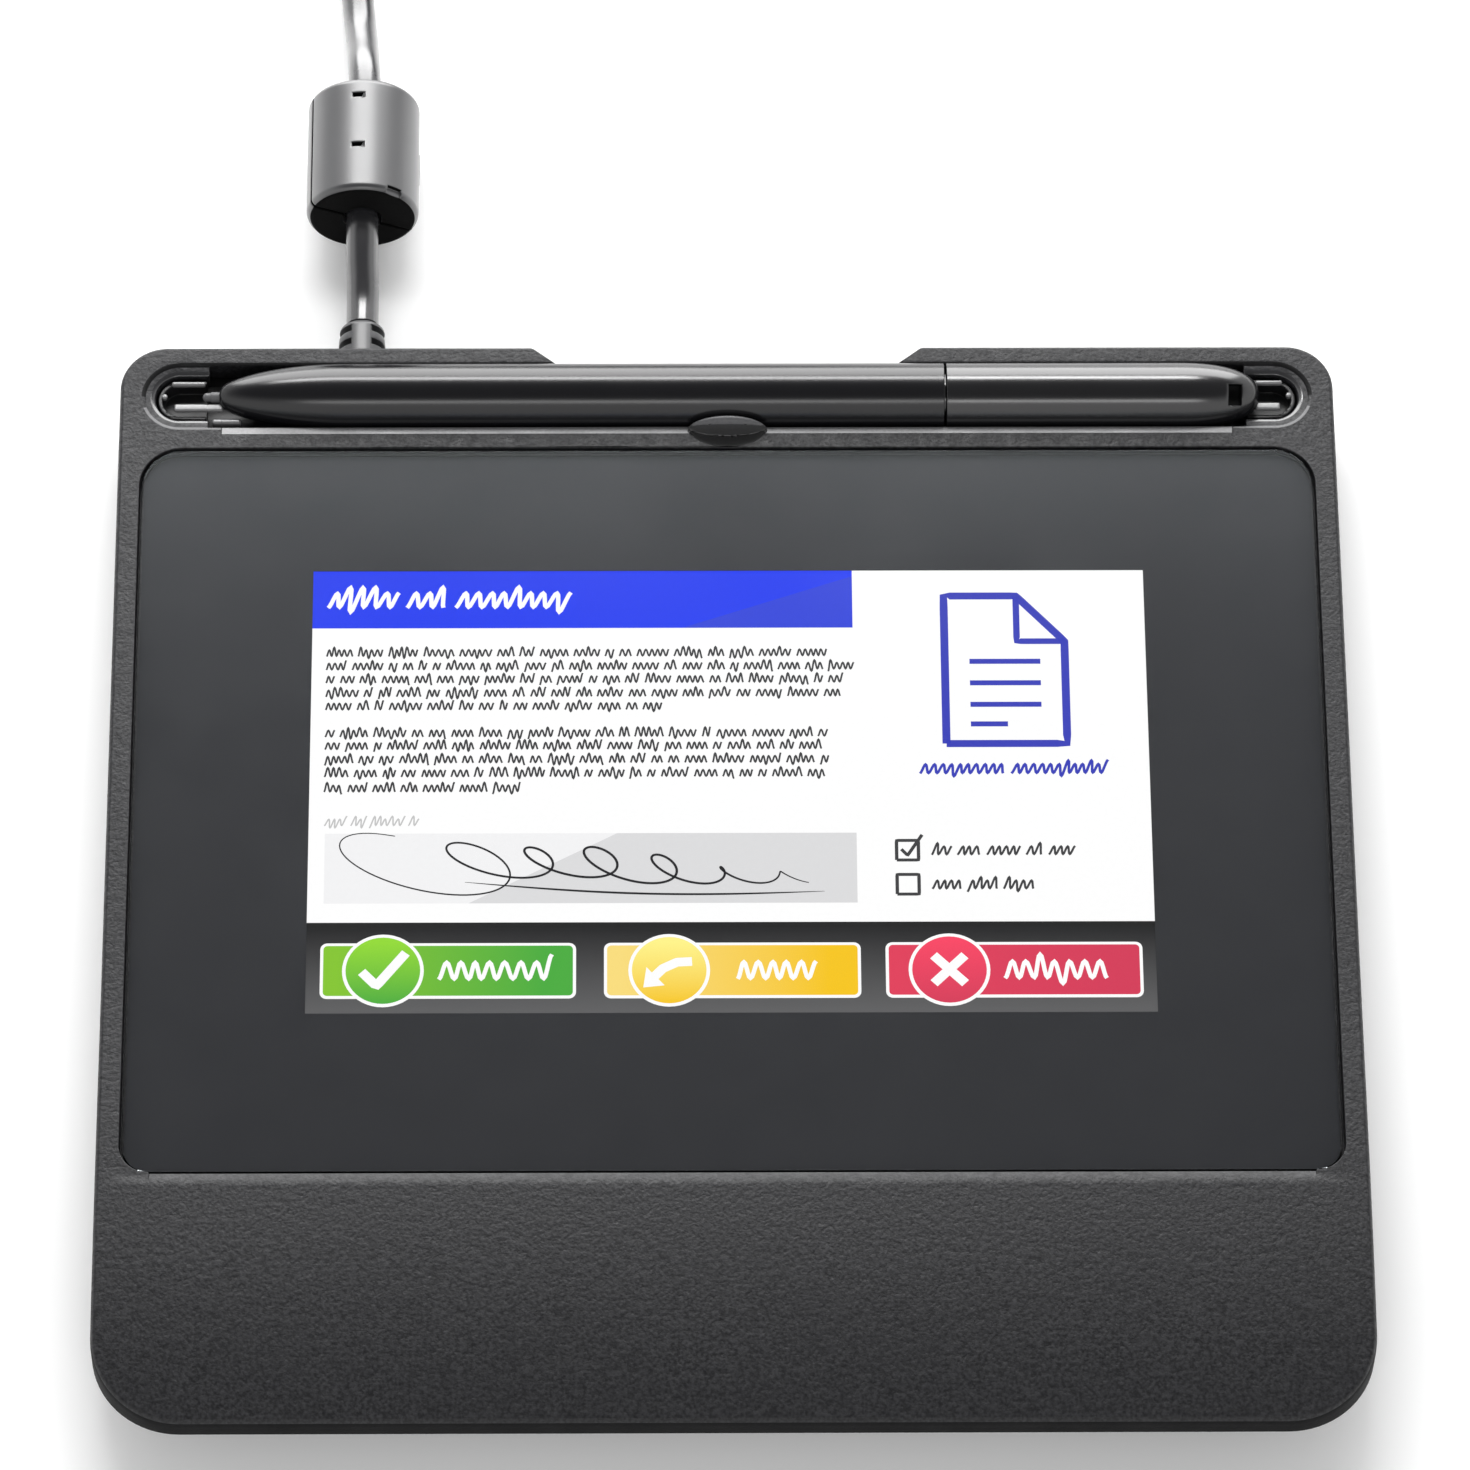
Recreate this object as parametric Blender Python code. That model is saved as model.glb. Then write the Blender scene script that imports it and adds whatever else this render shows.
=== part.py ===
"""A signature pad for a shop counter, with its pen, its USB lead and what is inside.

Metres, +Z up. X runs to the user's right and Y away from the user. The origin lies under
the middle of the casing, on the surface that the feet stand on.
"""

import math

import bmesh
import bpy
from mathutils import Vector

# Fits and counts
FIT = 0.0003  # the clearance between neighbouring pieces
OVERRUN = 0.001  # how far a cutter runs past the face that it opens
CORNER_STEPS = 8
EDGE_STEPS = 3
ROUND_SIDES = 28
SMALL_SIDES = 16
SHARP_ANGLE = math.radians(35)

# Casing
BODY_WIDTH = 0.160
BODY_DEPTH = 0.155
TOP_PLANE = 0.0117  # height of the rim round the glass
SEAM_HEIGHT = 0.0050  # lower edge of the top housing
EDGE_HEIGHT = 0.0077  # the casing is widest here
FOOT_STAND = 0.0008  # the feet stand this far out of the underside
REAR_CORNER = 0.0062
FRONT_CORNER = 0.0112
EDGE_ROUND = 0.0010
FRONT_EDGE_DROP = 0.0014  # height of the rounded edge at the front
SIDE_UNDERCUT = 0.0024  # the sides lean in this far at the seam
SIDE_WALL = 0.0018
TOP_WALL = 0.0020
FLOOR_WALL = 0.0016
BASE_UNDERCUT = 0.0056  # the sides lean in this far at the underside
BASE_REAR_UNDERCUT = 0.0010
BASE_CHAMFER = 0.0008

# Places along the casing's depth
REAR_FACE_Y = BODY_DEPTH / 2
FRONT_FACE_Y = -BODY_DEPTH / 2
TRAY_TO_REAR = 0.0077
TRAY_MIDDLE_Y = REAR_FACE_Y - TRAY_TO_REAR
GLASS_TO_TRAY = 0.0083  # from the glass's rear edge to the middle of the tray

# Palm rest
PALM_RISE = 0.00045  # the palm rest stands this far above the glass
PALM_DROP = 0.00275  # and falls this far to the front edge
PALM_CURVE_POWER = 2.6
PALM_RAMP = 0.030  # the sides rise to the palm rest over this length
PALM_STATION_SHARES = (0.0, 0.22, 0.45, 0.63, 0.79, 0.92)  # of its straight sides
PALM_BEVEL = 0.0012  # slope between the palm rest and the glass

# Cover glass and what holds it
GLASS_SIDE_BORDER = 0.00323
GLASS_DEPTH_SHARE = 0.68  # of the casing's depth
GLASS_WIDTH = BODY_WIDTH - 2 * GLASS_SIDE_BORDER
GLASS_DEPTH = BODY_DEPTH * GLASS_DEPTH_SHARE
GLASS_MIDDLE_Y = TRAY_MIDDLE_Y - GLASS_TO_TRAY - GLASS_DEPTH / 2
GLASS_THICKNESS = 0.0011
GLASS_REAR_CORNER = 0.0053
GLASS_FRONT_CORNER = 0.0036
GLASS_SINK = 0.0001  # the glass lies this far under the rim
SEAL_THICKNESS = 0.0003
SEAL_WIDTH = 0.0030
DECK_THICKNESS = 0.0011

# Display and what is behind it
DISPLAY_SHIFT = 0.0018  # from the middle of the glass towards the rear
PANEL_WIDTH_SHARE = 0.784  # of the glass
PANEL_DEPTH_SHARE = 0.7135
DISPLAY_MIDDLE_Y = GLASS_MIDDLE_Y + DISPLAY_SHIFT
PANEL_WIDTH = GLASS_WIDTH * PANEL_WIDTH_SHARE
PANEL_DEPTH = GLASS_DEPTH * PANEL_DEPTH_SHARE
PANEL_THICKNESS = 0.0014
BACKLIGHT_THICKNESS = 0.0016
FRAME_WALL = 0.0004
FRAME_CORNER = 0.0008
SENSOR_SIDE_BORDER = 0.0018  # the sensor board reaches past the display
SENSOR_END_BORDER = 0.0024
SENSOR_WIDTH = PANEL_WIDTH + 2 * SENSOR_SIDE_BORDER
SENSOR_DEPTH = PANEL_DEPTH + 2 * SENSOR_END_BORDER
SENSOR_THICKNESS = 0.0007
SHIELD_THICKNESS = 0.0005
SHIELD_INSET = 0.0015
BOARD_CORNER = 0.0015

# Pen tray
TRAY_END_TO_SIDE = 0.0080
TRAY_HALF_LENGTH = BODY_WIDTH / 2 - TRAY_END_TO_SIDE  # to the centre of each round end
TRAY_END_RADIUS = 0.00495
WELL_RADIUS = 0.00333
WELL_SLOPE_DEPTH = 0.00084
CHANNEL_SHORTER = 0.0037
CHANNEL_HALF_LENGTH = TRAY_HALF_LENGTH - CHANNEL_SHORTER
CHANNEL_RADIUS = 0.00475
TROUGH_WALL = 0.0009
TROUGH_FLANGE = 0.0050  # from the middle of the tray
TROUGH_END_WALL = 0.0006
NOTCH_HALF_WIDTH = 0.0226  # at the pen
NOTCH_REAR_HALF_WIDTH = 0.0250
NOTCH_FLOOR = 0.0064
NOTCH_SILL = 0.0008

# Finger dish in front of the tray
DISH_LIP_SIZE = (0.0052, 0.00052, 0.00235)  # half sizes of the lip's oval ball
DISH_LIP_TO_TRAY = 0.00505
DISH_LIP_Y = TRAY_MIDDLE_Y - DISH_LIP_TO_TRAY
DISH_LEAN = math.radians(-15)  # the lip leans towards the pen
DISH_SCOOP_SIZE = (0.0054, 0.00145, 0.0036)  # half sizes of the hollow in front of it
DISH_SCOOP_TO_LIP = 0.00117
DISH_SCOOP_Y = DISH_LIP_Y - DISH_SCOOP_TO_LIP
DISH_SCOOP_RISE = 0.0016

# Tether anchors in the ends of the tray
ANCHOR_FLOOR = 0.0013
ANCHOR_WALL = 0.0006
ANCHOR_DEPTH = 0.0036
RAIL_WIDTH = 0.0009
RAIL_OFFSET = 0.00178
RAIL_TOP_SINK = 0.0003
RAIL_LEFT_REACH = 0.0047  # towards the pen, from the centre of the round end
RAIL_RIGHT_REACH = 0.0014
RAIL_END_REACH = 0.0014
RAIL_END = TRAY_HALF_LENGTH + RAIL_END_REACH

# Pen
PEN_RADIUS = 0.004375
PEN_SINK = 0.0003  # the pen's axis lies this far under the rim
PEN_TIP_CLEARANCE = 0.0029
PEN_BUTT_CLEARANCE = 0.0018
NIB_SHOWN = 0.0022
NOSE_LENGTH = 0.0169
DOME_LENGTH = 0.0109
CAP_LENGTH = 0.0415
PEN_NIB_TIP = PEN_TIP_CLEARANCE - TRAY_HALF_LENGTH
PEN_NOSE = PEN_NIB_TIP + NIB_SHOWN
PEN_FULL = PEN_NOSE + NOSE_LENGTH
PEN_BUTT = TRAY_HALF_LENGTH - PEN_BUTT_CLEARANCE
PEN_DOME = PEN_BUTT - DOME_LENGTH
PEN_SEAM = PEN_BUTT - CAP_LENGTH
PEN_NOSE_RADIUS = 0.0016
NOSE_STEPS = 9
NOSE_TAPER_POWER = 0.65
DOME_POWER = 2.4
DOME_STEPS = 8
PEN_WALL = 0.0011
CAP_END_WALL = 0.0013
SPIGOT_LENGTH = 0.0090
TETHER_SLOT_TO_BUTT = 0.0034
TETHER_SLOT_X = PEN_BUTT - TETHER_SLOT_TO_BUTT
TETHER_SLOT_LENGTH = 0.0018
TETHER_SLOT_WIDTH = 0.0028
NIB_RADIUS = 0.00075
NIB_TRAVEL = 0.0003
NIB_LENGTH = 0.0292
NIB_END = PEN_NIB_TIP + NIB_LENGTH
CORE_LENGTH = 0.0118
CORE_END = NIB_END - FIT
CORE_START = CORE_END - CORE_LENGTH
CORE_RADIUS = 0.0019
PEN_COIL_MARGIN = 0.0015  # the core stands out of the coil at both ends
PEN_COIL_RADIUS = 0.0029
PRESS_SENSOR_LENGTH = 0.0060
PEN_BOARD_SHARE = 0.8  # of the room between the sensor and the cap
PEN_BOARD_WIDTH = 0.0058
PEN_BOARD_THICKNESS = 0.0008

# Feet and screws
FOOT_LENGTH = 0.022
FOOT_WIDTH = 0.008
FOOT_THICKNESS = 0.0013
FOOT_TO_SIDE = 0.030
FOOT_TO_FRONT = 0.0165
FOOT_TO_REAR = 0.0135
SCREW_TO_SIDE = 0.012
SCREW_TO_FRONT = 0.0175
SCREW_TO_REAR = 0.0275
SCREW_HEAD_RADIUS = 0.0024
SCREW_HEAD_HEIGHT = 0.0011
SCREW_RADIUS = 0.00115
SCREW_LENGTH = 0.0052
SCREW_DRIVE_RADIUS = 0.0011
BOSS_RADIUS = 0.0032
POST_RADIUS = 0.0038

# Boards inside
MAIN_BOARD_WIDTH_SHARE = 0.725  # of the casing
MAIN_BOARD_DEPTH_SHARE = 0.75  # of the palm rest
MAIN_BOARD_TO_FRONT = 0.0050
MAIN_BOARD_WIDTH = BODY_WIDTH * MAIN_BOARD_WIDTH_SHARE
MAIN_BOARD_DEPTH = (GLASS_MIDDLE_Y - GLASS_DEPTH / 2 - FRONT_FACE_Y) * MAIN_BOARD_DEPTH_SHARE
MAIN_BOARD_Y = FRONT_FACE_Y + MAIN_BOARD_TO_FRONT + MAIN_BOARD_DEPTH / 2
MAIN_BOARD_THICKNESS = 0.0012
STANDOFF_RADIUS = 0.0020
STANDOFF_HEIGHT = 0.0019
STANDOFF_INSET = 0.0035
CAN_DEPTH_SHARE = 0.62  # of the main board
CAN_SIZE = (0.026, MAIN_BOARD_DEPTH * CAN_DEPTH_SHARE, 0.0018)
CAN_X = 0.018
CAN_TO_MIDDLE = 0.0010
CHIP_SIZE = (0.012, 0.012, 0.0012)
CHIP_X = -0.014
CHIP_TO_MIDDLE = 0.0020
FLEX_THICKNESS = 0.0003
DISPLAY_FLEX_WIDTH = 0.030
DISPLAY_FLEX_X = 0.020
SENSOR_FLEX_WIDTH = 0.022
SENSOR_FLEX_X = -0.018
FLEX_SOCKET_DEPTH = 0.0036
FLEX_SOCKET_HEIGHT = 0.0014
LEAD_SOCKET_SIZE = (0.009, 0.005, 0.0020)

# USB lead
LEAD_DIAMETER = 0.0043
LEAD_EXIT_X = -0.0485
LEAD_EXIT_HEIGHT = 0.0042
RELIEF_RADIUS = 0.0033
RELIEF_END_RADIUS = 0.0026
RELIEF_LENGTH = 0.0070
RELIEF_NECK_RADIUS = 0.0023
RELIEF_FLANGE_RADIUS = 0.00275
RELIEF_FLANGE_THICKNESS = 0.0009
RELIEF_ROOM = 0.0045  # room in the floor for the relief's flange and the stripped lead
RELIEF_SLOT_PITCH = 0.0021
RELIEF_SLOT_LENGTH = 0.0009
RELIEF_SPINE = 0.0022
INNER_LEAD_DIAMETER = 0.0014
INNER_LEAD_LOW = 0.0034

# Ferrite round the lead
FERRITE_X = -0.0486
FERRITE_TO_CASING = 0.0226
FERRITE_START_Y = REAR_FACE_Y + FERRITE_TO_CASING
FERRITE_LENGTH = 0.0178
FERRITE_RADIUS = 0.0075
FERRITE_HEIGHT = 0.00755
FERRITE_ROLL = math.radians(25)
FERRITE_WALL = 0.0011
FERRITE_EDGE = 0.0010
FERRITE_BORE = 0.0026
FERRITE_SPLIT = 0.0003
FERRITE_WINDOW_LENGTH = 0.0022
FERRITE_WINDOW_WIDTH = 0.0007
FERRITE_WINDOW_TURN = math.radians(-31)
FERRITE_WINDOW_PLACES = (-0.0009, 0.0071)  # along the axis from the middle
LATCH_LENGTH = 0.0050
LATCH_THICKNESS = 0.0006
LATCH_REACH = 0.0016

# The lead's route on the table, from the strain relief to the coil: x, distance behind the
# casing, height of the lead's middle
LEAD_ROUTE = (
    (-0.0485, 0.0077, 0.0042),
    (-0.0485, 0.0115, 0.0043),
    (-0.0485, 0.0140, 0.0050),
    (-0.0486, 0.0165, 0.0061),
    (-0.0486, 0.0188, 0.0070),
    (-0.0486, 0.0210, 0.0075),
    (-0.0486, 0.0235, 0.00755),
    (-0.0486, 0.0285, 0.00755),
    (-0.0486, 0.0345, 0.00755),
    (-0.0486, 0.0400, 0.00755),
    (-0.0486, 0.0440, 0.0074),
    (-0.0488, 0.0475, 0.0066),
    (-0.0491, 0.0520, 0.0046),
    (-0.0495, 0.0565, 0.0029),
    (-0.0499, 0.0610, 0.0023),
    (-0.0503, 0.0665, 0.0022),
    (-0.0506, 0.0745, 0.0024),
    (-0.0509, 0.0845, 0.0029),
    (-0.0510, 0.0945, 0.00305),
    (-0.0510, 0.1039, 0.00305),
)
LEAD_STEP_DIAMETERS = 1.2

# The coil of the lead that is put away behind the pad
COIL_LEFT_X = -0.0510  # the lead runs into the coil here
COIL_TO_CASING = 0.1085
COIL_MIDDLE_Y = REAR_FACE_Y + COIL_TO_CASING
COIL_MIDDLE_RADIUS = 0.0237
COIL_PITCH = 0.0048
COIL_LOW = 0.00305
COIL_TURNS = 8.95
COIL_TAIL_TURNS = 0.3
COIL_TAIL_OUT = 0.0070
COIL_TAIL_LATE_SHARE = 0.3
COIL_CLIMB_TURNS = 0.5
COIL_POINTS_PER_TURN = 24
COIL_LEAST_GAP = 0.0004
TIE_THICKNESS = 0.0005
TIE_WIDTH = 0.008

# USB plug
PLUG_HEIGHT = 0.0039
PLUG_GRIP_LENGTH = 0.030
PLUG_GRIP_WIDTH = 0.0150
PLUG_GRIP_THICKNESS = 0.0076
PLUG_GRIP_EDGE = 0.0012
PLUG_SHELL_LENGTH = 0.0140
PLUG_SHELL_WIDTH = 0.0120
PLUG_SHELL_THICKNESS = 0.0045
PLUG_SHELL_WALL = 0.00035
PLUG_TONGUE_THICKNESS = 0.0018
PLUG_RELIEF_LENGTH = 0.0085
PLUG_RELIEF_RADIUS = 0.0032
PLUG_RELIEF_END_RADIUS = 0.0025

# Heights and places worked out from those above
PALM_REAR_Y = GLASS_MIDDLE_Y - GLASS_DEPTH / 2 - FIT
PALM_FRONT_Y = FRONT_FACE_Y
GLASS_TOP = TOP_PLANE - GLASS_SINK
GLASS_UNDERSIDE = GLASS_TOP - GLASS_THICKNESS
SEAL_TOP = GLASS_UNDERSIDE - FIT
DECK_TOP = SEAL_TOP - SEAL_THICKNESS - FIT
DECK_UNDERSIDE = DECK_TOP - DECK_THICKNESS
PANEL_TOP = GLASS_UNDERSIDE - FIT
PANEL_UNDERSIDE = PANEL_TOP - PANEL_THICKNESS
BACKLIGHT_TOP = PANEL_UNDERSIDE - FIT
BACKLIGHT_UNDERSIDE = BACKLIGHT_TOP - BACKLIGHT_THICKNESS
FRAME_FLOOR_TOP = BACKLIGHT_UNDERSIDE - FIT
FRAME_UNDERSIDE = FRAME_FLOOR_TOP - FRAME_WALL
FRAME_WIDTH = PANEL_WIDTH + 2 * (FIT + FRAME_WALL)
FRAME_DEPTH = PANEL_DEPTH + 2 * (FIT + FRAME_WALL)
SENSOR_TOP = FRAME_UNDERSIDE - FIT
SENSOR_UNDERSIDE = SENSOR_TOP - SENSOR_THICKNESS
SHIELD_TOP = SENSOR_UNDERSIDE - FIT
SHIELD_UNDERSIDE = SHIELD_TOP - SHIELD_THICKNESS
BASE_TOP = SEAM_HEIGHT - FIT
FLOOR_TOP = FOOT_STAND + FLOOR_WALL
PEN_HEIGHT = TOP_PLANE - PEN_SINK
TROUGH_TOP = DECK_UNDERSIDE - FIT
BOARD_UNDERSIDE = FLOOR_TOP + STANDOFF_HEIGHT + FIT
BOARD_TOP = BOARD_UNDERSIDE + MAIN_BOARD_THICKNESS
BOARD_REAR_Y = MAIN_BOARD_Y + MAIN_BOARD_DEPTH / 2
FERRITE_MIDDLE_Y = FERRITE_START_Y + FERRITE_LENGTH / 2
COIL_LAYER_TURNS = COIL_TURNS / 2
COIL_OUTER_RADIUS = COIL_MIDDLE_RADIUS + COIL_PITCH * COIL_LAYER_TURNS / 2
COIL_INNER_RADIUS = COIL_OUTER_RADIUS - COIL_PITCH * COIL_LAYER_TURNS
COIL_MIDDLE_X = COIL_LEFT_X + COIL_OUTER_RADIUS
COIL_HIGH = COIL_LOW + COIL_PITCH


def clear_scene():
    for obj in list(bpy.data.objects):
        bpy.data.objects.remove(obj)


def material(name, colour, roughness, metallic=0.0):
    found = bpy.data.materials.get(name)
    if found:
        return found
    made = bpy.data.materials.new(name)
    made.use_nodes = True
    shader = made.node_tree.nodes["Principled BSDF"]
    shader.inputs["Base Color"].default_value = (*colour, 1)
    shader.inputs["Roughness"].default_value = roughness
    shader.inputs["Metallic"].default_value = metallic
    return made


def casing_plastic():
    return material("casing_plastic", (0.075, 0.075, 0.080), 0.62)


def tray_plastic():
    return material("tray_plastic", (0.020, 0.020, 0.022), 0.50)


def cover_glass_black():
    return material("cover_glass_black", (0.055, 0.057, 0.062), 0.12)


def display_surface():
    return material("display_surface", (0.85, 0.85, 0.86), 0.30)


def steel_sheet():
    return material("steel_sheet", (0.55, 0.55, 0.56), 0.35, 1.0)


def circuit_board_green():
    return material("circuit_board_green", (0.03, 0.16, 0.07), 0.45)


def chip_black():
    return material("chip_black", (0.02, 0.02, 0.02), 0.50)


def flex_amber():
    return material("flex_amber", (0.45, 0.20, 0.04), 0.40)


def socket_ivory():
    return material("socket_ivory", (0.72, 0.69, 0.60), 0.50)


def rubber_black():
    return material("rubber_black", (0.025, 0.025, 0.025), 0.85)


def screw_steel():
    return material("screw_steel", (0.42, 0.42, 0.43), 0.35, 1.0)


def pen_matte():
    return material("pen_matte", (0.022, 0.022, 0.024), 0.55)


def pen_satin():
    return material("pen_satin", (0.050, 0.050, 0.053), 0.35)


def nib_grey():
    return material("nib_grey", (0.30, 0.30, 0.31), 0.45)


def ferrite_black():
    return material("ferrite_black", (0.03, 0.03, 0.03), 0.60)


def ferrite_case_grey():
    return material("ferrite_case_grey", (0.10, 0.10, 0.105), 0.38)


def copper_wire():
    return material("copper_wire", (0.55, 0.22, 0.10), 0.35, 1.0)


def lead_jacket():
    return material("lead_jacket", (0.085, 0.085, 0.088), 0.45)


def rail_grey():
    return material("rail_grey", (0.22, 0.22, 0.22), 0.40)


def mesh_object(name, bm, finish):
    """The object of a bmesh, with its faces pointing out and its round faces smooth."""
    bmesh.ops.recalc_face_normals(bm, faces=bm.faces)
    mesh = bpy.data.meshes.new(name)
    bm.to_mesh(mesh)
    bm.free()
    mesh.shade_smooth()
    mesh.set_sharp_from_angle(angle=SHARP_ANGLE)
    mesh.materials.append(finish)
    obj = bpy.data.objects.new(name, mesh)
    bpy.context.scene.collection.objects.link(obj)
    return obj


def combine(obj, other, operation):
    """Joins another shape to an object or cuts it out, and leaves that shape as a guide."""
    other.hide_render = True
    other.display_type = "WIRE"
    modifier = obj.modifiers.new(other.name, "BOOLEAN")
    modifier.operation = operation
    modifier.object = other


def cut(obj, *cutters):
    for cutter in cutters:
        combine(obj, cutter, "DIFFERENCE")


def join(obj, *others):
    for other in others:
        combine(obj, other, "UNION")


def half_outline(half_width, front, rear, front_radius, rear_radius, stations=()):
    """The right half of a rounded rectangle, from the front to the rear, as (x, y)."""
    points = []
    for step in range(CORNER_STEPS + 1):
        turn = math.pi / 2 * step / CORNER_STEPS
        x = half_width - front_radius * (1 - math.sin(turn))
        points.append((x, front + front_radius * (1 - math.cos(turn))))
    points += [(half_width, y) for y in stations]
    for step in range(CORNER_STEPS + 1):
        turn = math.pi / 2 * step / CORNER_STEPS
        x = half_width - rear_radius * (1 - math.cos(turn))
        point = (x, rear - rear_radius * (1 - math.sin(turn)))
        if step or math.dist(point, points[-1]) > FIT:
            points.append(point)
    return points


def loft(name, rings, finish):
    """A closed solid through rings of right-half points, each mirrored in the plane x = 0."""
    bm = bmesh.new()
    rows = []
    for ring in rings:
        right = [bm.verts.new(point) for point in ring]
        left = [bm.verts.new((-x, y, z)) for x, y, z in ring]
        rows.append((right, left))
    spans = range(len(rings[0]) - 1)
    for (right, left), (next_right, next_left) in zip(rows, rows[1:]):
        for i in spans:
            bm.faces.new((right[i], right[i + 1], next_right[i + 1], next_right[i]))
            bm.faces.new((left[i + 1], left[i], next_left[i], next_left[i + 1]))
        bm.faces.new((left[0], right[0], next_right[0], next_left[0]))
        bm.faces.new((right[-1], left[-1], next_left[-1], next_right[-1]))
    for right, left in (rows[0], rows[-1]):
        for i in spans:
            bm.faces.new((right[i], left[i], left[i + 1], right[i + 1]))
    return mesh_object(name, bm, finish)


def prism(name, outline, low, high, finish, middle=(0, 0)):
    rings = [[(x, y, z) for x, y in outline] for z in (low, high)]
    obj = loft(name, rings, finish)
    obj.location.x, obj.location.y = middle
    return obj


def plate(name, width, depth, corner, low, high, finish, middle=(0, 0)):
    """A flat plate with round corners."""
    outline = half_outline(width / 2, -depth / 2, depth / 2, corner, corner)
    return prism(name, outline, low, high, finish, middle)


def block(name, size, place, finish, edge=0.0):
    """A box about its middle, with its edges rounded where an edge radius is given."""
    bm = bmesh.new()
    bmesh.ops.create_cube(bm, size=1)
    bmesh.ops.scale(bm, vec=size, verts=bm.verts)
    obj = mesh_object(name, bm, finish)
    obj.location = place
    if edge:
        bevel = obj.modifiers.new("edge", "BEVEL")
        bevel.width = edge
        bevel.segments = EDGE_STEPS
    return obj


def turned(name, profile, finish, sides=ROUND_SIDES):
    """A turned solid about Z, from (radius, height) points that start and end on the axis."""
    bm = bmesh.new()
    verts = [bm.verts.new((radius, 0, height)) for radius, height in profile]
    edges = [bm.edges.new(pair) for pair in zip(verts, verts[1:])]
    bmesh.ops.spin(
        bm, geom=verts + edges, axis=(0, 0, 1), cent=(0, 0, 0), angle=2 * math.pi, steps=sides
    )
    bmesh.ops.remove_doubles(bm, verts=bm.verts, dist=FIT / 100)
    return mesh_object(name, bm, finish)


def ring(name, inner, outer, low, high, finish, sides=ROUND_SIDES):
    """A short tube about Z."""
    bm = bmesh.new()
    corners = ((inner, low), (outer, low), (outer, high), (inner, high))
    verts = [bm.verts.new((radius, 0, height)) for radius, height in corners]
    edges = [bm.edges.new((verts[i - 1], verts[i])) for i in range(len(verts))]
    bmesh.ops.spin(
        bm, geom=verts + edges, axis=(0, 0, 1), cent=(0, 0, 0), angle=2 * math.pi, steps=sides
    )
    bmesh.ops.remove_doubles(bm, verts=bm.verts, dist=FIT / 100)
    return mesh_object(name, bm, finish)


def rod(name, radius, low, high, finish, sides=ROUND_SIDES):
    return turned(name, ((0, low), (radius, low), (radius, high), (0, high)), finish, sides)


def along_x(obj, y, z):
    """Lays a piece that was turned about Z along X, its heights becoming x."""
    obj.rotation_euler.y = math.pi / 2
    obj.location = (0, y, z)
    return obj


def along_y(obj, x, z):
    """Lays a piece that was turned about Z along Y, its heights becoming y."""
    obj.rotation_euler.x = -math.pi / 2
    obj.location = (x, 0, z)
    return obj


def extruded(name, section, start, end, finish):
    """A closed outline of (y, z) points drawn out along X."""
    bm = bmesh.new()
    face = bm.faces.new([bm.verts.new((start, y, z)) for y, z in section])
    grown = bmesh.ops.extrude_face_region(bm, geom=[face])
    moved = [v for v in grown["geom"] if isinstance(v, bmesh.types.BMVert)]
    bmesh.ops.translate(bm, verts=moved, vec=(end - start, 0, 0))
    return mesh_object(name, bm, finish)


def tube(name, points, diameter, resolution, finish):
    """A round solid along points, with closed ends."""
    curve = bpy.data.curves.new(name, "CURVE")
    curve.dimensions = "3D"
    curve.bevel_depth = diameter / 2
    curve.bevel_resolution = resolution
    curve.use_fill_caps = True
    spline = curve.splines.new("POLY")
    spline.points.add(len(points) - 1)
    for place, point in zip(spline.points, points):
        place.co = (*point, 1)
    curve.materials.append(finish)
    obj = bpy.data.objects.new(name, curve)
    bpy.context.scene.collection.objects.link(obj)
    return obj


def smooth_curve(route, step):
    """Points about a step apart on a smooth curve through the route's points."""
    ends = [2 * Vector(route[0]) - Vector(route[1]), 2 * Vector(route[-1]) - Vector(route[-2])]
    knots = [ends[0], *map(Vector, route), ends[1]]
    fine = []
    parts = 12
    for before, start, end, after in zip(knots, knots[1:], knots[2:], knots[3:]):
        for part in range(parts):
            t = part / parts
            bend = 2 * before - 5 * start + 4 * end - after
            twist = 3 * (start - end) + after - before
            fine.append(start + (t * (end - before) + t * t * bend + t * t * t * twist) / 2)
    fine.append(Vector(route[-1]))
    lengths = [0.0]
    for a, b in zip(fine, fine[1:]):
        lengths.append(lengths[-1] + (b - a).length)
    count = max(2, round(lengths[-1] / step) + 1)
    points = []
    for i in range(count):
        wanted = lengths[-1] * i / (count - 1)
        at = max(1, next(k for k, length in enumerate(lengths) if length >= wanted or k == len(fine) - 1))
        share = (wanted - lengths[at - 1]) / (lengths[at] - lengths[at - 1])
        points.append(fine[at - 1].lerp(fine[at], share))
    return points


def smooth_step(share):
    share = min(max(share, 0.0), 1.0)
    return share * share * (3 - 2 * share)


def crown(y):
    """Height of the top surface at y: flat round the glass, rising to the palm rest."""
    if y > PALM_REAR_Y:
        return TOP_PLANE + PALM_RISE * smooth_step(1 - (y - PALM_REAR_Y) / PALM_RAMP)
    share = (PALM_REAR_Y - y) / (PALM_REAR_Y - PALM_FRONT_Y)
    return TOP_PLANE + PALM_RISE - PALM_DROP * share**PALM_CURVE_POWER


def side_stations():
    straight = PALM_REAR_Y - PALM_FRONT_Y - FRONT_CORNER
    low = [PALM_REAR_Y - share * straight for share in reversed(PALM_STATION_SHARES)]
    return [*low, PALM_REAR_Y + PALM_RAMP / 2, PALM_REAR_Y + PALM_RAMP]


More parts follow.
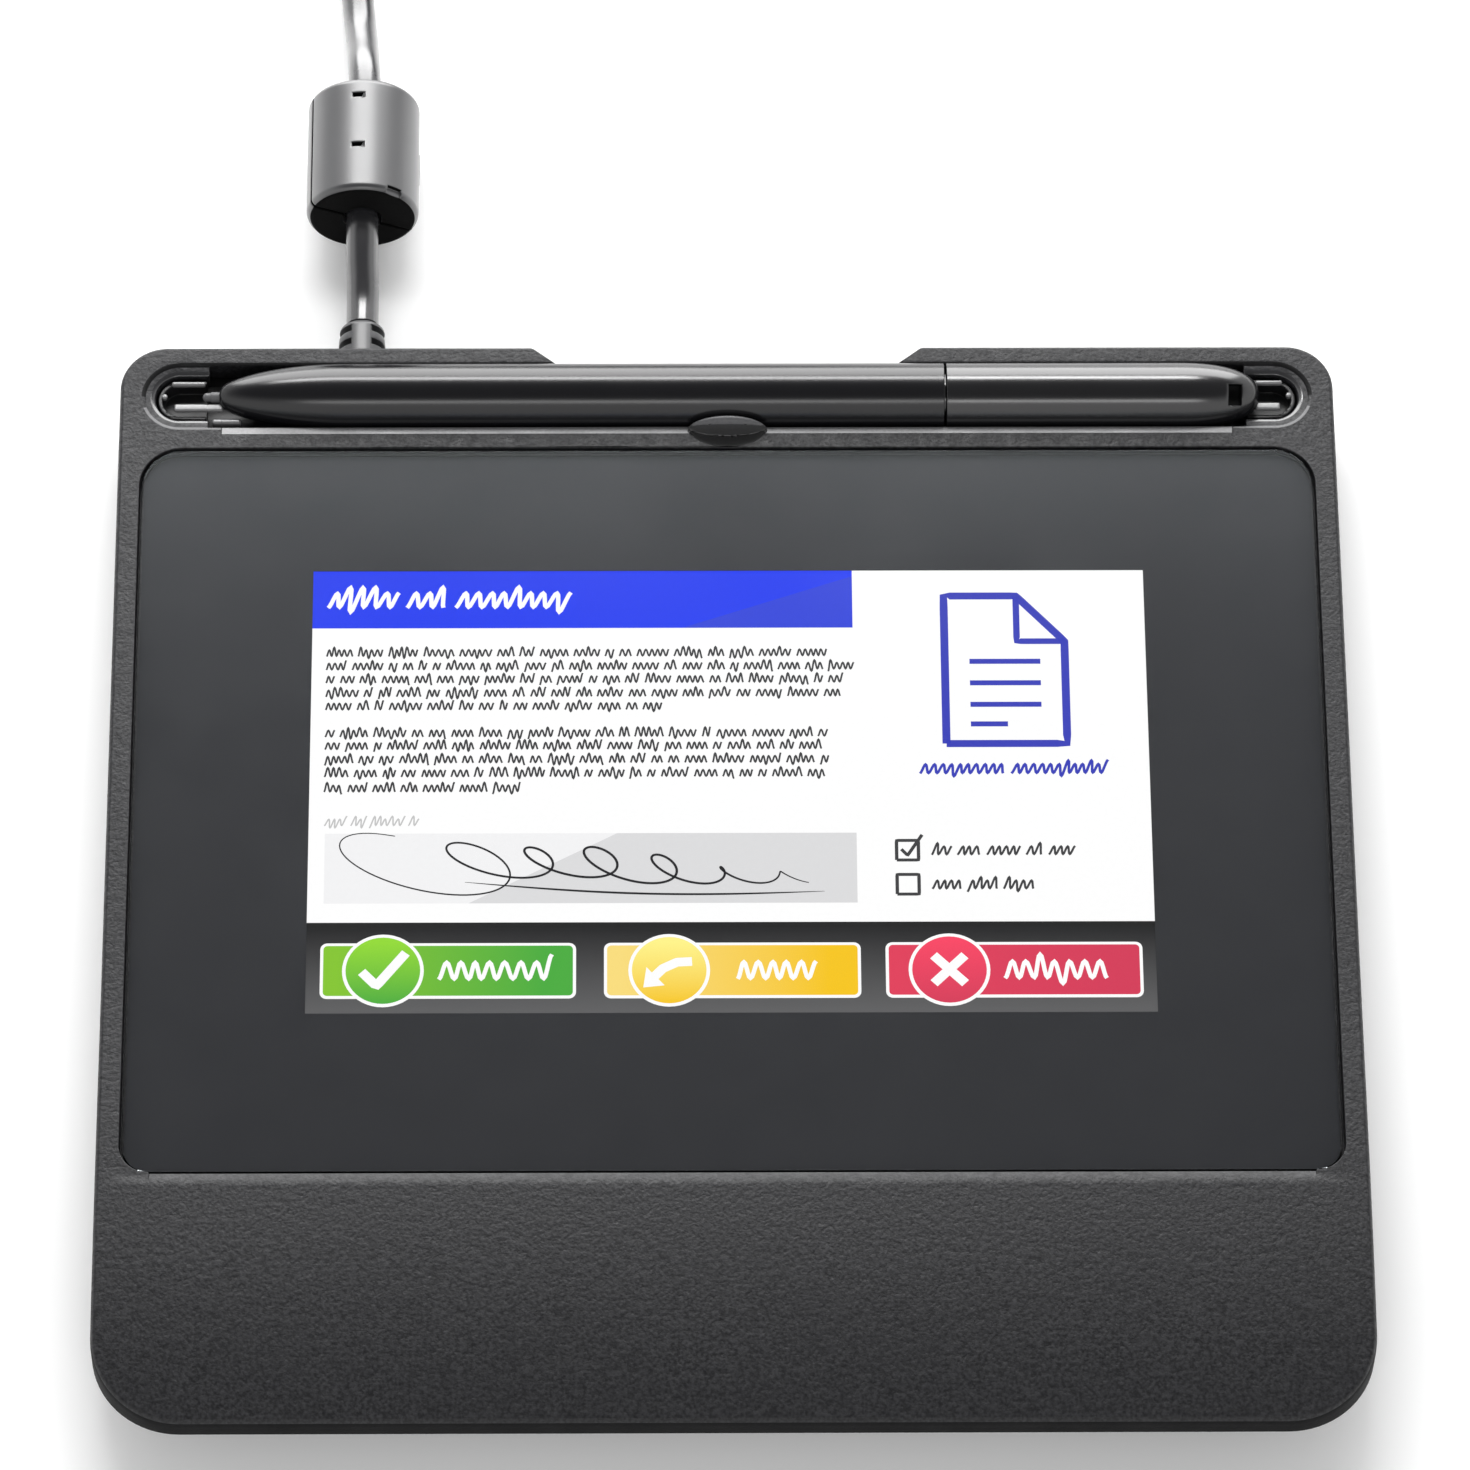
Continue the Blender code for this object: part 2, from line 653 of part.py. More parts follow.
def body_outline(inset, front_inset=None, rear_inset=None):
    """The casing's right half outline, drawn in by an inset at the sides, front and rear."""
    front_inset = inset if front_inset is None else front_inset
    rear_inset = inset if rear_inset is None else rear_inset
    return half_outline(
        BODY_WIDTH / 2 - inset,
        -BODY_DEPTH / 2 + front_inset,
        BODY_DEPTH / 2 - rear_inset,
        max(FRONT_CORNER - inset, EDGE_ROUND),
        max(REAR_CORNER - inset, EDGE_ROUND),
        side_stations(),
    )


def edge_drop(y):
    """Height of the rounded top edge, larger at the front."""
    share = smooth_step((PALM_REAR_Y - y) / (PALM_REAR_Y - PALM_FRONT_Y))
    return EDGE_ROUND + (FRONT_EDGE_DROP - EDGE_ROUND) * share


def housing_skin(name, finish):
    """The outer form of the top housing as a solid."""
    rings = [[(x, y, SEAM_HEIGHT) for x, y in body_outline(SIDE_UNDERCUT, rear_inset=0)]]
    rings.append([(x, y, EDGE_HEIGHT) for x, y in body_outline(0)])
    for step in range(EDGE_STEPS + 2):
        turn = math.pi / 2 * step / (EDGE_STEPS + 1)
        outline = body_outline(EDGE_ROUND * (1 - math.cos(turn)))
        rise = 1 - math.sin(turn)
        rings.append([(x, y, crown(y) - edge_drop(y) * rise) for x, y in outline])
    return loft(name, rings, finish)


def housing_hollow(name, finish):
    """The space under the top housing's deck and palm rest."""
    outline = body_outline(SIDE_WALL, SIDE_WALL, SIDE_WALL)
    low = body_outline(SIDE_WALL + SIDE_UNDERCUT, rear_inset=SIDE_WALL)
    start = SEAM_HEIGHT - OVERRUN
    rings = [
        [(x, y, start) for x, y in low],
        [(x, y, SEAM_HEIGHT) for x, y in low],
        [(x, y, EDGE_HEIGHT) for x, y in outline],
        [(x, y, min(DECK_UNDERSIDE, crown(y) - TOP_WALL)) for x, y in outline],
    ]
    return loft(name, rings, finish)


def glass_outline(grow):
    return half_outline(
        GLASS_WIDTH / 2 + grow,
        GLASS_MIDDLE_Y - GLASS_DEPTH / 2 - grow,
        GLASS_MIDDLE_Y + GLASS_DEPTH / 2 + grow,
        GLASS_FRONT_CORNER + grow,
        GLASS_REAR_CORNER + grow,
    )


def palm_bevel(name, finish):
    """Cutter for the slope from the palm rest down to the glass."""
    front = PALM_REAR_Y - PALM_BEVEL
    section = (
        (PALM_REAR_Y + OVERRUN, TOP_PLANE),
        (PALM_REAR_Y, TOP_PLANE),
        (front, crown(front)),
        (front, TOP_PLANE + OVERRUN),
        (PALM_REAR_Y + OVERRUN, TOP_PLANE + OVERRUN),
    )
    half = GLASS_WIDTH / 2 - GLASS_FRONT_CORNER
    return extruded(name, section, -half, half, finish)


def stadium(half_length, radius):
    """A long outline with round ends about the tray's middle line."""
    return half_outline(
        half_length + radius, TRAY_MIDDLE_Y - radius, TRAY_MIDDLE_Y + radius, radius, radius
    )


def well_slope(name, finish):
    """Cutter for the sloped band round the ends of the tray."""
    rise = OVERRUN / WELL_SLOPE_DEPTH
    grow = (TRAY_END_RADIUS - WELL_RADIUS) * rise
    levels = (
        (WELL_RADIUS, TOP_PLANE - WELL_SLOPE_DEPTH),
        (TRAY_END_RADIUS + grow, TOP_PLANE + OVERRUN),
    )
    rings = [[(x, y, z) for x, y in stadium(TRAY_HALF_LENGTH, radius)] for radius, z in levels]
    return loft(name, rings, finish)


def notch(name, grow, finish):
    """Cutter for the finger notch in the rear edge, with its slanted ends."""
    pen_side = TRAY_MIDDLE_Y + CHANNEL_RADIUS / 2
    slope = (NOTCH_REAR_HALF_WIDTH - NOTCH_HALF_WIDTH) / (REAR_FACE_Y - TRAY_MIDDLE_Y - CHANNEL_RADIUS)
    reach = REAR_FACE_Y + OVERRUN - TRAY_MIDDLE_Y - CHANNEL_RADIUS
    outline = [
        (NOTCH_HALF_WIDTH + grow, pen_side),
        (NOTCH_HALF_WIDTH + grow, TRAY_MIDDLE_Y + CHANNEL_RADIUS),
        (NOTCH_HALF_WIDTH + grow + slope * reach, REAR_FACE_Y + OVERRUN),
    ]
    return prism(name, outline, NOTCH_FLOOR, TOP_PLANE + 2 * OVERRUN, finish)


def oval_ball(name, size, place, finish, lean=0.0):
    bm = bmesh.new()
    bmesh.ops.create_uvsphere(bm, u_segments=24, v_segments=16, radius=1)
    bmesh.ops.scale(bm, vec=size, verts=bm.verts)
    obj = mesh_object(name, bm, finish)
    obj.location = place
    obj.rotation_euler.x = lean
    return obj


def relief_bore(name, finish):
    """Cutter for the strain relief's hole through the rear walls, and for its flange."""
    wide = RELIEF_FLANGE_RADIUS + FIT
    narrow = RELIEF_NECK_RADIUS + FIT
    room_end = REAR_FACE_Y - SIDE_WALL + FIT / 2
    room_start = room_end - RELIEF_ROOM
    end = REAR_FACE_Y + OVERRUN
    profile = (
        (0, room_start),
        (wide, room_start),
        (wide, room_end),
        (narrow, room_end),
        (narrow, end),
        (0, end),
    )
    return along_y(turned(name, profile, finish, SMALL_SIDES), LEAD_EXIT_X, LEAD_EXIT_HEIGHT)


def screw_places():
    x = BODY_WIDTH / 2 - SCREW_TO_SIDE
    front = FRONT_FACE_Y + SCREW_TO_FRONT
    rear = REAR_FACE_Y - SCREW_TO_REAR
    return [(-x, front), (x, front), (-x, rear), (x, rear)]


def foot_places():
    x = BODY_WIDTH / 2 - FOOT_TO_SIDE
    front = FRONT_FACE_Y + FOOT_TO_FRONT
    rear = REAR_FACE_Y - FOOT_TO_REAR
    return [(-x, front), (x, front), (-x, rear), (x, rear)]


def make_top_housing():
    finish = casing_plastic()
    housing = housing_skin("top_housing", finish)
    cut(housing, housing_hollow("housing_hollow", finish))
    for index, (x, y) in enumerate(screw_places()):
        boss = rod(f"boss_{index}", BOSS_RADIUS, SEAM_HEIGHT, DECK_UNDERSIDE + OVERRUN / 2, finish)
        boss.location.x, boss.location.y = x, y
        join(housing, boss)
    high = TOP_PLANE + OVERRUN
    low = SEAM_HEIGHT
    pocket = prism("glass_pocket", glass_outline(FIT), DECK_TOP, high, finish)
    window_place = (0, DISPLAY_MIDDLE_Y)
    window = plate(
        "display_window",
        FRAME_WIDTH + 2 * FIT,
        FRAME_DEPTH + 2 * FIT,
        FRAME_CORNER + FIT,
        low,
        high,
        finish,
        window_place,
    )
    channel_size = (2 * CHANNEL_HALF_LENGTH, 2 * CHANNEL_RADIUS, high - low)
    channel = block("pen_channel", channel_size, (0, TRAY_MIDDLE_Y, (high + low) / 2), finish)
    wells = prism("end_wells", stadium(TRAY_HALF_LENGTH, WELL_RADIUS), low, high, finish)
    lip = oval_ball("dish_lip", DISH_LIP_SIZE, (0, DISH_LIP_Y, TOP_PLANE), finish, DISH_LEAN)
    cut(housing, pocket, palm_bevel("palm_slope", finish), window)
    cut(housing, well_slope("well_slope", finish), wells, channel)
    join(housing, lip)
    scoop_place = (0, DISH_SCOOP_Y, TOP_PLANE + DISH_SCOOP_RISE)
    cut(housing, oval_ball("dish_scoop", DISH_SCOOP_SIZE, scoop_place, finish, DISH_LEAN))
    cut(housing, notch("finger_notch", 0, finish))
    cut(housing, relief_bore("relief_bore_top", finish))
    for index, (x, y) in enumerate(screw_places()):
        pilot_top = FLOOR_TOP + SCREW_LENGTH + 2 * FIT
        pilot = rod(f"pilot_{index}", SCREW_RADIUS + FIT, low - OVERRUN, pilot_top, finish, SMALL_SIDES)
        pilot.location.x, pilot.location.y = x, y
        cut(housing, pilot)


def make_bottom_housing():
    finish = casing_plastic()
    share = (BASE_TOP - FOOT_STAND) / (SEAM_HEIGHT - FOOT_STAND)
    rim_inset = BASE_UNDERCUT + (SIDE_UNDERCUT - BASE_UNDERCUT) * share
    knee = FOOT_STAND + BASE_CHAMFER
    knee_inset = BASE_UNDERCUT - BASE_CHAMFER
    levels = (
        (FOOT_STAND, BASE_UNDERCUT, BASE_REAR_UNDERCUT),
        (knee, knee_inset, 0),
        (BASE_TOP, rim_inset, 0),
    )
    rings = [
        [(x, y, z) for x, y in body_outline(inset, rear_inset=rear)] for z, inset, rear in levels
    ]
    base = loft("bottom_housing", rings, finish)
    inner = body_outline(knee_inset + SIDE_WALL, rear_inset=SIDE_WALL)
    rim = body_outline(rim_inset + SIDE_WALL, rear_inset=SIDE_WALL)
    hollow_rings = [
        [(x, y, FLOOR_TOP) for x, y in inner],
        [(x, y, BASE_TOP) for x, y in rim],
        [(x, y, BASE_TOP + OVERRUN) for x, y in rim],
    ]
    cut(base, loft("base_hollow", hollow_rings, finish))
    for index, (x, y) in enumerate(screw_places()):
        post = rod(f"post_{index}", POST_RADIUS, FLOOR_TOP - OVERRUN / 2, BASE_TOP, finish)
        post.location.x, post.location.y = x, y
        join(base, post)
    for index, (x, y) in enumerate(board_standoffs() + shield_standoffs()):
        high = BOARD_UNDERSIDE - FIT if y < PALM_REAR_Y else SHIELD_UNDERSIDE - FIT
        standoff = rod(
            f"standoff_{index}", STANDOFF_RADIUS, FLOOR_TOP - OVERRUN / 2, high, finish, SMALL_SIDES
        )
        standoff.location.x, standoff.location.y = x, y
        join(base, standoff)
    for index, (x, y) in enumerate(screw_places()):
        recess_top = FLOOR_TOP
        recess = rod(
            f"head_recess_{index}",
            SCREW_HEAD_RADIUS + FIT,
            FOOT_STAND - OVERRUN,
            recess_top,
            finish,
        )
        hole = rod(
            f"screw_hole_{index}", SCREW_RADIUS + FIT, FOOT_STAND, BASE_TOP + OVERRUN, finish, SMALL_SIDES
        )
        for cutter in (recess, hole):
            cutter.location.x, cutter.location.y = x, y
        cut(base, recess, hole)
    for index, (x, y) in enumerate(foot_places()):
        pocket = plate(
            f"foot_pocket_{index}",
            FOOT_LENGTH + 2 * FIT,
            FOOT_WIDTH + 2 * FIT,
            FOOT_WIDTH / 2 + FIT,
            FOOT_STAND - OVERRUN,
            FOOT_THICKNESS + FIT,
            finish,
            (x, y),
        )
        cut(base, pocket)
    cut(base, relief_bore("relief_bore_base", finish))


def board_standoffs():
    half = MAIN_BOARD_WIDTH / 2 - STANDOFF_INSET
    depth = MAIN_BOARD_DEPTH / 2 - STANDOFF_INSET
    return [(x, MAIN_BOARD_Y + y) for y in (-depth, depth) for x in (-half, half)]


def shield_standoffs():
    half = SENSOR_WIDTH / 2 - SHIELD_INSET - STANDOFF_INSET
    depth = SENSOR_DEPTH / 2 - SHIELD_INSET - STANDOFF_INSET
    return [(x, DISPLAY_MIDDLE_Y + y) for y in (-depth, depth) for x in (-half, half)]


def make_glass_and_seal():
    prism("cover_glass", glass_outline(0), GLASS_UNDERSIDE, GLASS_TOP, cover_glass_black())
    low = SEAL_TOP - SEAL_THICKNESS
    seal = prism("glass_seal", glass_outline(-SEAL_WIDTH / 4), low, SEAL_TOP, rubber_black())
    opening = glass_outline(-SEAL_WIDTH)
    cut(seal, prism("seal_opening", opening, low - OVERRUN, SEAL_TOP + OVERRUN, rubber_black()))


def make_display():
    place = (0, DISPLAY_MIDDLE_Y)
    corner = FRAME_CORNER / 2
    plate(
        "display_panel", PANEL_WIDTH, PANEL_DEPTH, corner, PANEL_UNDERSIDE, PANEL_TOP, display_surface(), place
    )
    plate(
        "backlight_unit",
        PANEL_WIDTH,
        PANEL_DEPTH,
        corner,
        BACKLIGHT_UNDERSIDE,
        BACKLIGHT_TOP,
        socket_ivory(),
        place,
    )
    top = PANEL_TOP - FIT
    frame = plate(
        "display_frame", FRAME_WIDTH, FRAME_DEPTH, FRAME_CORNER, FRAME_UNDERSIDE, top, steel_sheet(), place
    )
    inside = plate(
        "frame_inside",
        FRAME_WIDTH - 2 * FRAME_WALL,
        FRAME_DEPTH - 2 * FRAME_WALL,
        corner,
        FRAME_FLOOR_TOP,
        top + OVERRUN,
        steel_sheet(),
        place,
    )
    cut(frame, inside)


def make_sensor():
    place = (0, DISPLAY_MIDDLE_Y)
    plate(
        "sensor_board", SENSOR_WIDTH, SENSOR_DEPTH, BOARD_CORNER, SENSOR_UNDERSIDE, SENSOR_TOP,
        circuit_board_green(), place,
    )
    inset = 2 * SHIELD_INSET
    plate(
        "shield_plate", SENSOR_WIDTH - inset, SENSOR_DEPTH - inset, BOARD_CORNER, SHIELD_UNDERSIDE,
        SHIELD_TOP, steel_sheet(), place,
    )


def make_pen_tray():
    """The trough under the channel, with its flange below the deck and the notch's sill."""
    finish = tray_plastic()
    outer = CHANNEL_RADIUS + TROUGH_WALL
    flange_low = TROUGH_TOP - TROUGH_WALL
    start = math.asin((PEN_HEIGHT - flange_low) / outer)
    section = [(-TROUGH_FLANGE, TROUGH_TOP), (-TROUGH_FLANGE, flange_low)]
    for step in range(CORNER_STEPS + 1):
        turn = start + (math.pi - 2 * start) * step / CORNER_STEPS
        section.append((-outer * math.cos(turn), PEN_HEIGHT - outer * math.sin(turn)))
    section += [(TROUGH_FLANGE, flange_low), (TROUGH_FLANGE, TROUGH_TOP)]
    half = TRAY_HALF_LENGTH + WELL_RADIUS + TROUGH_END_WALL
    placed = [(TRAY_MIDDLE_Y + y, z) for y, z in section]
    trough = extruded("pen_tray", placed, -half, half, finish)
    sill_rear = REAR_FACE_Y - SIDE_WALL - FIT
    sill_front = TRAY_MIDDLE_Y
    sill_size = (2 * NOTCH_REAR_HALF_WIDTH, sill_rear - sill_front, NOTCH_SILL)
    sill_place = (0, (sill_front + sill_rear) / 2, NOTCH_FLOOR - NOTCH_SILL / 2)
    join(trough, block("notch_sill", sill_size, sill_place, finish))
    inside = half - TROUGH_END_WALL
    cut(
        trough,
        along_x(rod("trough_hollow", CHANNEL_RADIUS, -inside, inside, finish), TRAY_MIDDLE_Y, PEN_HEIGHT),
        notch("tray_notch", FIT, finish),
    )


def make_tether_anchor(name, side, rail_reach):
    """The insert in one end of the tray: a cup with two rails beside the pen's end."""
    finish = rail_grey()
    high = TOP_PLANE - WELL_SLOPE_DEPTH - FIT
    radius = WELL_RADIUS - FIT
    low = high - ANCHOR_DEPTH
    inner_end = CHANNEL_HALF_LENGTH + FIT
    outline = half_outline(
        TRAY_HALF_LENGTH + radius, TRAY_MIDDLE_Y - radius, TRAY_MIDDLE_Y + radius, radius, radius
    )
    cup = prism(name, outline, low, high, finish)
    hollow_radius = radius - ANCHOR_WALL
    hollow = prism(
        f"{name}_hollow", stadium(TRAY_HALF_LENGTH, hollow_radius), low + ANCHOR_FLOOR, high + OVERRUN, finish
    )
    far = -side * (TRAY_HALF_LENGTH + WELL_RADIUS + OVERRUN)
    near = side * inner_end
    keep_out = (abs(near - far), 2 * WELL_RADIUS, ANCHOR_DEPTH + 2 * OVERRUN)
    other_end = block(
        f"{name}_other_end", keep_out, ((near + far) / 2, TRAY_MIDDLE_Y, (low + high) / 2), finish
    )
    cut(cup, hollow)
    cut(cup, other_end)
    rail_start = TRAY_HALF_LENGTH - rail_reach
    rail_top = TOP_PLANE - RAIL_TOP_SINK
    rail_low = low + ANCHOR_FLOOR / 2
    for place in (-RAIL_OFFSET, RAIL_OFFSET):
        size = (RAIL_END - rail_start, RAIL_WIDTH, rail_top - rail_low)
        middle = (side * (RAIL_END + rail_start) / 2, TRAY_MIDDLE_Y + place, (rail_top + rail_low) / 2)
        join(cup, block(f"{name}_rail_{place:+.4f}", size, middle, finish, RAIL_WIDTH / 4))
    reach = trough_clearance(f"{name}_trough", finish)
    combine(cup, reach, "INTERSECT")


def trough_clearance(name, finish):
    """What a piece in the trough may fill: the channel's bore less a clearance, and above."""
    half = TRAY_HALF_LENGTH + WELL_RADIUS
    radius = CHANNEL_RADIUS - FIT
    section = [(TRAY_MIDDLE_Y - radius, TOP_PLANE), (TRAY_MIDDLE_Y - radius, PEN_HEIGHT)]
    for step in range(1, ROUND_SIDES // 2):
        turn = 2 * math.pi * step / ROUND_SIDES
        section.append((TRAY_MIDDLE_Y - radius * math.cos(turn), PEN_HEIGHT - radius * math.sin(turn)))
    section += [(TRAY_MIDDLE_Y + radius, PEN_HEIGHT), (TRAY_MIDDLE_Y + radius, TOP_PLANE)]
    return extruded(name, section, -half, half, finish)


def nose_profile():
    """(radius, x) of the pen's nose, from its tip to the full radius."""
    points = []
    for step in range(NOSE_STEPS + 1):
        share = 1 - step / NOSE_STEPS
        swell = (1 - share * share) ** NOSE_TAPER_POWER
        radius = PEN_NOSE_RADIUS + (PEN_RADIUS - PEN_NOSE_RADIUS) * swell
        points.append((radius, PEN_FULL - share * (PEN_FULL - PEN_NOSE)))
    return points


def dome_profile():
    points = []
    for step in range(DOME_STEPS + 1):
        turn = math.pi / 2 * step / DOME_STEPS
        radius = PEN_RADIUS * math.cos(turn) ** (2 / DOME_POWER)
        points.append((radius, PEN_DOME + (PEN_BUTT - PEN_DOME) * math.sin(turn) ** (2 / DOME_POWER)))
    points[-1] = (0, PEN_BUTT)
    return points


def place_on_pen(obj):
    return along_x(obj, TRAY_MIDDLE_Y, PEN_HEIGHT)


def make_pen_barrel():
    finish = pen_matte()
    end = PEN_SEAM - FIT / 2
    profile = [(0, PEN_NOSE), *nose_profile(), (PEN_RADIUS, end), (0, end)]
    barrel = place_on_pen(turned("pen_barrel", profile, finish))
    bore = PEN_RADIUS - PEN_WALL
    bore_start = CORE_START - FIT
    bore_profile = (
        (0, PEN_NOSE - OVERRUN),
        (NIB_RADIUS + FIT, PEN_NOSE - OVERRUN),
        (NIB_RADIUS + FIT, bore_start),
        (bore, bore_start),
        (bore, end + OVERRUN),
        (0, end + OVERRUN),
    )
    cut(barrel, place_on_pen(turned("barrel_bore", bore_profile, finish, SMALL_SIDES)))


def make_pen_cap():
    finish = pen_satin()
    start = PEN_SEAM + FIT / 2
    spigot = PEN_RADIUS - PEN_WALL - FIT
    spigot_start = PEN_SEAM - SPIGOT_LENGTH
    profile = [(0, spigot_start), (spigot, spigot_start), (spigot, start), (PEN_RADIUS, start)]
    cap = place_on_pen(turned("pen_cap", [*profile, *dome_profile()], finish))
    bore_end = PEN_DOME - CAP_END_WALL
    bore = rod("cap_bore", spigot - PEN_WALL, spigot_start - OVERRUN, bore_end, finish, SMALL_SIDES)
    slot_size = (TETHER_SLOT_LENGTH, TETHER_SLOT_WIDTH, 2 * PEN_RADIUS + OVERRUN)
    slot = block("tether_slot", slot_size, (TETHER_SLOT_X, TRAY_MIDDLE_Y, PEN_HEIGHT), finish)
    cut(cap, place_on_pen(bore), slot)


def make_pen_inside():
    tip = PEN_NIB_TIP
    nib_profile = [(0, tip)]
    for step in range(1, EDGE_STEPS + 1):
        turn = math.pi / 2 * step / EDGE_STEPS
        nib_profile.append((NIB_RADIUS * math.sin(turn), tip + NIB_RADIUS * (1 - math.cos(turn))))
    nib_profile += [(NIB_RADIUS, NIB_END), (0, NIB_END)]
    place_on_pen(turned("pen_nib", nib_profile, nib_grey(), SMALL_SIDES))
    bore = NIB_RADIUS + FIT
    place_on_pen(ring("pen_core", bore, CORE_RADIUS, CORE_START, CORE_END, ferrite_black(), SMALL_SIDES))
    coil_bore = CORE_RADIUS + FIT
    coil_start = CORE_START + PEN_COIL_MARGIN
    coil_end = CORE_END - PEN_COIL_MARGIN
    place_on_pen(
        ring("pen_coil", coil_bore, PEN_COIL_RADIUS, coil_start, coil_end, copper_wire(), SMALL_SIDES)
    )
    sensor_start = NIB_END + NIB_TRAVEL + FIT
    sensor_end = sensor_start + PRESS_SENSOR_LENGTH
    sensor_radius = PEN_RADIUS - PEN_WALL - FIT
    place_on_pen(rod("pen_press_sensor", sensor_radius, sensor_start, sensor_end, chip_black(), SMALL_SIDES))
    board_start = sensor_end + FIT
    board_length = (PEN_SEAM - SPIGOT_LENGTH - board_start) * PEN_BOARD_SHARE
    board_x = board_start + board_length / 2
    board_size = (board_length, PEN_BOARD_WIDTH, PEN_BOARD_THICKNESS)
    block("pen_board", board_size, (board_x, TRAY_MIDDLE_Y, PEN_HEIGHT), circuit_board_green())


def make_feet():
    names = ("foot_front_left", "foot_front_right", "foot_rear_left", "foot_rear_right")
    for name, place in zip(names, foot_places()):
        plate(name, FOOT_LENGTH, FOOT_WIDTH, FOOT_WIDTH / 2, 0, FOOT_THICKNESS, rubber_black(), place)


def make_screws():
    names = ("screw_front_left", "screw_front_right", "screw_rear_left", "screw_rear_right")
    head_top = FLOOR_TOP - FIT
    head_low = head_top - SCREW_HEAD_HEIGHT
    profile = (
        (0, head_low),
        (SCREW_HEAD_RADIUS, head_low),
        (SCREW_HEAD_RADIUS, head_top),
        (SCREW_RADIUS, head_top),
        (SCREW_RADIUS, head_top + SCREW_LENGTH),
        (0, head_top + SCREW_LENGTH),
    )
    for name, (x, y) in zip(names, screw_places()):
        screw = turned(name, profile, screw_steel(), SMALL_SIDES)
        drive = rod(
            f"{name}_drive", SCREW_DRIVE_RADIUS, head_low - OVERRUN, head_low + SCREW_HEAD_HEIGHT / 2,
            screw_steel(), 6,
        )
        for piece in (screw, drive):
            piece.location.x, piece.location.y = x, y
        cut(screw, drive)


def make_main_board():
    plate(
        "main_board", MAIN_BOARD_WIDTH, MAIN_BOARD_DEPTH, BOARD_CORNER, BOARD_UNDERSIDE, BOARD_TOP,
        circuit_board_green(), (0, MAIN_BOARD_Y),
    )
    seat = BOARD_TOP + FIT
    can_place = (CAN_X, MAIN_BOARD_Y - CAN_TO_MIDDLE, seat + CAN_SIZE[2] / 2)
    block("radio_shield_can", CAN_SIZE, can_place, steel_sheet(), CAN_SIZE[2] / 4)
    chip_place = (CHIP_X, MAIN_BOARD_Y - CHIP_TO_MIDDLE, seat + CHIP_SIZE[2] / 2)
    block("controller_chip", CHIP_SIZE, chip_place, chip_black())
    socket_y = BOARD_REAR_Y - FLEX_SOCKET_DEPTH / 2
    sockets = (
        ("display_socket", DISPLAY_FLEX_X, DISPLAY_FLEX_WIDTH),
        ("sensor_socket", SENSOR_FLEX_X, SENSOR_FLEX_WIDTH),
    )
    for name, x, width in sockets:
        size = (width + 2 * FLEX_SOCKET_HEIGHT, FLEX_SOCKET_DEPTH, FLEX_SOCKET_HEIGHT)
        block(name, size, (x, socket_y, seat + FLEX_SOCKET_HEIGHT / 2), socket_ivory())
    lead_y = BOARD_REAR_Y - LEAD_SOCKET_SIZE[1] / 2
    block("lead_socket", LEAD_SOCKET_SIZE, (LEAD_EXIT_X, lead_y, seat + LEAD_SOCKET_SIZE[2] / 2), socket_ivory())


def ribbon(name, x, width, path, finish):
    """A flat flexible cable across X, along a path of (y, z) points of its middle plane."""
    low = [(y, z - FLEX_THICKNESS / 2) for y, z in path]
    high = [(y, z + FLEX_THICKNESS / 2) for y, z in reversed(path)]
    extruded(name, low + high, x - width / 2, x + width / 2, finish)


def make_flexes():
    """Flat cables from the display and the sensor board to the sockets on the main board."""
    end_y = BOARD_REAR_Y + FIT
    end_z = BOARD_TOP + FIT + FLEX_SOCKET_HEIGHT / 2
    display_start = DISPLAY_MIDDLE_Y - FRAME_DEPTH / 2 - FIT
    sensor_start = DISPLAY_MIDDLE_Y - SENSOR_DEPTH / 2 - FIT
    display_z = FRAME_UNDERSIDE + FRAME_WALL
    sensor_z = SENSOR_TOP - SENSOR_THICKNESS / 2
    starts = (
        ("display_flex", DISPLAY_FLEX_X, DISPLAY_FLEX_WIDTH, display_start, display_z),
        ("sensor_flex", SENSOR_FLEX_X, SENSOR_FLEX_WIDTH, sensor_start, sensor_z),
    )
    for name, x, width, start_y, start_z in starts:
        path = []
        for share in (0.0, 0.2, 0.4, 0.6, 0.8, 1.0):
            rise = smooth_step(share)
            path.append((start_y + (end_y - start_y) * share, start_z + (end_z - start_z) * rise))
        ribbon(name, x, width, path, flex_amber())


def make_strain_relief():
    """The moulded relief that holds the lead in the rear wall, with ribbed sides."""
    finish = lead_jacket()
    inner = REAR_FACE_Y - SIDE_WALL - FIT
    outer = REAR_FACE_Y + FIT
    end = outer + RELIEF_LENGTH
    profile = (
        (0, inner - RELIEF_FLANGE_THICKNESS),
        (RELIEF_FLANGE_RADIUS, inner - RELIEF_FLANGE_THICKNESS),
        (RELIEF_FLANGE_RADIUS, inner),
        (RELIEF_NECK_RADIUS, inner),
        (RELIEF_NECK_RADIUS, outer),
        (RELIEF_RADIUS, outer),
        (RELIEF_END_RADIUS, end),
        (0, end),
    )
    relief = along_y(turned("strain_relief", profile, finish), LEAD_EXIT_X, LEAD_EXIT_HEIGHT)
    for row in (1, 2):
        for side in (-1, 1):
            slot_size = (RELIEF_RADIUS, RELIEF_SLOT_LENGTH, 2 * RELIEF_RADIUS + OVERRUN)
            x = LEAD_EXIT_X + side * (RELIEF_SPINE + RELIEF_RADIUS) / 2
            y = outer + row * RELIEF_SLOT_PITCH
            slot = block(f"relief_slot_{row}_{side:+d}", slot_size, (x, y, LEAD_EXIT_HEIGHT), finish)
            cut(relief, slot)


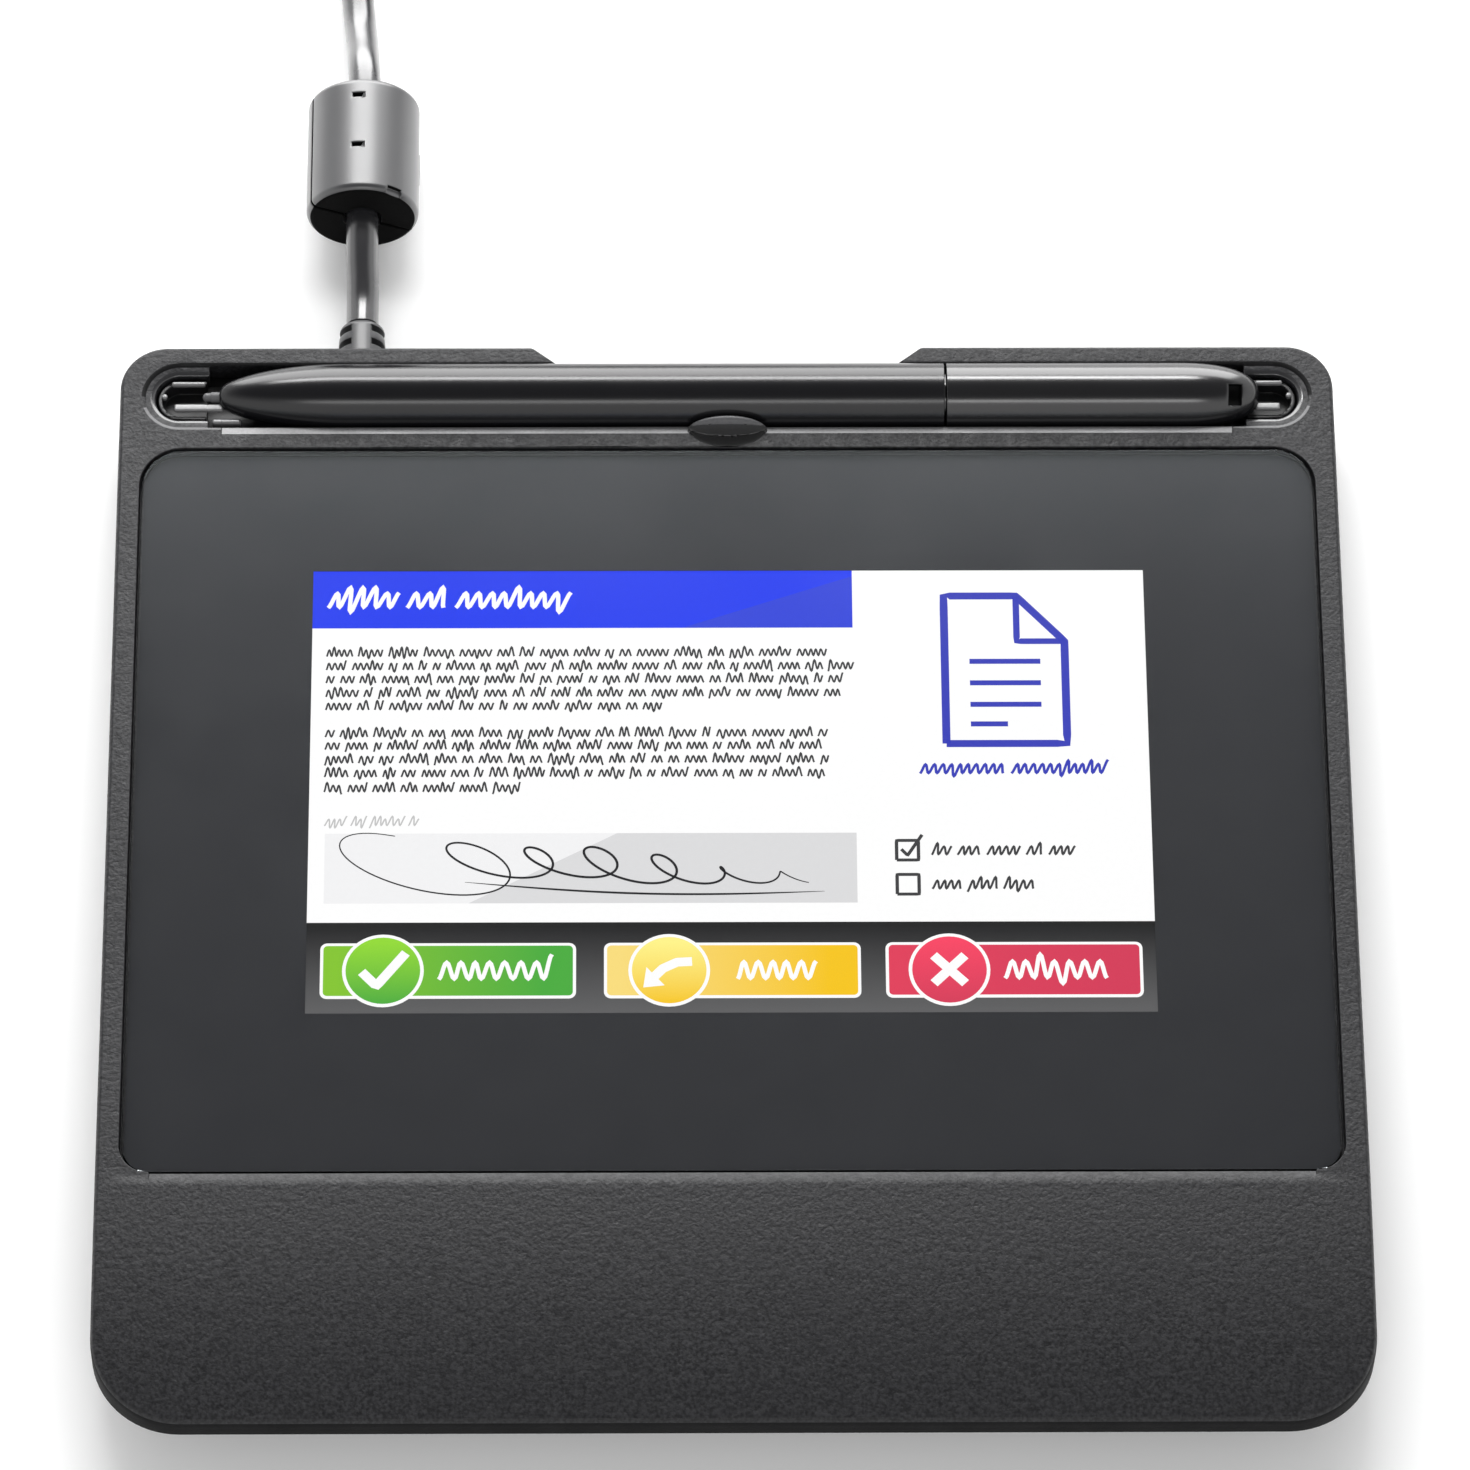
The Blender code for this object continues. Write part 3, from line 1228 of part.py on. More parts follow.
def make_inner_lead():
    """The stripped lead from the strain relief to its socket on the main board."""
    start_y = REAR_FACE_Y - SIDE_WALL - RELIEF_FLANGE_THICKNESS - 2 * FIT
    shield_front = DISPLAY_MIDDLE_Y - SENSOR_DEPTH / 2
    end_y = BOARD_REAR_Y + FIT
    gap = shield_front - end_y
    high = BOARD_TOP + FIT + LEAD_SOCKET_SIZE[2] / 2
    heights = (
        (start_y, LEAD_EXIT_HEIGHT),
        (start_y - 2 * INNER_LEAD_DIAMETER, LEAD_EXIT_HEIGHT),
        (TRAY_MIDDLE_Y - CHANNEL_RADIUS, INNER_LEAD_LOW),
        (DISPLAY_MIDDLE_Y, INNER_LEAD_LOW),
        (shield_front, INNER_LEAD_LOW),
        (shield_front - gap / 4, INNER_LEAD_LOW + (high - INNER_LEAD_LOW) / 4),
        (shield_front - gap / 2, INNER_LEAD_LOW + (high - INNER_LEAD_LOW) * 3 / 4),
        (end_y + 2 * INNER_LEAD_DIAMETER, high),
        (end_y, high),
    )
    points = [(LEAD_EXIT_X, y, z) for y, z in heights]
    tube("inner_lead", points, INNER_LEAD_DIAMETER, 2, lead_jacket())


def half_keeper(name, upper, finish):
    """The box that keeps one half of a shape round the ferrite's axis."""
    reach = 2 * FERRITE_RADIUS
    size = (2 * reach, FERRITE_LENGTH + reach, reach)
    sign = 1 if upper else -1
    return block(name, size, (0, 0, sign * (reach + FERRITE_SPLIT) / 2), finish)


def lie_on_lead(piece):
    """Turns a piece of the ferrite to its roll and puts it round the lead."""
    piece.parent = bpy.data.objects["ferrite_place"]
    return piece


def local_rod(name, radius, half_length, finish, sides=ROUND_SIDES):
    return along_y(rod(name, radius, -half_length, half_length, finish, sides), 0, 0)


def make_ferrite():
    """The snap-on ferrite: two hinged case halves, each with half of the core."""
    place = bpy.data.objects.new("ferrite_place", None)
    place.location = (FERRITE_X, FERRITE_MIDDLE_Y, FERRITE_HEIGHT)
    place.rotation_euler.y = FERRITE_ROLL
    bpy.context.scene.collection.objects.link(place)
    half = FERRITE_LENGTH / 2
    flat = FERRITE_RADIUS - FERRITE_EDGE
    case_profile = (
        (0, -half),
        (flat, -half),
        (FERRITE_RADIUS, FERRITE_EDGE - half),
        (FERRITE_RADIUS, half - FERRITE_EDGE),
        (flat, half),
        (0, half),
    )
    core_radius = FERRITE_RADIUS - FERRITE_WALL - FIT
    core_half = half - FERRITE_WALL - FIT
    for name, upper in (("lid", True), ("base", False)):
        finish = ferrite_case_grey()
        case = lie_on_lead(along_y(turned(f"ferrite_{name}", case_profile, finish), 0, 0))
        core = lie_on_lead(local_rod(f"ferrite_core_{name}", core_radius, core_half, ferrite_black()))
        pocket = lie_on_lead(local_rod(f"core_pocket_{name}", core_radius + FIT, core_half + FIT, finish))
        bore = lie_on_lead(local_rod(f"lead_bore_{name}", FERRITE_BORE, half + OVERRUN, finish, SMALL_SIDES))
        for piece in (case, core):
            keeper = lie_on_lead(half_keeper(f"{piece.name}_half", upper, finish))
            combine(piece, keeper, "INTERSECT")
        cut(case, pocket, bore)
        cut(core, bore)
        if upper:
            add_lid_details(case, finish)


def add_lid_details(case, finish):
    """The latch that hooks over the base, and the windows over the core's clips."""
    hook_x = FERRITE_RADIUS + FIT + LATCH_THICKNESS / 2
    hook_size = (LATCH_THICKNESS, LATCH_LENGTH, 2 * LATCH_REACH)
    hook = block("latch_hook", hook_size, (hook_x, 0, 0), finish)
    root_start = flat_edge(LATCH_REACH)
    root_high = LATCH_REACH - FIT
    root_size = (hook_x - root_start, LATCH_LENGTH - 2 * FIT, root_high - FERRITE_SPLIT)
    root_place = ((hook_x + root_start) / 2, 0, (root_high + FERRITE_SPLIT) / 2)
    root = block("latch_root", root_size, root_place, finish)
    for piece in (hook, root):
        join(case, lie_on_lead(piece))
    for index, y in enumerate(FERRITE_WINDOW_PLACES):
        size = (FERRITE_WINDOW_LENGTH, FERRITE_WINDOW_WIDTH, 3 * FERRITE_WALL)
        x = FERRITE_RADIUS * math.sin(FERRITE_WINDOW_TURN)
        z = FERRITE_RADIUS * math.cos(FERRITE_WINDOW_TURN)
        window = block(f"clip_window_{index}", size, (x, y, z), finish)
        window.rotation_euler.y = FERRITE_WINDOW_TURN
        cut(case, lie_on_lead(window))


def flat_edge(height):
    """How far from the axis the case's wall is, a wall's thickness in, at a height."""
    inner = FERRITE_RADIUS - FERRITE_WALL / 2
    return math.sqrt(inner * inner - height * height)


def coil_place(turns):
    """A point on the coil's middle line, after so many turns from where the lead comes in."""
    if turns < COIL_LAYER_TURNS:
        radius = COIL_OUTER_RADIUS - COIL_PITCH * turns
    else:
        radius = COIL_INNER_RADIUS + COIL_PITCH * (turns - COIL_LAYER_TURNS)
    climbed = (turns - COIL_LAYER_TURNS) / COIL_CLIMB_TURNS + 0.5
    height = COIL_LOW + (COIL_HIGH - COIL_LOW) * min(max(climbed, 0.0), 1.0)
    if turns > COIL_TURNS:
        share = (turns - COIL_TURNS) / COIL_TAIL_TURNS
        radius += COIL_TAIL_OUT * smooth_step(share)
        late = (share - COIL_TAIL_LATE_SHARE) / (1 - COIL_TAIL_LATE_SHARE)
        height += (PLUG_HEIGHT - COIL_HIGH) * smooth_step(late)
    turn = math.pi - 2 * math.pi * turns
    x = COIL_MIDDLE_X + radius * math.cos(turn)
    return Vector((x, COIL_MIDDLE_Y + radius * math.sin(turn), height))


def coil_points():
    count = round((COIL_TURNS + COIL_TAIL_TURNS) * COIL_POINTS_PER_TURN)
    points = [coil_place(i / COIL_POINTS_PER_TURN) for i in range(count + 1)]
    entry = points[0] - Vector((0, LEAD_DIAMETER, 0))
    leaving = points[-1] + Vector((LEAD_DIAMETER, 0, 0))
    return [entry, *points, leaving]


def least_gap(points):
    """The least distance between the coil's surfaces, at points half a turn or more apart."""
    apart = COIL_POINTS_PER_TURN // 2
    least = min(
        (points[i] - points[j]).length for i in range(len(points)) for j in range(i + apart, len(points))
    )
    return least - LEAD_DIAMETER


def make_lead():
    finish = lead_jacket()
    placed = [(x, REAR_FACE_Y + behind, z) for x, behind, z in LEAD_ROUTE]
    route = smooth_curve(placed, LEAD_STEP_DIAMETERS * LEAD_DIAMETER)
    tube("usb_lead", route, LEAD_DIAMETER, 2, finish)
    points = coil_points()
    tube("usb_lead_coil", points, LEAD_DIAMETER, 1, finish)
    gap = least_gap(points)
    print(f"coil: least gap to itself {gap * 1000:.2f} mm, wanted over {COIL_LEAST_GAP * 1000:.2f} mm")
    total = sum((b - a).length for line in (route, points) for a, b in zip(line, line[1:]))
    print(f"lead: {total:.3f} m long")


def make_lead_tie():
    """The strap round all turns of the coil, on its right side."""
    grow = LEAD_DIAMETER / 2 + FIT
    inner = math.sqrt((COIL_INNER_RADIUS - grow) ** 2 - (TIE_WIDTH / 2) ** 2)
    outer = COIL_OUTER_RADIUS - COIL_PITCH / 2 + grow + FIT
    low = COIL_LOW - grow
    high = COIL_HIGH + grow
    middle_x = COIL_MIDDLE_X + (inner + outer) / 2
    middle = (middle_x, COIL_MIDDLE_Y, (low + high) / 2)
    size = (outer - inner, TIE_WIDTH, high - low)
    thick = 2 * TIE_THICKNESS
    edge = TIE_THICKNESS * 4
    outer_size = (size[0] + thick, TIE_WIDTH, size[2] + thick)
    tie = ring_strap("lead_tie", outer_size, edge, middle, rubber_black())
    hollow_size = (size[0], TIE_WIDTH + 2 * OVERRUN, size[2])
    cut(tie, ring_strap("tie_hollow", hollow_size, edge - TIE_THICKNESS, middle, rubber_black()))


def ring_strap(name, size, corner, place, finish):
    """A block whose four long edges, along Y, are rounded."""
    width, depth, height = size
    outline = half_outline(width / 2, -height / 2, height / 2, corner, corner)
    strap = prism(name, outline, -depth / 2, depth / 2, finish)
    strap.rotation_euler.x = math.pi / 2
    strap.location = place
    return strap


def make_plug():
    """The USB plug beside the coil, pointing along +X."""
    lead_end = coil_points()[-1]
    y = lead_end.y
    start = lead_end.x + FIT
    relief_end = start + PLUG_RELIEF_LENGTH
    profile = (
        (0, start),
        (PLUG_RELIEF_END_RADIUS, start),
        (PLUG_RELIEF_RADIUS, relief_end),
        (0, relief_end),
    )
    along_x(turned("usb_plug_relief", profile, lead_jacket(), SMALL_SIDES), y, PLUG_HEIGHT)
    grip_start = relief_end + FIT
    grip_end = grip_start + PLUG_GRIP_LENGTH
    grip_size = (PLUG_GRIP_LENGTH, PLUG_GRIP_WIDTH, PLUG_GRIP_THICKNESS)
    grip_place = ((grip_start + grip_end) / 2, y, PLUG_HEIGHT)
    block("usb_plug_grip", grip_size, grip_place, lead_jacket(), PLUG_GRIP_EDGE)
    shell_start = grip_end + FIT
    shell_end = shell_start + PLUG_SHELL_LENGTH
    shell_size = (PLUG_SHELL_LENGTH, PLUG_SHELL_WIDTH, PLUG_SHELL_THICKNESS)
    shell_place = ((shell_start + shell_end) / 2, y, PLUG_HEIGHT)
    shell = block("usb_plug_shell", shell_size, shell_place, steel_sheet(), PLUG_SHELL_WALL / 2)
    bore_size = (
        PLUG_SHELL_LENGTH + OVERRUN,
        PLUG_SHELL_WIDTH - 2 * PLUG_SHELL_WALL,
        PLUG_SHELL_THICKNESS - 2 * PLUG_SHELL_WALL,
    )
    bore_x = shell_start + PLUG_SHELL_WALL + bore_size[0] / 2
    cut(shell, block("shell_bore", bore_size, (bore_x, y, PLUG_HEIGHT), steel_sheet()))
    tongue_length = PLUG_SHELL_LENGTH - PLUG_SHELL_WALL - 2 * FIT
    tongue_size = (tongue_length, bore_size[1] - 2 * FIT, PLUG_TONGUE_THICKNESS)
    tongue_x = shell_start + PLUG_SHELL_WALL + FIT + tongue_length / 2
    tongue_z = PLUG_HEIGHT + bore_size[2] / 2 - FIT - PLUG_TONGUE_THICKNESS / 2
    block("usb_plug_tongue", tongue_size, (tongue_x, y, tongue_z), socket_ivory())


def build():
    clear_scene()
    make_top_housing()
    make_bottom_housing()
    make_glass_and_seal()
    make_display()
    make_sensor()
    make_pen_tray()
    make_tether_anchor("tether_anchor_left", -1, RAIL_LEFT_REACH)
    make_tether_anchor("tether_anchor_right", 1, RAIL_RIGHT_REACH)
    make_pen_barrel()
    make_pen_cap()
    make_pen_inside()
    make_feet()
    make_screws()
    make_main_board()
    make_flexes()
    make_strain_relief()
    make_inner_lead()
    make_ferrite()
    make_lead()
    make_lead_tie()
    make_plug()


build()
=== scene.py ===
"""The looks of a signature pad, with its pen and its USB lead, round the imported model.

Metres, +Z up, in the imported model's frame: X runs to the user's right and Y away from the
user, and the pad stands on z = 0.
"""

import math
import random

import bmesh
import bpy
from mathutils import Matrix, Vector


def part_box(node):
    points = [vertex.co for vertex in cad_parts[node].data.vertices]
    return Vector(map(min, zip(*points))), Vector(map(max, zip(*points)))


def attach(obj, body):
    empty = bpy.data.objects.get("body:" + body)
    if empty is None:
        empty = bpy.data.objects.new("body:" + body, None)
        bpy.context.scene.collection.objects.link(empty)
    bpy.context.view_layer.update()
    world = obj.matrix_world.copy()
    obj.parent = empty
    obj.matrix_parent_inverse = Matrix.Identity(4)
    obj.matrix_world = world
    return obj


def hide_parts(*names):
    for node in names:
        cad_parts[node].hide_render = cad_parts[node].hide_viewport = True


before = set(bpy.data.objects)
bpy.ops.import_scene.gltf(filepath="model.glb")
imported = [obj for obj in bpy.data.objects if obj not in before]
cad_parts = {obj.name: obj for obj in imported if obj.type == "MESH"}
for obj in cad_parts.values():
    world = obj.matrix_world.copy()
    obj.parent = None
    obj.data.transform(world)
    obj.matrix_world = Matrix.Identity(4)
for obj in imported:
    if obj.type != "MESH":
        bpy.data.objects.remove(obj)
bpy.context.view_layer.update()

# Fits and counts
FIT = 0.0003
OVERRUN = 0.001
CORNER_STEPS = 18
EDGE_STEPS = 6
ROUND_SIDES = 96
SMALL_SIDES = 48
LEAST_EDGE = 0.000004
SOFT_EDGE = 0.00012

# Casing, as in the part's source
BODY_WIDTH = 0.160
BODY_DEPTH = 0.155
TOP_PLANE = 0.0117
SEAM_HEIGHT = 0.0050
EDGE_HEIGHT = 0.0077
FOOT_STAND = 0.0008
REAR_CORNER = 0.0062
FRONT_CORNER = 0.0112
EDGE_ROUND = 0.0010
FRONT_EDGE_DROP = 0.0014
SIDE_UNDERCUT = 0.0024
SIDE_WALL = 0.0018
TOP_WALL = 0.0020
FLOOR_WALL = 0.0016
BASE_UNDERCUT = 0.0056
BASE_REAR_UNDERCUT = 0.0010
BASE_CHAMFER = 0.0008
REAR_FACE_Y = BODY_DEPTH / 2
FRONT_FACE_Y = -BODY_DEPTH / 2
TRAY_MIDDLE_Y = 0.0698
PALM_RISE = 0.00045
PALM_DROP = 0.00275
PALM_CURVE_POWER = 2.6
PALM_RAMP = 0.030
PALM_STATIONS = 11
PALM_BEVEL = 0.0012

# Casing, in the scene alone. The points of the channel's edge are y and the depth below the deck
VISUAL_EDGE_HEIGHT = 0.0060
TOP_EDGE_ROUND = 0.0006
LIGHT_EDGE_HALF_LENGTH = 0.0665
CHANNEL_EDGE = ((0.0632, 0.0), (0.0640, 0.00005), (0.0647, 0.00011), (0.0653, 0.00020))
# Where the casing's finishes change: limits of a face's normal, of its depth below the deck, and
# of its place in the dish's scoop, whose surface is at 1
FACING_UP = 0.5
UPRIGHT = 0.3
FLUSH = FIT / 10
SUNK = FIT / 30
DISH_SHARE = 1.05
# Zones of the casing: its grain, the dish's painted shade and highlight, painted shade, painted
# highlight, a glossier rim and the bevel's painted highlight
GRAINED, PAINTED_DISH, PAINTED_SHADE, PAINTED_HIGHLIGHT, RIM, BEVEL = range(6)
CASING_FINISHES = ("dish_black", "casing_black", "casing_edge", "casing_rim", "channel_edge")

# Cover glass and display
GLASS_WIDTH = 0.15354
GLASS_DEPTH = 0.1054
GLASS_MIDDLE_Y = 0.0088
GLASS_REAR_CORNER = 0.0053
GLASS_FRONT_CORNER = 0.0036
GLASS_TOP = 0.0116
GLASS_UNDERSIDE = 0.0105
PANE_SHADE_EDGE_NORMAL = 0.97
DECK_TOP = 0.0096
DECK_UNDERSIDE = 0.0085
DISPLAY_MIDDLE_Y = 0.0106
FRAME_WIDTH = 0.12178
FRAME_DEPTH = 0.0766
FRAME_CORNER = 0.0008
PALM_REAR_Y = GLASS_MIDDLE_Y - GLASS_DEPTH / 2 - FIT

# Pen tray, finger dish and tether anchors. The ledge's points are a radius and a depth
TRAY_HALF_LENGTH = 0.0720
WELL_RADIUS = 0.00333
WELL_SLOPE_DEPTH = 0.00084
WELL_LEDGE = ((0.00342, 0.00055), (0.00395, 0.00028), (0.00460, 0.00026), (0.00474, 0.00013))
WELL_EDGE_RADIUS = 0.00516
CHANNEL_HALF_LENGTH = 0.0683
CHANNEL_RADIUS = 0.00475
TROUGH_WALL = 0.0009
TROUGH_FLANGE = 0.0050
TROUGH_END_WALL = 0.0006
NOTCH_HALF_WIDTH = 0.0223
NOTCH_REAR_HALF_WIDTH = 0.0261
NOTCH_FLOOR = 0.0064
NOTCH_SILL = 0.0008
DISH_LIP_SIZE = (0.0052, 0.00092, 0.0026)
DISH_LIP_Y = 0.06435
DISH_LEAN = math.radians(-15)
DISH_SCOOP_SIZE = (0.00505, 0.0026, 0.00145)
DISH_SCOOP_Y = 0.06445
DISH_SCOOP_RISE = 0.0004
DISH_WALL_Y = 0.06455
ANCHOR_FLOOR = 0.0013
ANCHOR_WALL = 0.0006
ANCHOR_DEPTH = 0.0036
RAIL_WIDTHS = (0.00100, 0.00058)
RAIL_PLACES = (-0.00150, 0.00216)
RAIL_TOP_SINK = 0.0003
RAIL_HEIGHT = 0.0007
LEFT_RAILS = ((-0.0728, -0.0664), (-0.0732, -0.0688))
RIGHT_RAILS = ((0.0697, 0.0729), (0.0698, 0.0733))
END_PIN_RADIUS = 0.0004
END_PIN_REACH = 0.0022
END_PIN_REAR = 0.0007
LEDGE_START = -0.0678
LEDGE_END = -0.0640
LEDGE_FRONT = 0.0660
LEDGE_DEPTH = 0.0008
LEDGE_TOP = 0.0110
LEDGE_HEIGHT = 0.0012

# Pen
PEN_RADIUS = 0.004375
PEN_HEIGHT = 0.0114
PEN_NIB_TIP = -0.0691
PEN_NOSE = -0.0669
PEN_FULL = -0.0500
PEN_BUTT = 0.0702
PEN_DOME = 0.0593
PEN_SEAM = 0.0287
PEN_NOSE_RADIUS = 0.00105
NOSE_STEPS = 30
NOSE_TAPER_POWER = 0.65
DOME_POWER = 2.4
DOME_STEPS = 24
PEN_WALL = 0.0011
CAP_END_WALL = 0.0013
SPIGOT_LENGTH = 0.0090
TETHER_SLOT_X = 0.0668
TETHER_SLOT_LENGTH = 0.0018
TETHER_SLOT_WIDTH = 0.0028
TETHER_SLOT_TURN = math.radians(29)
NIB_RADIUS = 0.00075
NIB_TIP_RADIUS = 0.00056
NIB_COLLAR_RADIUS = 0.00068
NIB_STEP = -0.0680
NIB_END = -0.0399
CORE_START = -0.0520

# Feet and screws
FOOT_LENGTH = 0.022
FOOT_WIDTH = 0.008
FOOT_THICKNESS = 0.0013
CORNERS = ("front_left", "front_right", "rear_left", "rear_right")
FOOT_PLACES = ((-0.050, -0.061), (0.050, -0.061), (-0.050, 0.064), (0.050, 0.064))
SCREW_PLACES = ((-0.068, -0.060), (0.068, -0.060), (-0.068, 0.050), (0.068, 0.050))
SCREW_HEAD_RADIUS = 0.0024
SCREW_HEAD_HEIGHT = 0.0011
SCREW_RADIUS = 0.00115
SCREW_LENGTH = 0.0052
SCREW_DRIVE_RADIUS = 0.0011
BOSS_RADIUS = 0.0032
POST_RADIUS = 0.0038
BASE_TOP = SEAM_HEIGHT - FIT
FLOOR_TOP = FOOT_STAND + FLOOR_WALL

# Lead, strain relief and ferrite
LEAD_DIAMETER = 0.0043
LEAD_ROUND_STEPS = 9
LEAD_EXIT_X = -0.0485
LEAD_EXIT_HEIGHT = 0.0042
RELIEF_RADIUS = 0.0033
RELIEF_END_RADIUS = 0.0030
RELIEF_END_ROUND = 0.0009
RELIEF_LENGTH = 0.0070
RELIEF_NECK_RADIUS = 0.0023
RELIEF_FLANGE_RADIUS = 0.00275
RELIEF_FLANGE_THICKNESS = 0.0009
RELIEF_ROOM = 0.0045
RELIEF_SLOT_PLACES = (0.0035, 0.0056)
RELIEF_SLOT_LENGTH = 0.0009
RELIEF_SPINE = 0.0026
FERRITE_X = -0.0486
FERRITE_MIDDLE_Y = 0.1090
FERRITE_LENGTH = 0.0178
FERRITE_RADIUS = 0.0075
FERRITE_HEIGHT = 0.00755
FERRITE_ROLL = math.radians(25)
FERRITE_WALL = 0.0011
FERRITE_EDGE = 0.0010
FERRITE_BORE = 0.0026
FERRITE_SPLIT = 0.0003
FERRITE_PARTING_NORMAL = 0.9
FERRITE_END_NORMAL = -0.8
FERRITE_WINDOW_LENGTH = 0.0016
FERRITE_WINDOW_WIDTH = 0.0006
FERRITE_WINDOW_TURN = math.radians(-29)
FERRITE_WINDOW_PLACES = (-0.0018, 0.0061)
FERRITE_CATCH_SIZE = (0.0022, 0.0022, 0.0012)
FERRITE_CATCH_TURN = math.radians(12)
LATCH_LENGTH = 0.0050
LATCH_THICKNESS = 0.0006
LATCH_REACH = 0.0016

# The lead's route from the strain relief to the coil: x, distance behind the casing, height
LEAD_ROUTE = (
    (-0.0485, 0.0077, 0.0042),
    (-0.0485, 0.0115, 0.0043),
    (-0.0485, 0.0140, 0.0050),
    (-0.0486, 0.0165, 0.0061),
    (-0.0486, 0.0188, 0.0070),
    (-0.0486, 0.0210, 0.0075),
    (-0.0486, 0.0235, 0.00755),
    (-0.0486, 0.0285, 0.00755),
    (-0.0486, 0.0345, 0.00755),
    (-0.0486, 0.0400, 0.00755),
    (-0.0486, 0.0440, 0.0074),
    (-0.0488, 0.0475, 0.0066),
    (-0.0491, 0.0520, 0.0046),
    (-0.0495, 0.0565, 0.0029),
    (-0.0499, 0.0610, 0.0023),
    (-0.0503, 0.0665, 0.0022),
    (-0.0506, 0.0745, 0.0024),
    (-0.0509, 0.0845, 0.0029),
    (-0.0510, 0.0945, 0.00305),
    (-0.0510, 0.1039, 0.00305),
)
COIL_MIDDLE_X = -0.01656
COIL_MIDDLE_Y = 0.1860
COIL_OUTER_RADIUS = 0.03444
COIL_INNER_RADIUS = 0.01296
COIL_PITCH = 0.0048
COIL_LOW = 0.00305
COIL_HIGH = 0.00785
COIL_TURNS = 8.95
COIL_LAYER_TURNS = 4.475
COIL_TAIL_TURNS = 0.3
COIL_TAIL_OUT = 0.0070
COIL_TAIL_LATE_SHARE = 0.3
COIL_CLIMB_TURNS = 0.5
COIL_POINTS_PER_TURN = 40
TIE_THICKNESS = 0.0005

# USB plug
PLUG_HEIGHT = 0.0039
PLUG_GRIP_LENGTH = 0.030
PLUG_GRIP_WIDTH = 0.0150
PLUG_GRIP_THICKNESS = 0.0076
PLUG_GRIP_EDGE = 0.0012
PLUG_SHELL_LENGTH = 0.0140
PLUG_SHELL_WIDTH = 0.0120
PLUG_SHELL_THICKNESS = 0.0045
PLUG_SHELL_WALL = 0.00035
PLUG_BORE = (PLUG_SHELL_WIDTH - 2 * PLUG_SHELL_WALL, PLUG_SHELL_THICKNESS - 2 * PLUG_SHELL_WALL)
PLUG_TONGUE_THICKNESS = 0.0018
PLUG_RELIEF_LENGTH = 0.0085
PLUG_RELIEF_RADIUS = 0.0032
PLUG_RELIEF_END_RADIUS = 0.0025

# What the display shows, in millimetres: x, and y from the front
MM = 0.001
SCREEN_LOW = 0.01022
SCREEN_LAYER = 0.00005
SCREEN_SHEET = 0.00002
LIT_AREA = (-54.1, -21.08, 54.1, 43.82)
PAGE_BOTTOM = -7.95
SHADOW_BOTTOM = -8.75
BAR_RUN = (-9.0, -21.0)
# Words: start, end, foot, height, weight as a share of the height, slant and planned waves
TITLE_WORDS = (-52.1, 12.0, 38.35, 2.25, 0.25, 0.22, (11, 6, 17))
HINT_WORDS = (-52.1, -36.7, 6.1, 1.0, 0.20, 0.2)
MARK_WORDS = (24.5, 49.3, 13.6, 1.4, 0.26, 0.2, (20, 23))
PRINT_SEED = 7
PRINT_LEFT = -52.2
PRINT_HEIGHT = 1.0
PRINT_WEIGHT = 0.25
PRINT_ROWS = (
    (31.1, 16.2), (29.1, 16.2), (27.15, 16.2), (25.1, 16.2), (23.15, -8.6),
    (19.15, 16.0), (17.3, 16.0), (15.3, 16.0), (13.25, 16.0), (11.05, -25.7),
)
TITLE_BAND = ((-6.0, 35.3), (16.1, 43.0))
SIGN_BOX = (-52.0, -5.2, 16.2, 4.95)
SIGN_BOX_SPLIT = (-33.5, -14.5)
SCRAWL_STEPS = 400
SCRAWL_TURNS = 6.5
FLOURISH_STEPS = 60
# The sheet's sign: its outline, its fold, the foot and end of the lines on it, and their weights
SHEET = ((28.0, 18.0), (43.6, 18.0), (43.6, 33.2), (37.4, 40.0), (28.0, 40.0), (28.0, 18.0))
SHEET_FOLD = ((37.4, 40.0), (37.4, 33.2), (43.6, 33.2))
SHEET_LINES = ((30.2, 40.4), (27.0, 40.4), (23.8, 40.4), (20.9, 36.0))
SHEET_LINE_LEFT = 31.2
SHEET_WEIGHTS = (1.05, 0.85, 0.75)
# Choices: foot and the words' end. Then the box before them and the tick in it
CHOICES = ((0.95, 47.4), (-4.0, 42.3))
CHOICE_LEFT = 25.8
BOX_LEFT = 21.3
BOX_RIGHT = 24.1
BOX_HEIGHT = 2.85
BOX_WEIGHT = 0.45
TICK = ((21.9, 2.5), (22.7, 1.6), (24.6, 4.6))
# Buttons: ends, middle of the round sign, ends of the word and its waves
BUTTONS = {
    "green": (-52.3, -19.75, -44.3, -37.2, -20.5, 15),
    "yellow": (-16.2, 16.5, -7.9, 0.8, 14.0, 11),
    "red": (19.65, 52.4, 27.75, 34.8, 51.0, 14),
}
BUTTON_COLOURS = {
    "green": ((0.23, 0.56, 0.025), (0.065, 0.41, 0.045)),
    "yellow": ((0.95, 0.72, 0.20), (0.93, 0.56, 0.004)),
    "red": ((0.75, 0.045, 0.10), (0.66, 0.040, 0.095)),
}
# Lines from the middle of the round sign: a tick, an arrow's shaft and a cross
SIGNS = {
    "green": (((-2.7, -0.2), (-0.8, -2.2), (2.9, 2.5)),),
    "yellow": (((2.9, 1.2), (1.0, 1.1), (-0.8, 0.2), (-2.6, -1.7)),),
    "red": (((-2.0, -2.0), (2.0, 2.0)), ((-2.0, 2.0), (2.0, -2.0))),
}
ARROW_HEAD = ((-3.3, -2.5), (-0.6, -2.2), (-2.9, 0.4))
BUTTON_FRONT = -18.9
BUTTON_REAR = -10.95
BUTTON_MIDDLE = -14.95
BUTTON_CORNER = 0.9
BUTTON_RIM = 0.4
BUTTON_FACE_CORNER = 0.55
SIGN_RING = 5.2
SIGN_BALL = 4.75
SIGN_WEIGHT = 1.25
SIGN_LIGHT = 1.25
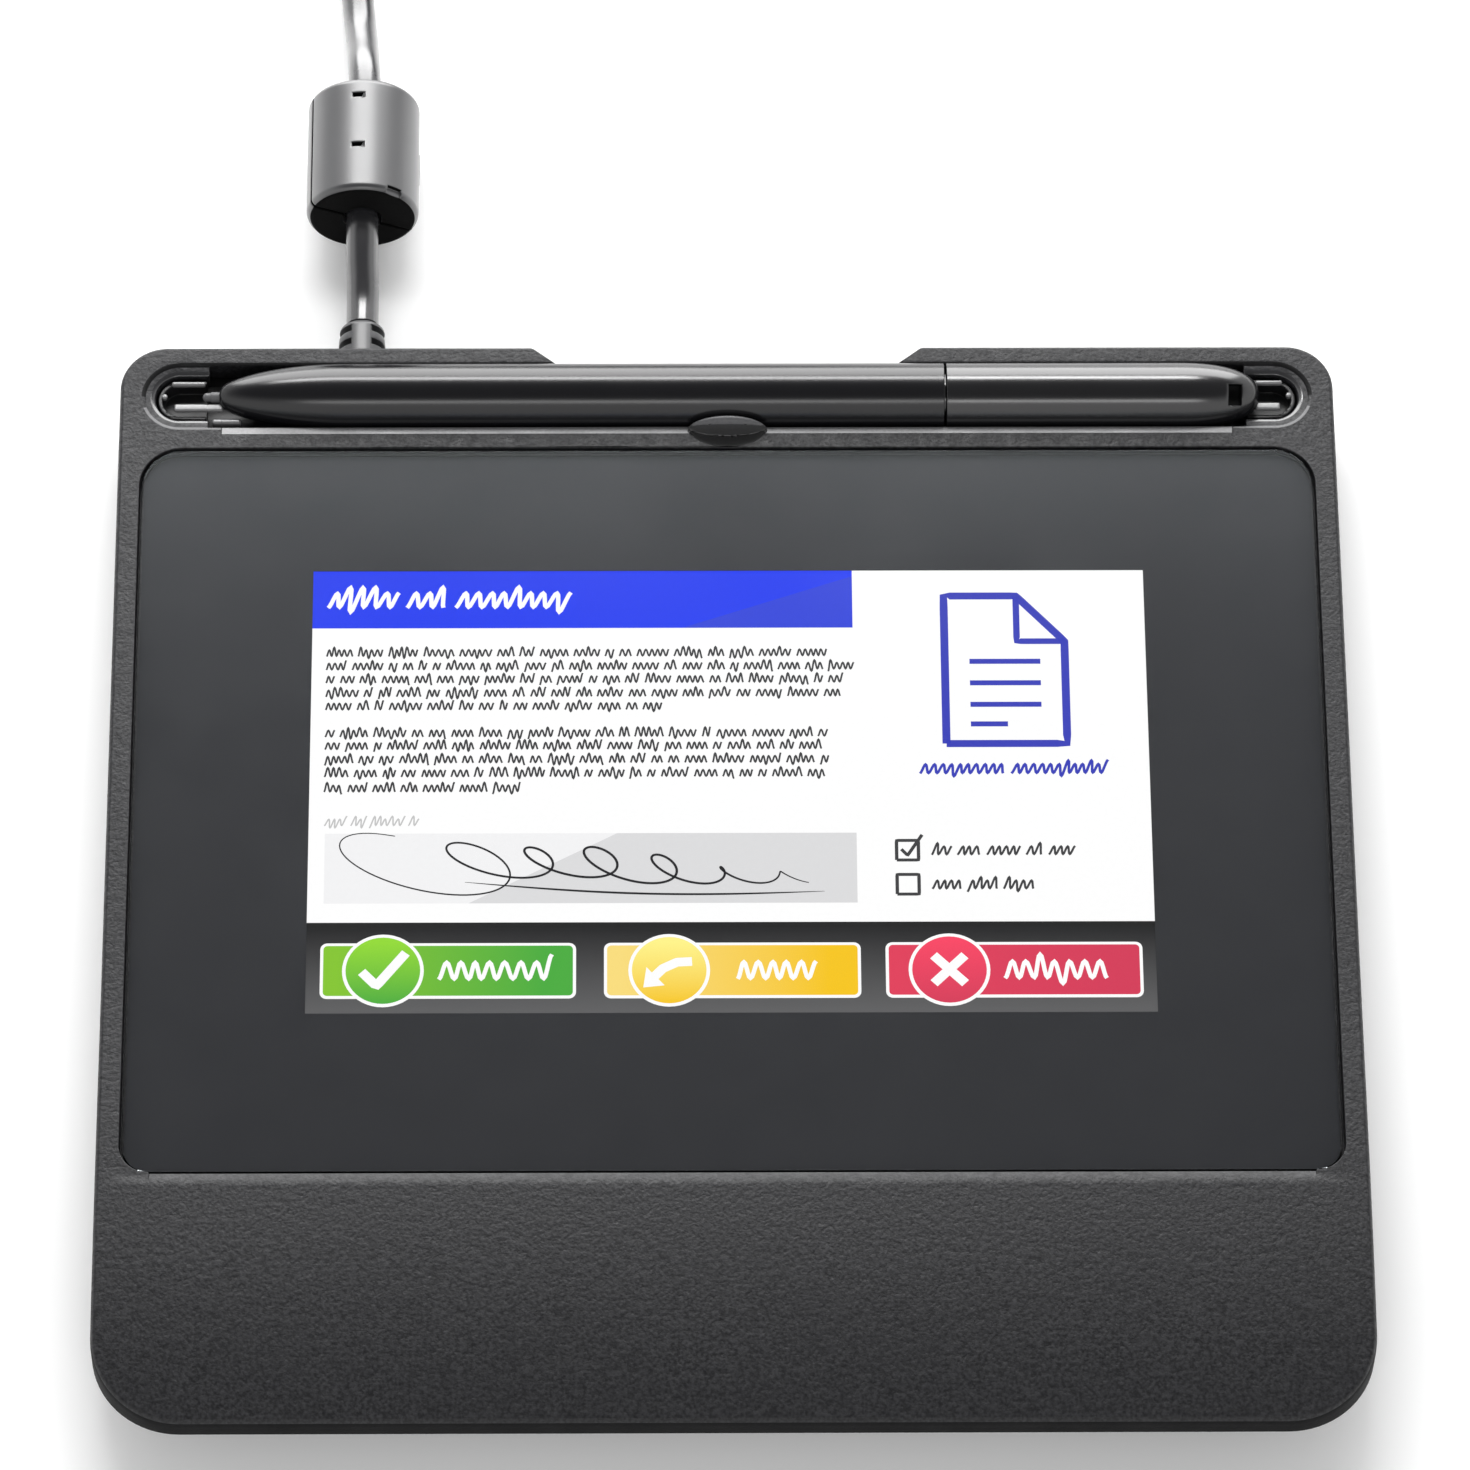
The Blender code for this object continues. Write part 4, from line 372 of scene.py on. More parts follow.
# Waves that stand for print: level, now and then another level, and how often
WAVE_TOP = (1.0, 1.42, 0.2)
WAVE_FOOT = (0.0, -0.35, 0.12)
WAVE_STEP = (0.30, 0.44)
WORD_GAP = 0.35
WORD_WAVES = (3, 11)

# How bright the surroundings are: the height of a direction runs from 0 level to 1 straight up
OVERHEAD_LEVEL = 0.12
WHITE_BELOW = 0.5
DARK_ABOVE = 0.8
FLOOR_GLOW = 0.12
# Lamps: name, place, the point it faces, size and power
LAMPS = (
    ("key", (-0.05, 0.43, 0.50), (-0.05, 0.10, 0), (0.42, 0.10), 2.3),
    ("rear_strip", (0.0, 0.80, 0.335), (0, 0.05, 0), (1.0, 0.57), 10.0),
    ("front_fill", (0.0, -0.62, 0.62), (0, 0.05, 0), (0.5, 0.12), 0.8),
)


# Camera
def add_camera():
    """The camera at the photograph's angle, found from the corners of the glass and casing."""
    rise = math.radians(60.857)
    turn = math.radians(-1.2568)
    roll = math.radians(0.98699)
    distance = 1.111126
    target = Vector((0.000683, 0.018542, 0.0117))
    level_reach = math.cos(rise)
    back = Vector((math.sin(turn) * level_reach, -math.cos(turn) * level_reach, math.sin(rise)))
    level = Vector((math.cos(turn), math.sin(turn), 0))
    upright = back.cross(level)
    right = level * math.cos(roll) + upright * math.sin(roll)
    up = upright * math.cos(roll) - level * math.sin(roll)
    data = bpy.data.cameras.new("camera")
    data.sensor_width = 36
    data.lens = 211.06
    data.clip_start = 0.05
    data.clip_end = 20
    camera = bpy.data.objects.new("camera", data)
    turned_to = Matrix((right, up, back)).transposed()
    camera.matrix_world = Matrix.Translation(target + back * distance) @ turned_to.to_4x4()
    bpy.context.scene.collection.objects.link(camera)
    bpy.context.scene.camera = camera


# Materials
def new_material(name, colour, roughness, metallic=0.0, **values):
    """A Principled material. Its further sockets are named as in Blender, with _ for a space."""
    made = bpy.data.materials.new(name)
    made.use_nodes = True
    shader = made.node_tree.nodes["Principled BSDF"]
    shader.inputs["Base Color"].default_value = (*colour, 1)
    shader.inputs["Roughness"].default_value = roughness
    shader.inputs["Metallic"].default_value = metallic
    for socket, value in values.items():
        shader.inputs[socket.replace("_", " ")].default_value = value
    return made


def add_node(material, kind, **values):
    """A node. A value's name is a socket's if it starts with a capital, else a property's."""
    node = material.node_tree.nodes.new(kind)
    for name, value in values.items():
        if name[0].isupper():
            node.inputs[name.replace("_", " ")].default_value = value
        else:
            setattr(node, name, value)
    return node


def link(material, source, target):
    material.node_tree.links.new(source, target)


def place_of(material, stretch=(1, 1, 1)):
    """The point on the piece, in metres, stretched along its axes."""
    coordinates = add_node(material, "ShaderNodeTexCoord")
    mapping = add_node(material, "ShaderNodeMapping")
    mapping.inputs["Scale"].default_value = stretch
    link(material, coordinates.outputs["Object"], mapping.inputs["Vector"])
    return mapping.outputs["Vector"]


def noise(material, size, detail=2.0, stretch=(1, 1, 1)):
    """Cloudy values from 0 to 1 whose spots are about that size in metres."""
    node = add_node(material, "ShaderNodeTexNoise", Scale=1 / size, Detail=detail)
    link(material, place_of(material, stretch), node.inputs["Vector"])
    return node.outputs["Fac"]


def ranged(material, source, low, high, start=0.3, end=0.7):
    """Values that run from low to high where the source runs from start to end."""
    node = add_node(material, "ShaderNodeMapRange", From_Min=start, From_Max=end)
    node.inputs["To Min"].default_value = low
    node.inputs["To Max"].default_value = high
    link(material, source, node.inputs["Value"])
    return node.outputs["Result"]


def blended(material, factor, first, second):
    """A colour between two, each a colour or a socket, by a share or a socket."""
    node = add_node(material, "ShaderNodeMix", data_type="RGBA")
    if isinstance(factor, float):
        node.inputs["Factor"].default_value = factor
    else:
        link(material, factor, node.inputs["Factor"])
    for socket, colour in ((node.inputs[6], first), (node.inputs[7], second)):
        if isinstance(colour, (tuple, list)):
            socket.default_value = (*colour, 1)
        else:
            link(material, colour, socket)
    return node.outputs[2]


def worked_out(material, operation, first, second):
    """The result of a Math node on two values, each a number or a socket."""
    node = add_node(material, "ShaderNodeMath", operation=operation)
    for socket, value in zip(node.inputs, (first, second)):
        if isinstance(value, (int, float)):
            socket.default_value = value
        else:
            link(material, value, socket)
    return node.outputs[0]


def shade(colour, factor):
    return tuple(min(channel * factor, 1.0) for channel in colour)


def shader_of(material):
    return material.node_tree.nodes["Principled BSDF"]


def add_bump(material, layers):
    """Bump from (height socket, depth in metres) pairs."""
    normal = None
    for height, depth in layers:
        node = add_node(material, "ShaderNodeBump", Distance=depth, Strength=1.0)
        link(material, height, node.inputs["Height"])
        if normal is not None:
            link(material, normal, node.inputs["Normal"])
        normal = node.outputs["Normal"]
    link(material, normal, shader_of(material).inputs["Normal"])


def mottled(material, source, colour, mottle):
    """A colour that is darker and lighter by a share where the source is low and high."""
    dim, bright = shade(colour, 1 - mottle), shade(colour, 1 + mottle)
    return blended(material, ranged(material, source, 0.0, 1.0), dim, bright)


def moulded(name, colour, roughness, mottle, grain_size, grain_depth, rubbed, specular, coated):
    """Moulded plastic or rubber: a little cloudiness, uneven gloss and a fine grain."""
    made = new_material(name, colour, roughness, Specular_IOR_Level=specular)
    shader = shader_of(made)
    if coated:
        shader.inputs["Coat Weight"].default_value = 1.0
        shader.inputs["Coat Roughness"].default_value = roughness
        shader.inputs["Coat IOR"].default_value = 1.5
    cloud = noise(made, size=0.018, detail=3.0)
    fine = noise(made, grain_size, detail=3.0)
    gloss = noise(made, size=0.006, detail=4.0)
    wide, speck = mottled(made, cloud, colour, mottle), mottled(made, fine, colour, 2 * mottle)
    link(made, blended(made, 0.5, wide, speck), shader.inputs["Base Color"])
    uneven = ranged(made, gloss, roughness - rubbed, roughness + rubbed)
    link(made, uneven, shader.inputs["Roughness"])
    add_bump(made, [(fine, grain_depth)])
    return made


def casing_plastic():
    """Charcoal plastic with a spark-eroded grain."""
    made = new_material("casing_plastic", (0.017, 0.017, 0.019), 0.46, Specular_IOR_Level=0.30)
    shader = shader_of(made)
    fine = noise(made, size=0.00045, detail=2.0)
    coarse = noise(made, size=0.0011, detail=3.0)
    cloud = noise(made, size=0.012, detail=3.0)
    grain = ranged(made, fine, 0.0, 1.0, start=0.36, end=0.64)
    speck = blended(made, grain, (0.006, 0.006, 0.007), (0.032, 0.032, 0.035))
    toned = blended(made, ranged(made, cloud, 0.15, 0.45), speck, (0.018, 0.018, 0.020))
    link(made, toned, shader.inputs["Base Color"])
    link(made, ranged(made, coarse, 0.40, 0.54), shader.inputs["Roughness"])
    add_bump(made, [(coarse, 0.00008), (fine, 0.00006)])
    return made


def clear_glass():
    """Etched glass over the display: it passes light straight on and mirrors a soft share."""
    made = new_material("cover_glass", (1, 1, 1), 0.24)
    nodes = made.node_tree.nodes
    nodes.remove(shader_of(made))
    fresnel = add_node(made, "ShaderNodeFresnel", IOR=1.26)
    geometry = add_node(made, "ShaderNodeNewGeometry")
    outside = worked_out(made, "SUBTRACT", 1, geometry.outputs["Backfacing"])
    share = worked_out(made, "MULTIPLY", fresnel.outputs[0], outside)
    clear = add_node(made, "ShaderNodeBsdfTransparent")
    gloss = add_node(made, "ShaderNodeBsdfGlossy", Color=(0.91, 0.97, 1.0, 1))
    etched = noise(made, size=0.02, detail=3.0)
    link(made, ranged(made, etched, low=0.16, high=0.19), gloss.inputs["Roughness"])
    both = add_node(made, "ShaderNodeMixShader")
    for source, target in zip((share, clear.outputs[0], gloss.outputs[0]), both.inputs):
        link(made, source, target)
    link(made, both.outputs[0], nodes["Material Output"].inputs["Surface"])
    return made


def brushed(name, colour, roughness, axis_stretch):
    """Metal with fine lines drawn along one axis."""
    made = new_material(name, colour, roughness, metallic=1.0)
    lines = noise(made, size=0.0004, detail=3.0, stretch=axis_stretch)
    cloud = ranged(made, noise(made, size=0.008, detail=3.0), 0.0, 1.0)
    shader = shader_of(made)
    toned = blended(made, cloud, shade(colour, 0.85), shade(colour, 1.12))
    uneven = ranged(made, lines, roughness - 0.08, roughness + 0.10)
    link(made, toned, shader.inputs["Base Color"])
    link(made, uneven, shader.inputs["Roughness"])
    add_bump(made, [(lines, 0.000004)])
    return made


def circuit_board_green():
    """Solder mask over rows of tracks."""
    made = new_material("circuit_board_green", (0.02, 0.12, 0.05), 0.35)
    tracks = add_node(made, "ShaderNodeTexBrick", Scale=1.0, Mortar_Size=0.00012)
    tracks.inputs["Brick Width"].default_value = 0.0061
    tracks.inputs["Row Height"].default_value = 0.0009
    link(made, place_of(made), tracks.inputs["Vector"])
    shader = shader_of(made)
    toned = blended(made, tracks.outputs["Fac"], (0.015, 0.10, 0.045), (0.05, 0.22, 0.09))
    link(made, toned, shader.inputs["Base Color"])
    uneven = ranged(made, noise(made, size=0.002), low=0.28, high=0.42)
    link(made, uneven, shader.inputs["Roughness"])
    add_bump(made, [(tracks.outputs["Fac"], 0.00002)])
    return made


def striped(name, colour, dark, roughness, metallic, step):
    """Fine lines side by side, such as wire on a coil or the conductors of a flat cable."""
    made = new_material(name, colour, roughness, metallic)
    lines = add_node(made, "ShaderNodeTexWave", bands_direction="X", Scale=1.0, Distortion=0.4)
    scale = math.pi / step / 10
    link(made, place_of(made, (scale, scale, scale)), lines.inputs["Vector"])
    shader = shader_of(made)
    link(made, blended(made, lines.outputs["Fac"], dark, colour), shader.inputs["Base Color"])
    uneven = ranged(made, noise(made, size=0.002), roughness - 0.05, roughness + 0.1)
    link(made, uneven, shader.inputs["Roughness"])
    add_bump(made, [(lines.outputs["Fac"], step / 6)])
    return made


def lit(name, colour, second=None, axis=0, start=0.0, end=1.0):
    """A lit patch of the display. A second colour takes over from start to end in millimetres."""
    made = new_material(name, (0.01, 0.01, 0.01), 0.45, Specular_IOR_Level=0.0)
    shader = shader_of(made)
    shader.inputs["Emission Strength"].default_value = 1.0
    pixels = noise(made, size=0.0006, detail=1.0)
    if second is not None:
        split = add_node(made, "ShaderNodeSeparateXYZ")
        link(made, place_of(made), split.inputs[0])
        share = ranged(made, split.outputs[axis], 0.0, 1.0, start * MM, end * MM)
        toned = blended(made, share, colour, second)
    else:
        toned = blended(made, ranged(made, pixels, 0.0, 1.0), shade(colour, 0.985), colour)
    link(made, toned, shader.inputs["Emission Color"])
    link(made, ranged(made, pixels, low=0.40, high=0.50), shader.inputs["Roughness"])
    return made


# Moulded finishes: colour, roughness, mottle as a share, grain size and depth, how far the gloss
# wanders, specular level, and whether a clear coat of the same roughness lies over it
MOULDED = {
    # Painted shade: black for the casing's flanks and undercut, the lower casing, the pocket's
    # front rim and the glass's edge
    "casing_black": ((0.006, 0.006, 0.0065), 0.60, 0.15, 0.0004, 0.00003, 0.06, 0.12, False),
    # Painted highlight: a lighter grey for the dish's lip and the front of the wells' ledges
    "casing_edge": ((0.085, 0.085, 0.089), 0.42, 0.12, 0.0004, 0.00001, 0.06, 0.5, False),
    # Painted highlight on the rounded edge of the deck in front of the pen
    "channel_edge": ((0.20, 0.20, 0.206), 0.36, 0.12, 0.0004, 0.00001, 0.06, 0.6, False),
    "casing_rim": ((0.022, 0.022, 0.024), 0.22, 0.06, 0.0004, 0.000002, 0.03, 1.0, False),
    # Painted shade: near black for the channel's trough and the wells' cups
    "tray_plastic": ((0.010, 0.010, 0.011), 0.42, 0.15, 0.0005, 0.00001, 0.06, 0.5, False),
    "printed_border": ((0.0185, 0.0195, 0.0225), 0.6, 0.02, 0.0008, 0.0, 0.06, 0.1, False),
    "display_surface": ((0.03, 0.03, 0.035), 0.3, 0.05, 0.0006, 0.000002, 0.06, 0.5, False),
    "chip_black": ((0.02, 0.02, 0.02), 0.5, 0.15, 0.0002, 0.00001, 0.06, 0.5, False),
    "socket_ivory": ((0.72, 0.69, 0.60), 0.5, 0.05, 0.0004, 0.00001, 0.06, 0.5, False),
    "rubber_black": ((0.018, 0.018, 0.018), 0.78, 0.2, 0.0004, 0.00003, 0.06, 0.5, False),
    "pen_matte": ((0.006, 0.006, 0.0072), 0.22, 0.08, 0.00018, 0.0000015, 0.01, 0.60, False),
    "pen_satin": ((0.008, 0.008, 0.009), 0.20, 0.05, 0.0004, 0.000001, 0.01, 0.9, False),
    "nib_grey": ((0.10, 0.10, 0.104), 0.45, 0.1, 0.0002, 0.000004, 0.06, 0.5, False),
    "ferrite_black": ((0.03, 0.03, 0.03), 0.6, 0.25, 0.0003, 0.00002, 0.06, 0.5, False),
    "ferrite_case_grey": ((0.014, 0.014, 0.017), 0.38, 0.04, 0.0005, 0.000003, 0.02, 1.0, True),
    # Painted shade on the ferrite's near end, and the dark joint between its halves
    "ferrite_end_black": ((0.006, 0.006, 0.006), 0.6, 0.15, 0.0005, 0.000003, 0.06, 0.02, False),
    # Painted shade and highlight in the dish's scoop
    "dish_black": ((0.050, 0.050, 0.051), 0.34, 0.10, 0.0003, 0.000002, 0.03, 0.9, False),
    "lead_jacket": ((0.028, 0.028, 0.031), 0.26, 0.03, 0.0005, 0.000001, 0.02, 1.0, True),
    "relief_rubber": ((0.040, 0.040, 0.043), 0.34, 0.03, 0.0005, 0.000002, 0.02, 0.8, False),
    # Painted highlight: a light grey for the rails, the end pins and the ledge in the channel
    "rail_grey": ((0.165, 0.165, 0.168), 0.25, 0.05, 0.0004, 0.000003, 0.04, 0.8, False),
}
# Metals: colour, roughness and stretch. Then finishes with stripes: colour, dark colour,
# roughness, metallic and step
BRUSHED = {
    "steel_sheet": ((0.55, 0.55, 0.56), 0.32, (1, 12, 1)),
    "screw_steel": ((0.42, 0.42, 0.43), 0.30, (6, 1, 1)),
}
STRIPED = {
    "flex_amber": ((0.45, 0.20, 0.04), (0.28, 0.11, 0.02), 0.35, 0.0, 0.0008),
    "copper_wire": ((0.55, 0.22, 0.10), (0.30, 0.10, 0.04), 0.3, 1.0, 0.0003),
}
FINISHES = {"casing_plastic": (casing_plastic,), "circuit_board_green": (circuit_board_green,)}
for kind, table in ((moulded, MOULDED), (brushed, BRUSHED), (striped, STRIPED)):
    FINISHES.update({name: (kind, name, *values) for name, values in table.items()})
made_finishes = {}


def finish(slot):
    """The material of a finish, made when it is first asked for."""
    if slot not in made_finishes:
        kind, *values = FINISHES[slot]
        made_finishes[slot] = kind(*values)
    return made_finishes[slot]


# Shapes
guides = []


def mesh_object(name, bm, material):
    bmesh.ops.recalc_face_normals(bm, faces=bm.faces)
    mesh = bpy.data.meshes.new(name)
    bm.to_mesh(mesh)
    bm.free()
    mesh.shade_smooth()
    mesh.materials.append(material)
    obj = bpy.data.objects.new(name, mesh)
    bpy.context.scene.collection.objects.link(obj)
    return obj


def combine(obj, other, operation):
    """Joins another shape to an object or cuts it out. The other shape is only a guide."""
    if other not in guides:
        guides.append(other)
    modifier = obj.modifiers.new(other.name, "BOOLEAN")
    modifier.operation = operation
    modifier.object = other


def cut(obj, *cutters):
    for cutter in cutters:
        combine(obj, cutter, "DIFFERENCE")


def join(obj, *others):
    for other in others:
        combine(obj, other, "UNION")


def settle(*objects, edge=0.0, steps=2, limit=28):
    """Works the joins and cuts out for good, takes the guides away and rounds the edges."""
    bpy.context.view_layer.update()
    depsgraph = bpy.context.evaluated_depsgraph_get()
    worked = []
    for obj in objects:
        mesh = bpy.data.meshes.new_from_object(obj.evaluated_get(depsgraph))
        mesh.transform(obj.matrix_world)
        worked.append(mesh)
    for obj, mesh in zip(objects, worked):
        obj.modifiers.clear()
        obj.data = mesh
        obj.parent = None
        obj.matrix_world = Matrix.Identity(4)
    while guides:
        bpy.data.objects.remove(guides.pop())
    for obj in objects:
        soften(obj, edge, steps, limit)
    return objects[0]


def soften(obj, edge, steps=2, limit=28):
    """Rounds the edges a little, and keeps the flats flat where light runs over them."""
    bm = bmesh.new()
    bm.from_mesh(obj.data)
    bmesh.ops.dissolve_degenerate(bm, dist=LEAST_EDGE, edges=bm.edges)
    bm.to_mesh(obj.data)
    bm.free()
    obj.data.shade_smooth()
    if edge:
        bevel = obj.modifiers.new("edge", "BEVEL")
        bevel.width = edge
        bevel.segments = steps
        bevel.limit_method = "ANGLE"
        bevel.angle_limit = math.radians(limit)
        bevel.use_clamp_overlap = False
    else:
        obj.data.set_sharp_from_angle(angle=math.radians(limit))
    weighted = obj.modifiers.new("weighted", "WEIGHTED_NORMAL")
    weighted.keep_sharp = True
    return obj


def quarter(steps):
    """The turns of a quarter circle, in radians."""
    return [math.pi / 2 * step / steps for step in range(steps + 1)]


def half_outline(half_width, front, rear, front_radius, rear_radius, stations=()):
    """The right half of a rounded rectangle, from the front to the rear, as (x, y)."""
    points = []
    for turn in quarter(CORNER_STEPS):
        x = half_width - front_radius * (1 - math.sin(turn))
        points.append((x, front + front_radius * (1 - math.cos(turn))))
    points += [(half_width, y) for y in stations]
    for turn in quarter(CORNER_STEPS):
        x = half_width - rear_radius * (1 - math.cos(turn))
        point = (x, rear - rear_radius * (1 - math.sin(turn)))
        if turn or math.dist(point, points[-1]) > FIT:
            points.append(point)
    return points


def loft(name, rings, material):
    """A closed solid through rings of right-half points, each mirrored in the plane x = 0."""
    bm = bmesh.new()
    rows = []
    for ring in rings:
        right = [bm.verts.new(point) for point in ring]
        left = [bm.verts.new((-x, y, z)) for x, y, z in ring]
        rows.append((right, left))
    spans = range(len(rings[0]) - 1)
    for (right, left), (next_right, next_left) in zip(rows, rows[1:]):
        for i in spans:
            bm.faces.new((right[i], right[i + 1], next_right[i + 1], next_right[i]))
            bm.faces.new((left[i + 1], left[i], next_left[i], next_left[i + 1]))
        bm.faces.new((left[0], right[0], next_right[0], next_left[0]))
        bm.faces.new((right[-1], left[-1], next_left[-1], next_right[-1]))
    for right, left in (rows[0], rows[-1]):
        for i in spans:
            bm.faces.new((right[i], left[i], left[i + 1], right[i + 1]))
    return mesh_object(name, bm, material)


def set_at(obj, place):
    obj.location.x, obj.location.y = place
    return obj


def level_ring(outline, z):
    return [(x, y, z) for x, y in outline]


def prism(name, outline, low, high, material, middle=(0, 0)):
    return set_at(loft(name, [level_ring(outline, z) for z in (low, high)], material), middle)


def plate(name, width, depth, corner, low, high, material, middle=(0, 0)):
    outline = half_outline(width / 2, -depth / 2, depth / 2, corner, corner)
    return prism(name, outline, low, high, material, middle)


def block(name, size, place, material):
    bm = bmesh.new()
    bmesh.ops.create_cube(bm, size=1)
    bmesh.ops.scale(bm, vec=size, verts=bm.verts)
    obj = mesh_object(name, bm, material)
    obj.location = place
    return obj


def turned(name, profile, material, sides=ROUND_SIDES):
    """A turned solid about Z, from (radius, height) points that start and end on the axis."""
    bm = bmesh.new()
    verts = [bm.verts.new((radius, 0, height)) for radius, height in profile]
    edges = [bm.edges.new(pair) for pair in zip(verts, verts[1:])]
    bmesh.ops.spin(
        bm, geom=verts + edges, axis=(0, 0, 1), cent=(0, 0, 0), angle=2 * math.pi, steps=sides
    )
    bmesh.ops.remove_doubles(bm, verts=bm.verts, dist=FIT / 100)
    return mesh_object(name, bm, material)


def rod(name, radius, low, high, material, sides=ROUND_SIDES):
    return turned(name, ((0, low), (radius, low), (radius, high), (0, high)), material, sides)


def along_x(obj, y, z):
    obj.rotation_euler.y = math.pi / 2
    obj.location = (0, y, z)
    return obj


def along_y(obj, x, z):
    obj.rotation_euler.x = -math.pi / 2
    obj.location = (x, 0, z)
    return obj


def extruded(name, section, start, end, material):
    """A closed outline of (y, z) points drawn out along X."""
    bm = bmesh.new()
    face = bm.faces.new([bm.verts.new((start, y, z)) for y, z in section])
    grown = bmesh.ops.extrude_face_region(bm, geom=[face])
    moved = [v for v in grown["geom"] if isinstance(v, bmesh.types.BMVert)]
    bmesh.ops.translate(bm, verts=moved, vec=(end - start, 0, 0))
    return mesh_object(name, bm, material)


def smooth_step(share):
    share = min(max(share, 0.0), 1.0)
    return share * share * (3 - 2 * share)


def dressed(piece, body, slot, *nodes):
    """Hangs a piece on its body and lets it stand for its CAD nodes."""
    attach(piece, body)
    if nodes:
        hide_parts(*nodes)
    return piece


# Lead and plug
def lead_points():
    """The lead's middle line: the route on the table and then the coil, without a break."""
    placed = [Vector((x, REAR_FACE_Y + behind, z)) for x, behind, z in LEAD_ROUTE]
    knots = [2 * placed[0] - placed[1], *placed, 2 * placed[-1] - placed[-2]]
    points = []
    parts = 5
    for before, start, end, after in zip(knots, knots[1:], knots[2:], knots[3:]):
        for part in range(parts):
            t = part / parts
            bend = 2 * before - 5 * start + 4 * end - after
            twist = 3 * (start - end) + after - before
            points.append(start + (t * (end - before) + t * t * bend + t * t * t * twist) / 2)
    points.append(placed[-1])
    count = round((COIL_TURNS + COIL_TAIL_TURNS) * COIL_POINTS_PER_TURN)
    points += [coil_place(i / COIL_POINTS_PER_TURN) for i in range(count + 1)]
    points.append(points[-1] + Vector((LEAD_DIAMETER, 0, 0)))
    return points


def coil_place(turns):
    """A point on the coil's middle line, after so many turns from where the lead comes in."""
    if turns < COIL_LAYER_TURNS:
        radius = COIL_OUTER_RADIUS - COIL_PITCH * turns
    else:
        radius = COIL_INNER_RADIUS + COIL_PITCH * (turns - COIL_LAYER_TURNS)
    climbed = (turns - COIL_LAYER_TURNS) / COIL_CLIMB_TURNS + 0.5
    height = COIL_LOW + (COIL_HIGH - COIL_LOW) * min(max(climbed, 0.0), 1.0)
    if turns > COIL_TURNS:
        share = (turns - COIL_TURNS) / COIL_TAIL_TURNS
        radius += COIL_TAIL_OUT * smooth_step(share)
        late = (share - COIL_TAIL_LATE_SHARE) / (1 - COIL_TAIL_LATE_SHARE)
        height += (PLUG_HEIGHT - COIL_HIGH) * smooth_step(late)
    turn = math.pi - 2 * math.pi * turns
    x = COIL_MIDDLE_X + radius * math.cos(turn)
    return Vector((x, COIL_MIDDLE_Y + radius * math.sin(turn), height))


def make_lead():
    points = lead_points()
    curve = bpy.data.curves.new("usb_cable", "CURVE")
    curve.dimensions = "3D"
    curve.bevel_depth = LEAD_DIAMETER / 2
    curve.bevel_resolution = LEAD_ROUND_STEPS
    curve.use_fill_caps = True
    spline = curve.splines.new("POLY")
    spline.points.add(len(points) - 1)
    for place, point in zip(spline.points, points):
        place.co = (*point, 1)
    spline.use_smooth = True
    curve.materials.append(finish("lead_jacket"))
    cable = bpy.data.objects.new("usb_cable", curve)
    bpy.context.scene.collection.objects.link(cable)
    dressed(cable, "pad", "lead_jacket", "usb_lead", "usb_lead_coil")
    return cable, points


def make_plug(end):
    """The USB plug beside the coil, pointing along +X."""
    start = end.x + FIT
    grip_start = start + PLUG_RELIEF_LENGTH + FIT
    shell_start = grip_start + PLUG_GRIP_LENGTH + FIT
    pieces = [
        plug_relief(start, end.y),
        plug_grip(grip_start, end.y),
        plug_shell(shell_start, end.y),
        plug_tongue(shell_start, end.y),
    ]
    slots = ("lead_jacket", "lead_jacket", "steel_sheet", "socket_ivory")
    nodes = ("usb_plug_relief", "usb_plug_grip", "usb_plug_shell", "usb_plug_tongue")
    for piece, slot, node in zip(pieces, slots, nodes):
        dressed(piece, "pad", slot, node)
    return pieces


def plug_relief(start, y):
    """The plug's ribbed relief, which widens towards the grip."""
    end = start + PLUG_RELIEF_LENGTH
    profile = [(0, start), (PLUG_RELIEF_END_RADIUS, start)]
    ribs = 3
    rib = PLUG_RELIEF_LENGTH / (2 * ribs + 1)
    for index in range(ribs):
        near = start + rib * (2 * index + 1)
        for place, deep in ((near, 0), (near, 1), (near + rib, 1), (near + rib, 0)):
            share = (place - start) / PLUG_RELIEF_LENGTH
            radius = PLUG_RELIEF_END_RADIUS + (PLUG_RELIEF_RADIUS - PLUG_RELIEF_END_RADIUS) * share
            profile.append((radius - deep * FIT, place))
    profile += [(PLUG_RELIEF_RADIUS, end), (0, end)]
    relief = turned("plug_relief_ribbed", profile, finish("lead_jacket"), SMALL_SIDES)
    return settle(along_x(relief, y, PLUG_HEIGHT), edge=0.00008)


def plug_grip(start, y):
    """The moulded grip with its long edges rounded."""
    end = start + PLUG_GRIP_LENGTH
    rings = []
    half_height = PLUG_GRIP_THICKNESS / 2
    for side in (-1, 1):
        for turn in quarter(EDGE_STEPS)[::-side]:
            inset = PLUG_GRIP_EDGE * (1 - math.sin(turn))
            height = side * (half_height - PLUG_GRIP_EDGE * (1 - math.cos(turn)))
            outline = half_outline(
                PLUG_GRIP_WIDTH / 2 - inset,
                start + inset,
                end - inset,
                PLUG_GRIP_WIDTH / 4 - inset,
                PLUG_GRIP_WIDTH / 8 - inset,
            )
            rings.append(level_ring(outline, height))
    grip = loft("plug_grip_moulded", rings, finish("lead_jacket"))
    grip.rotation_euler.z = -math.pi / 2
    grip.location = (0, y, PLUG_HEIGHT)
    return settle(grip)


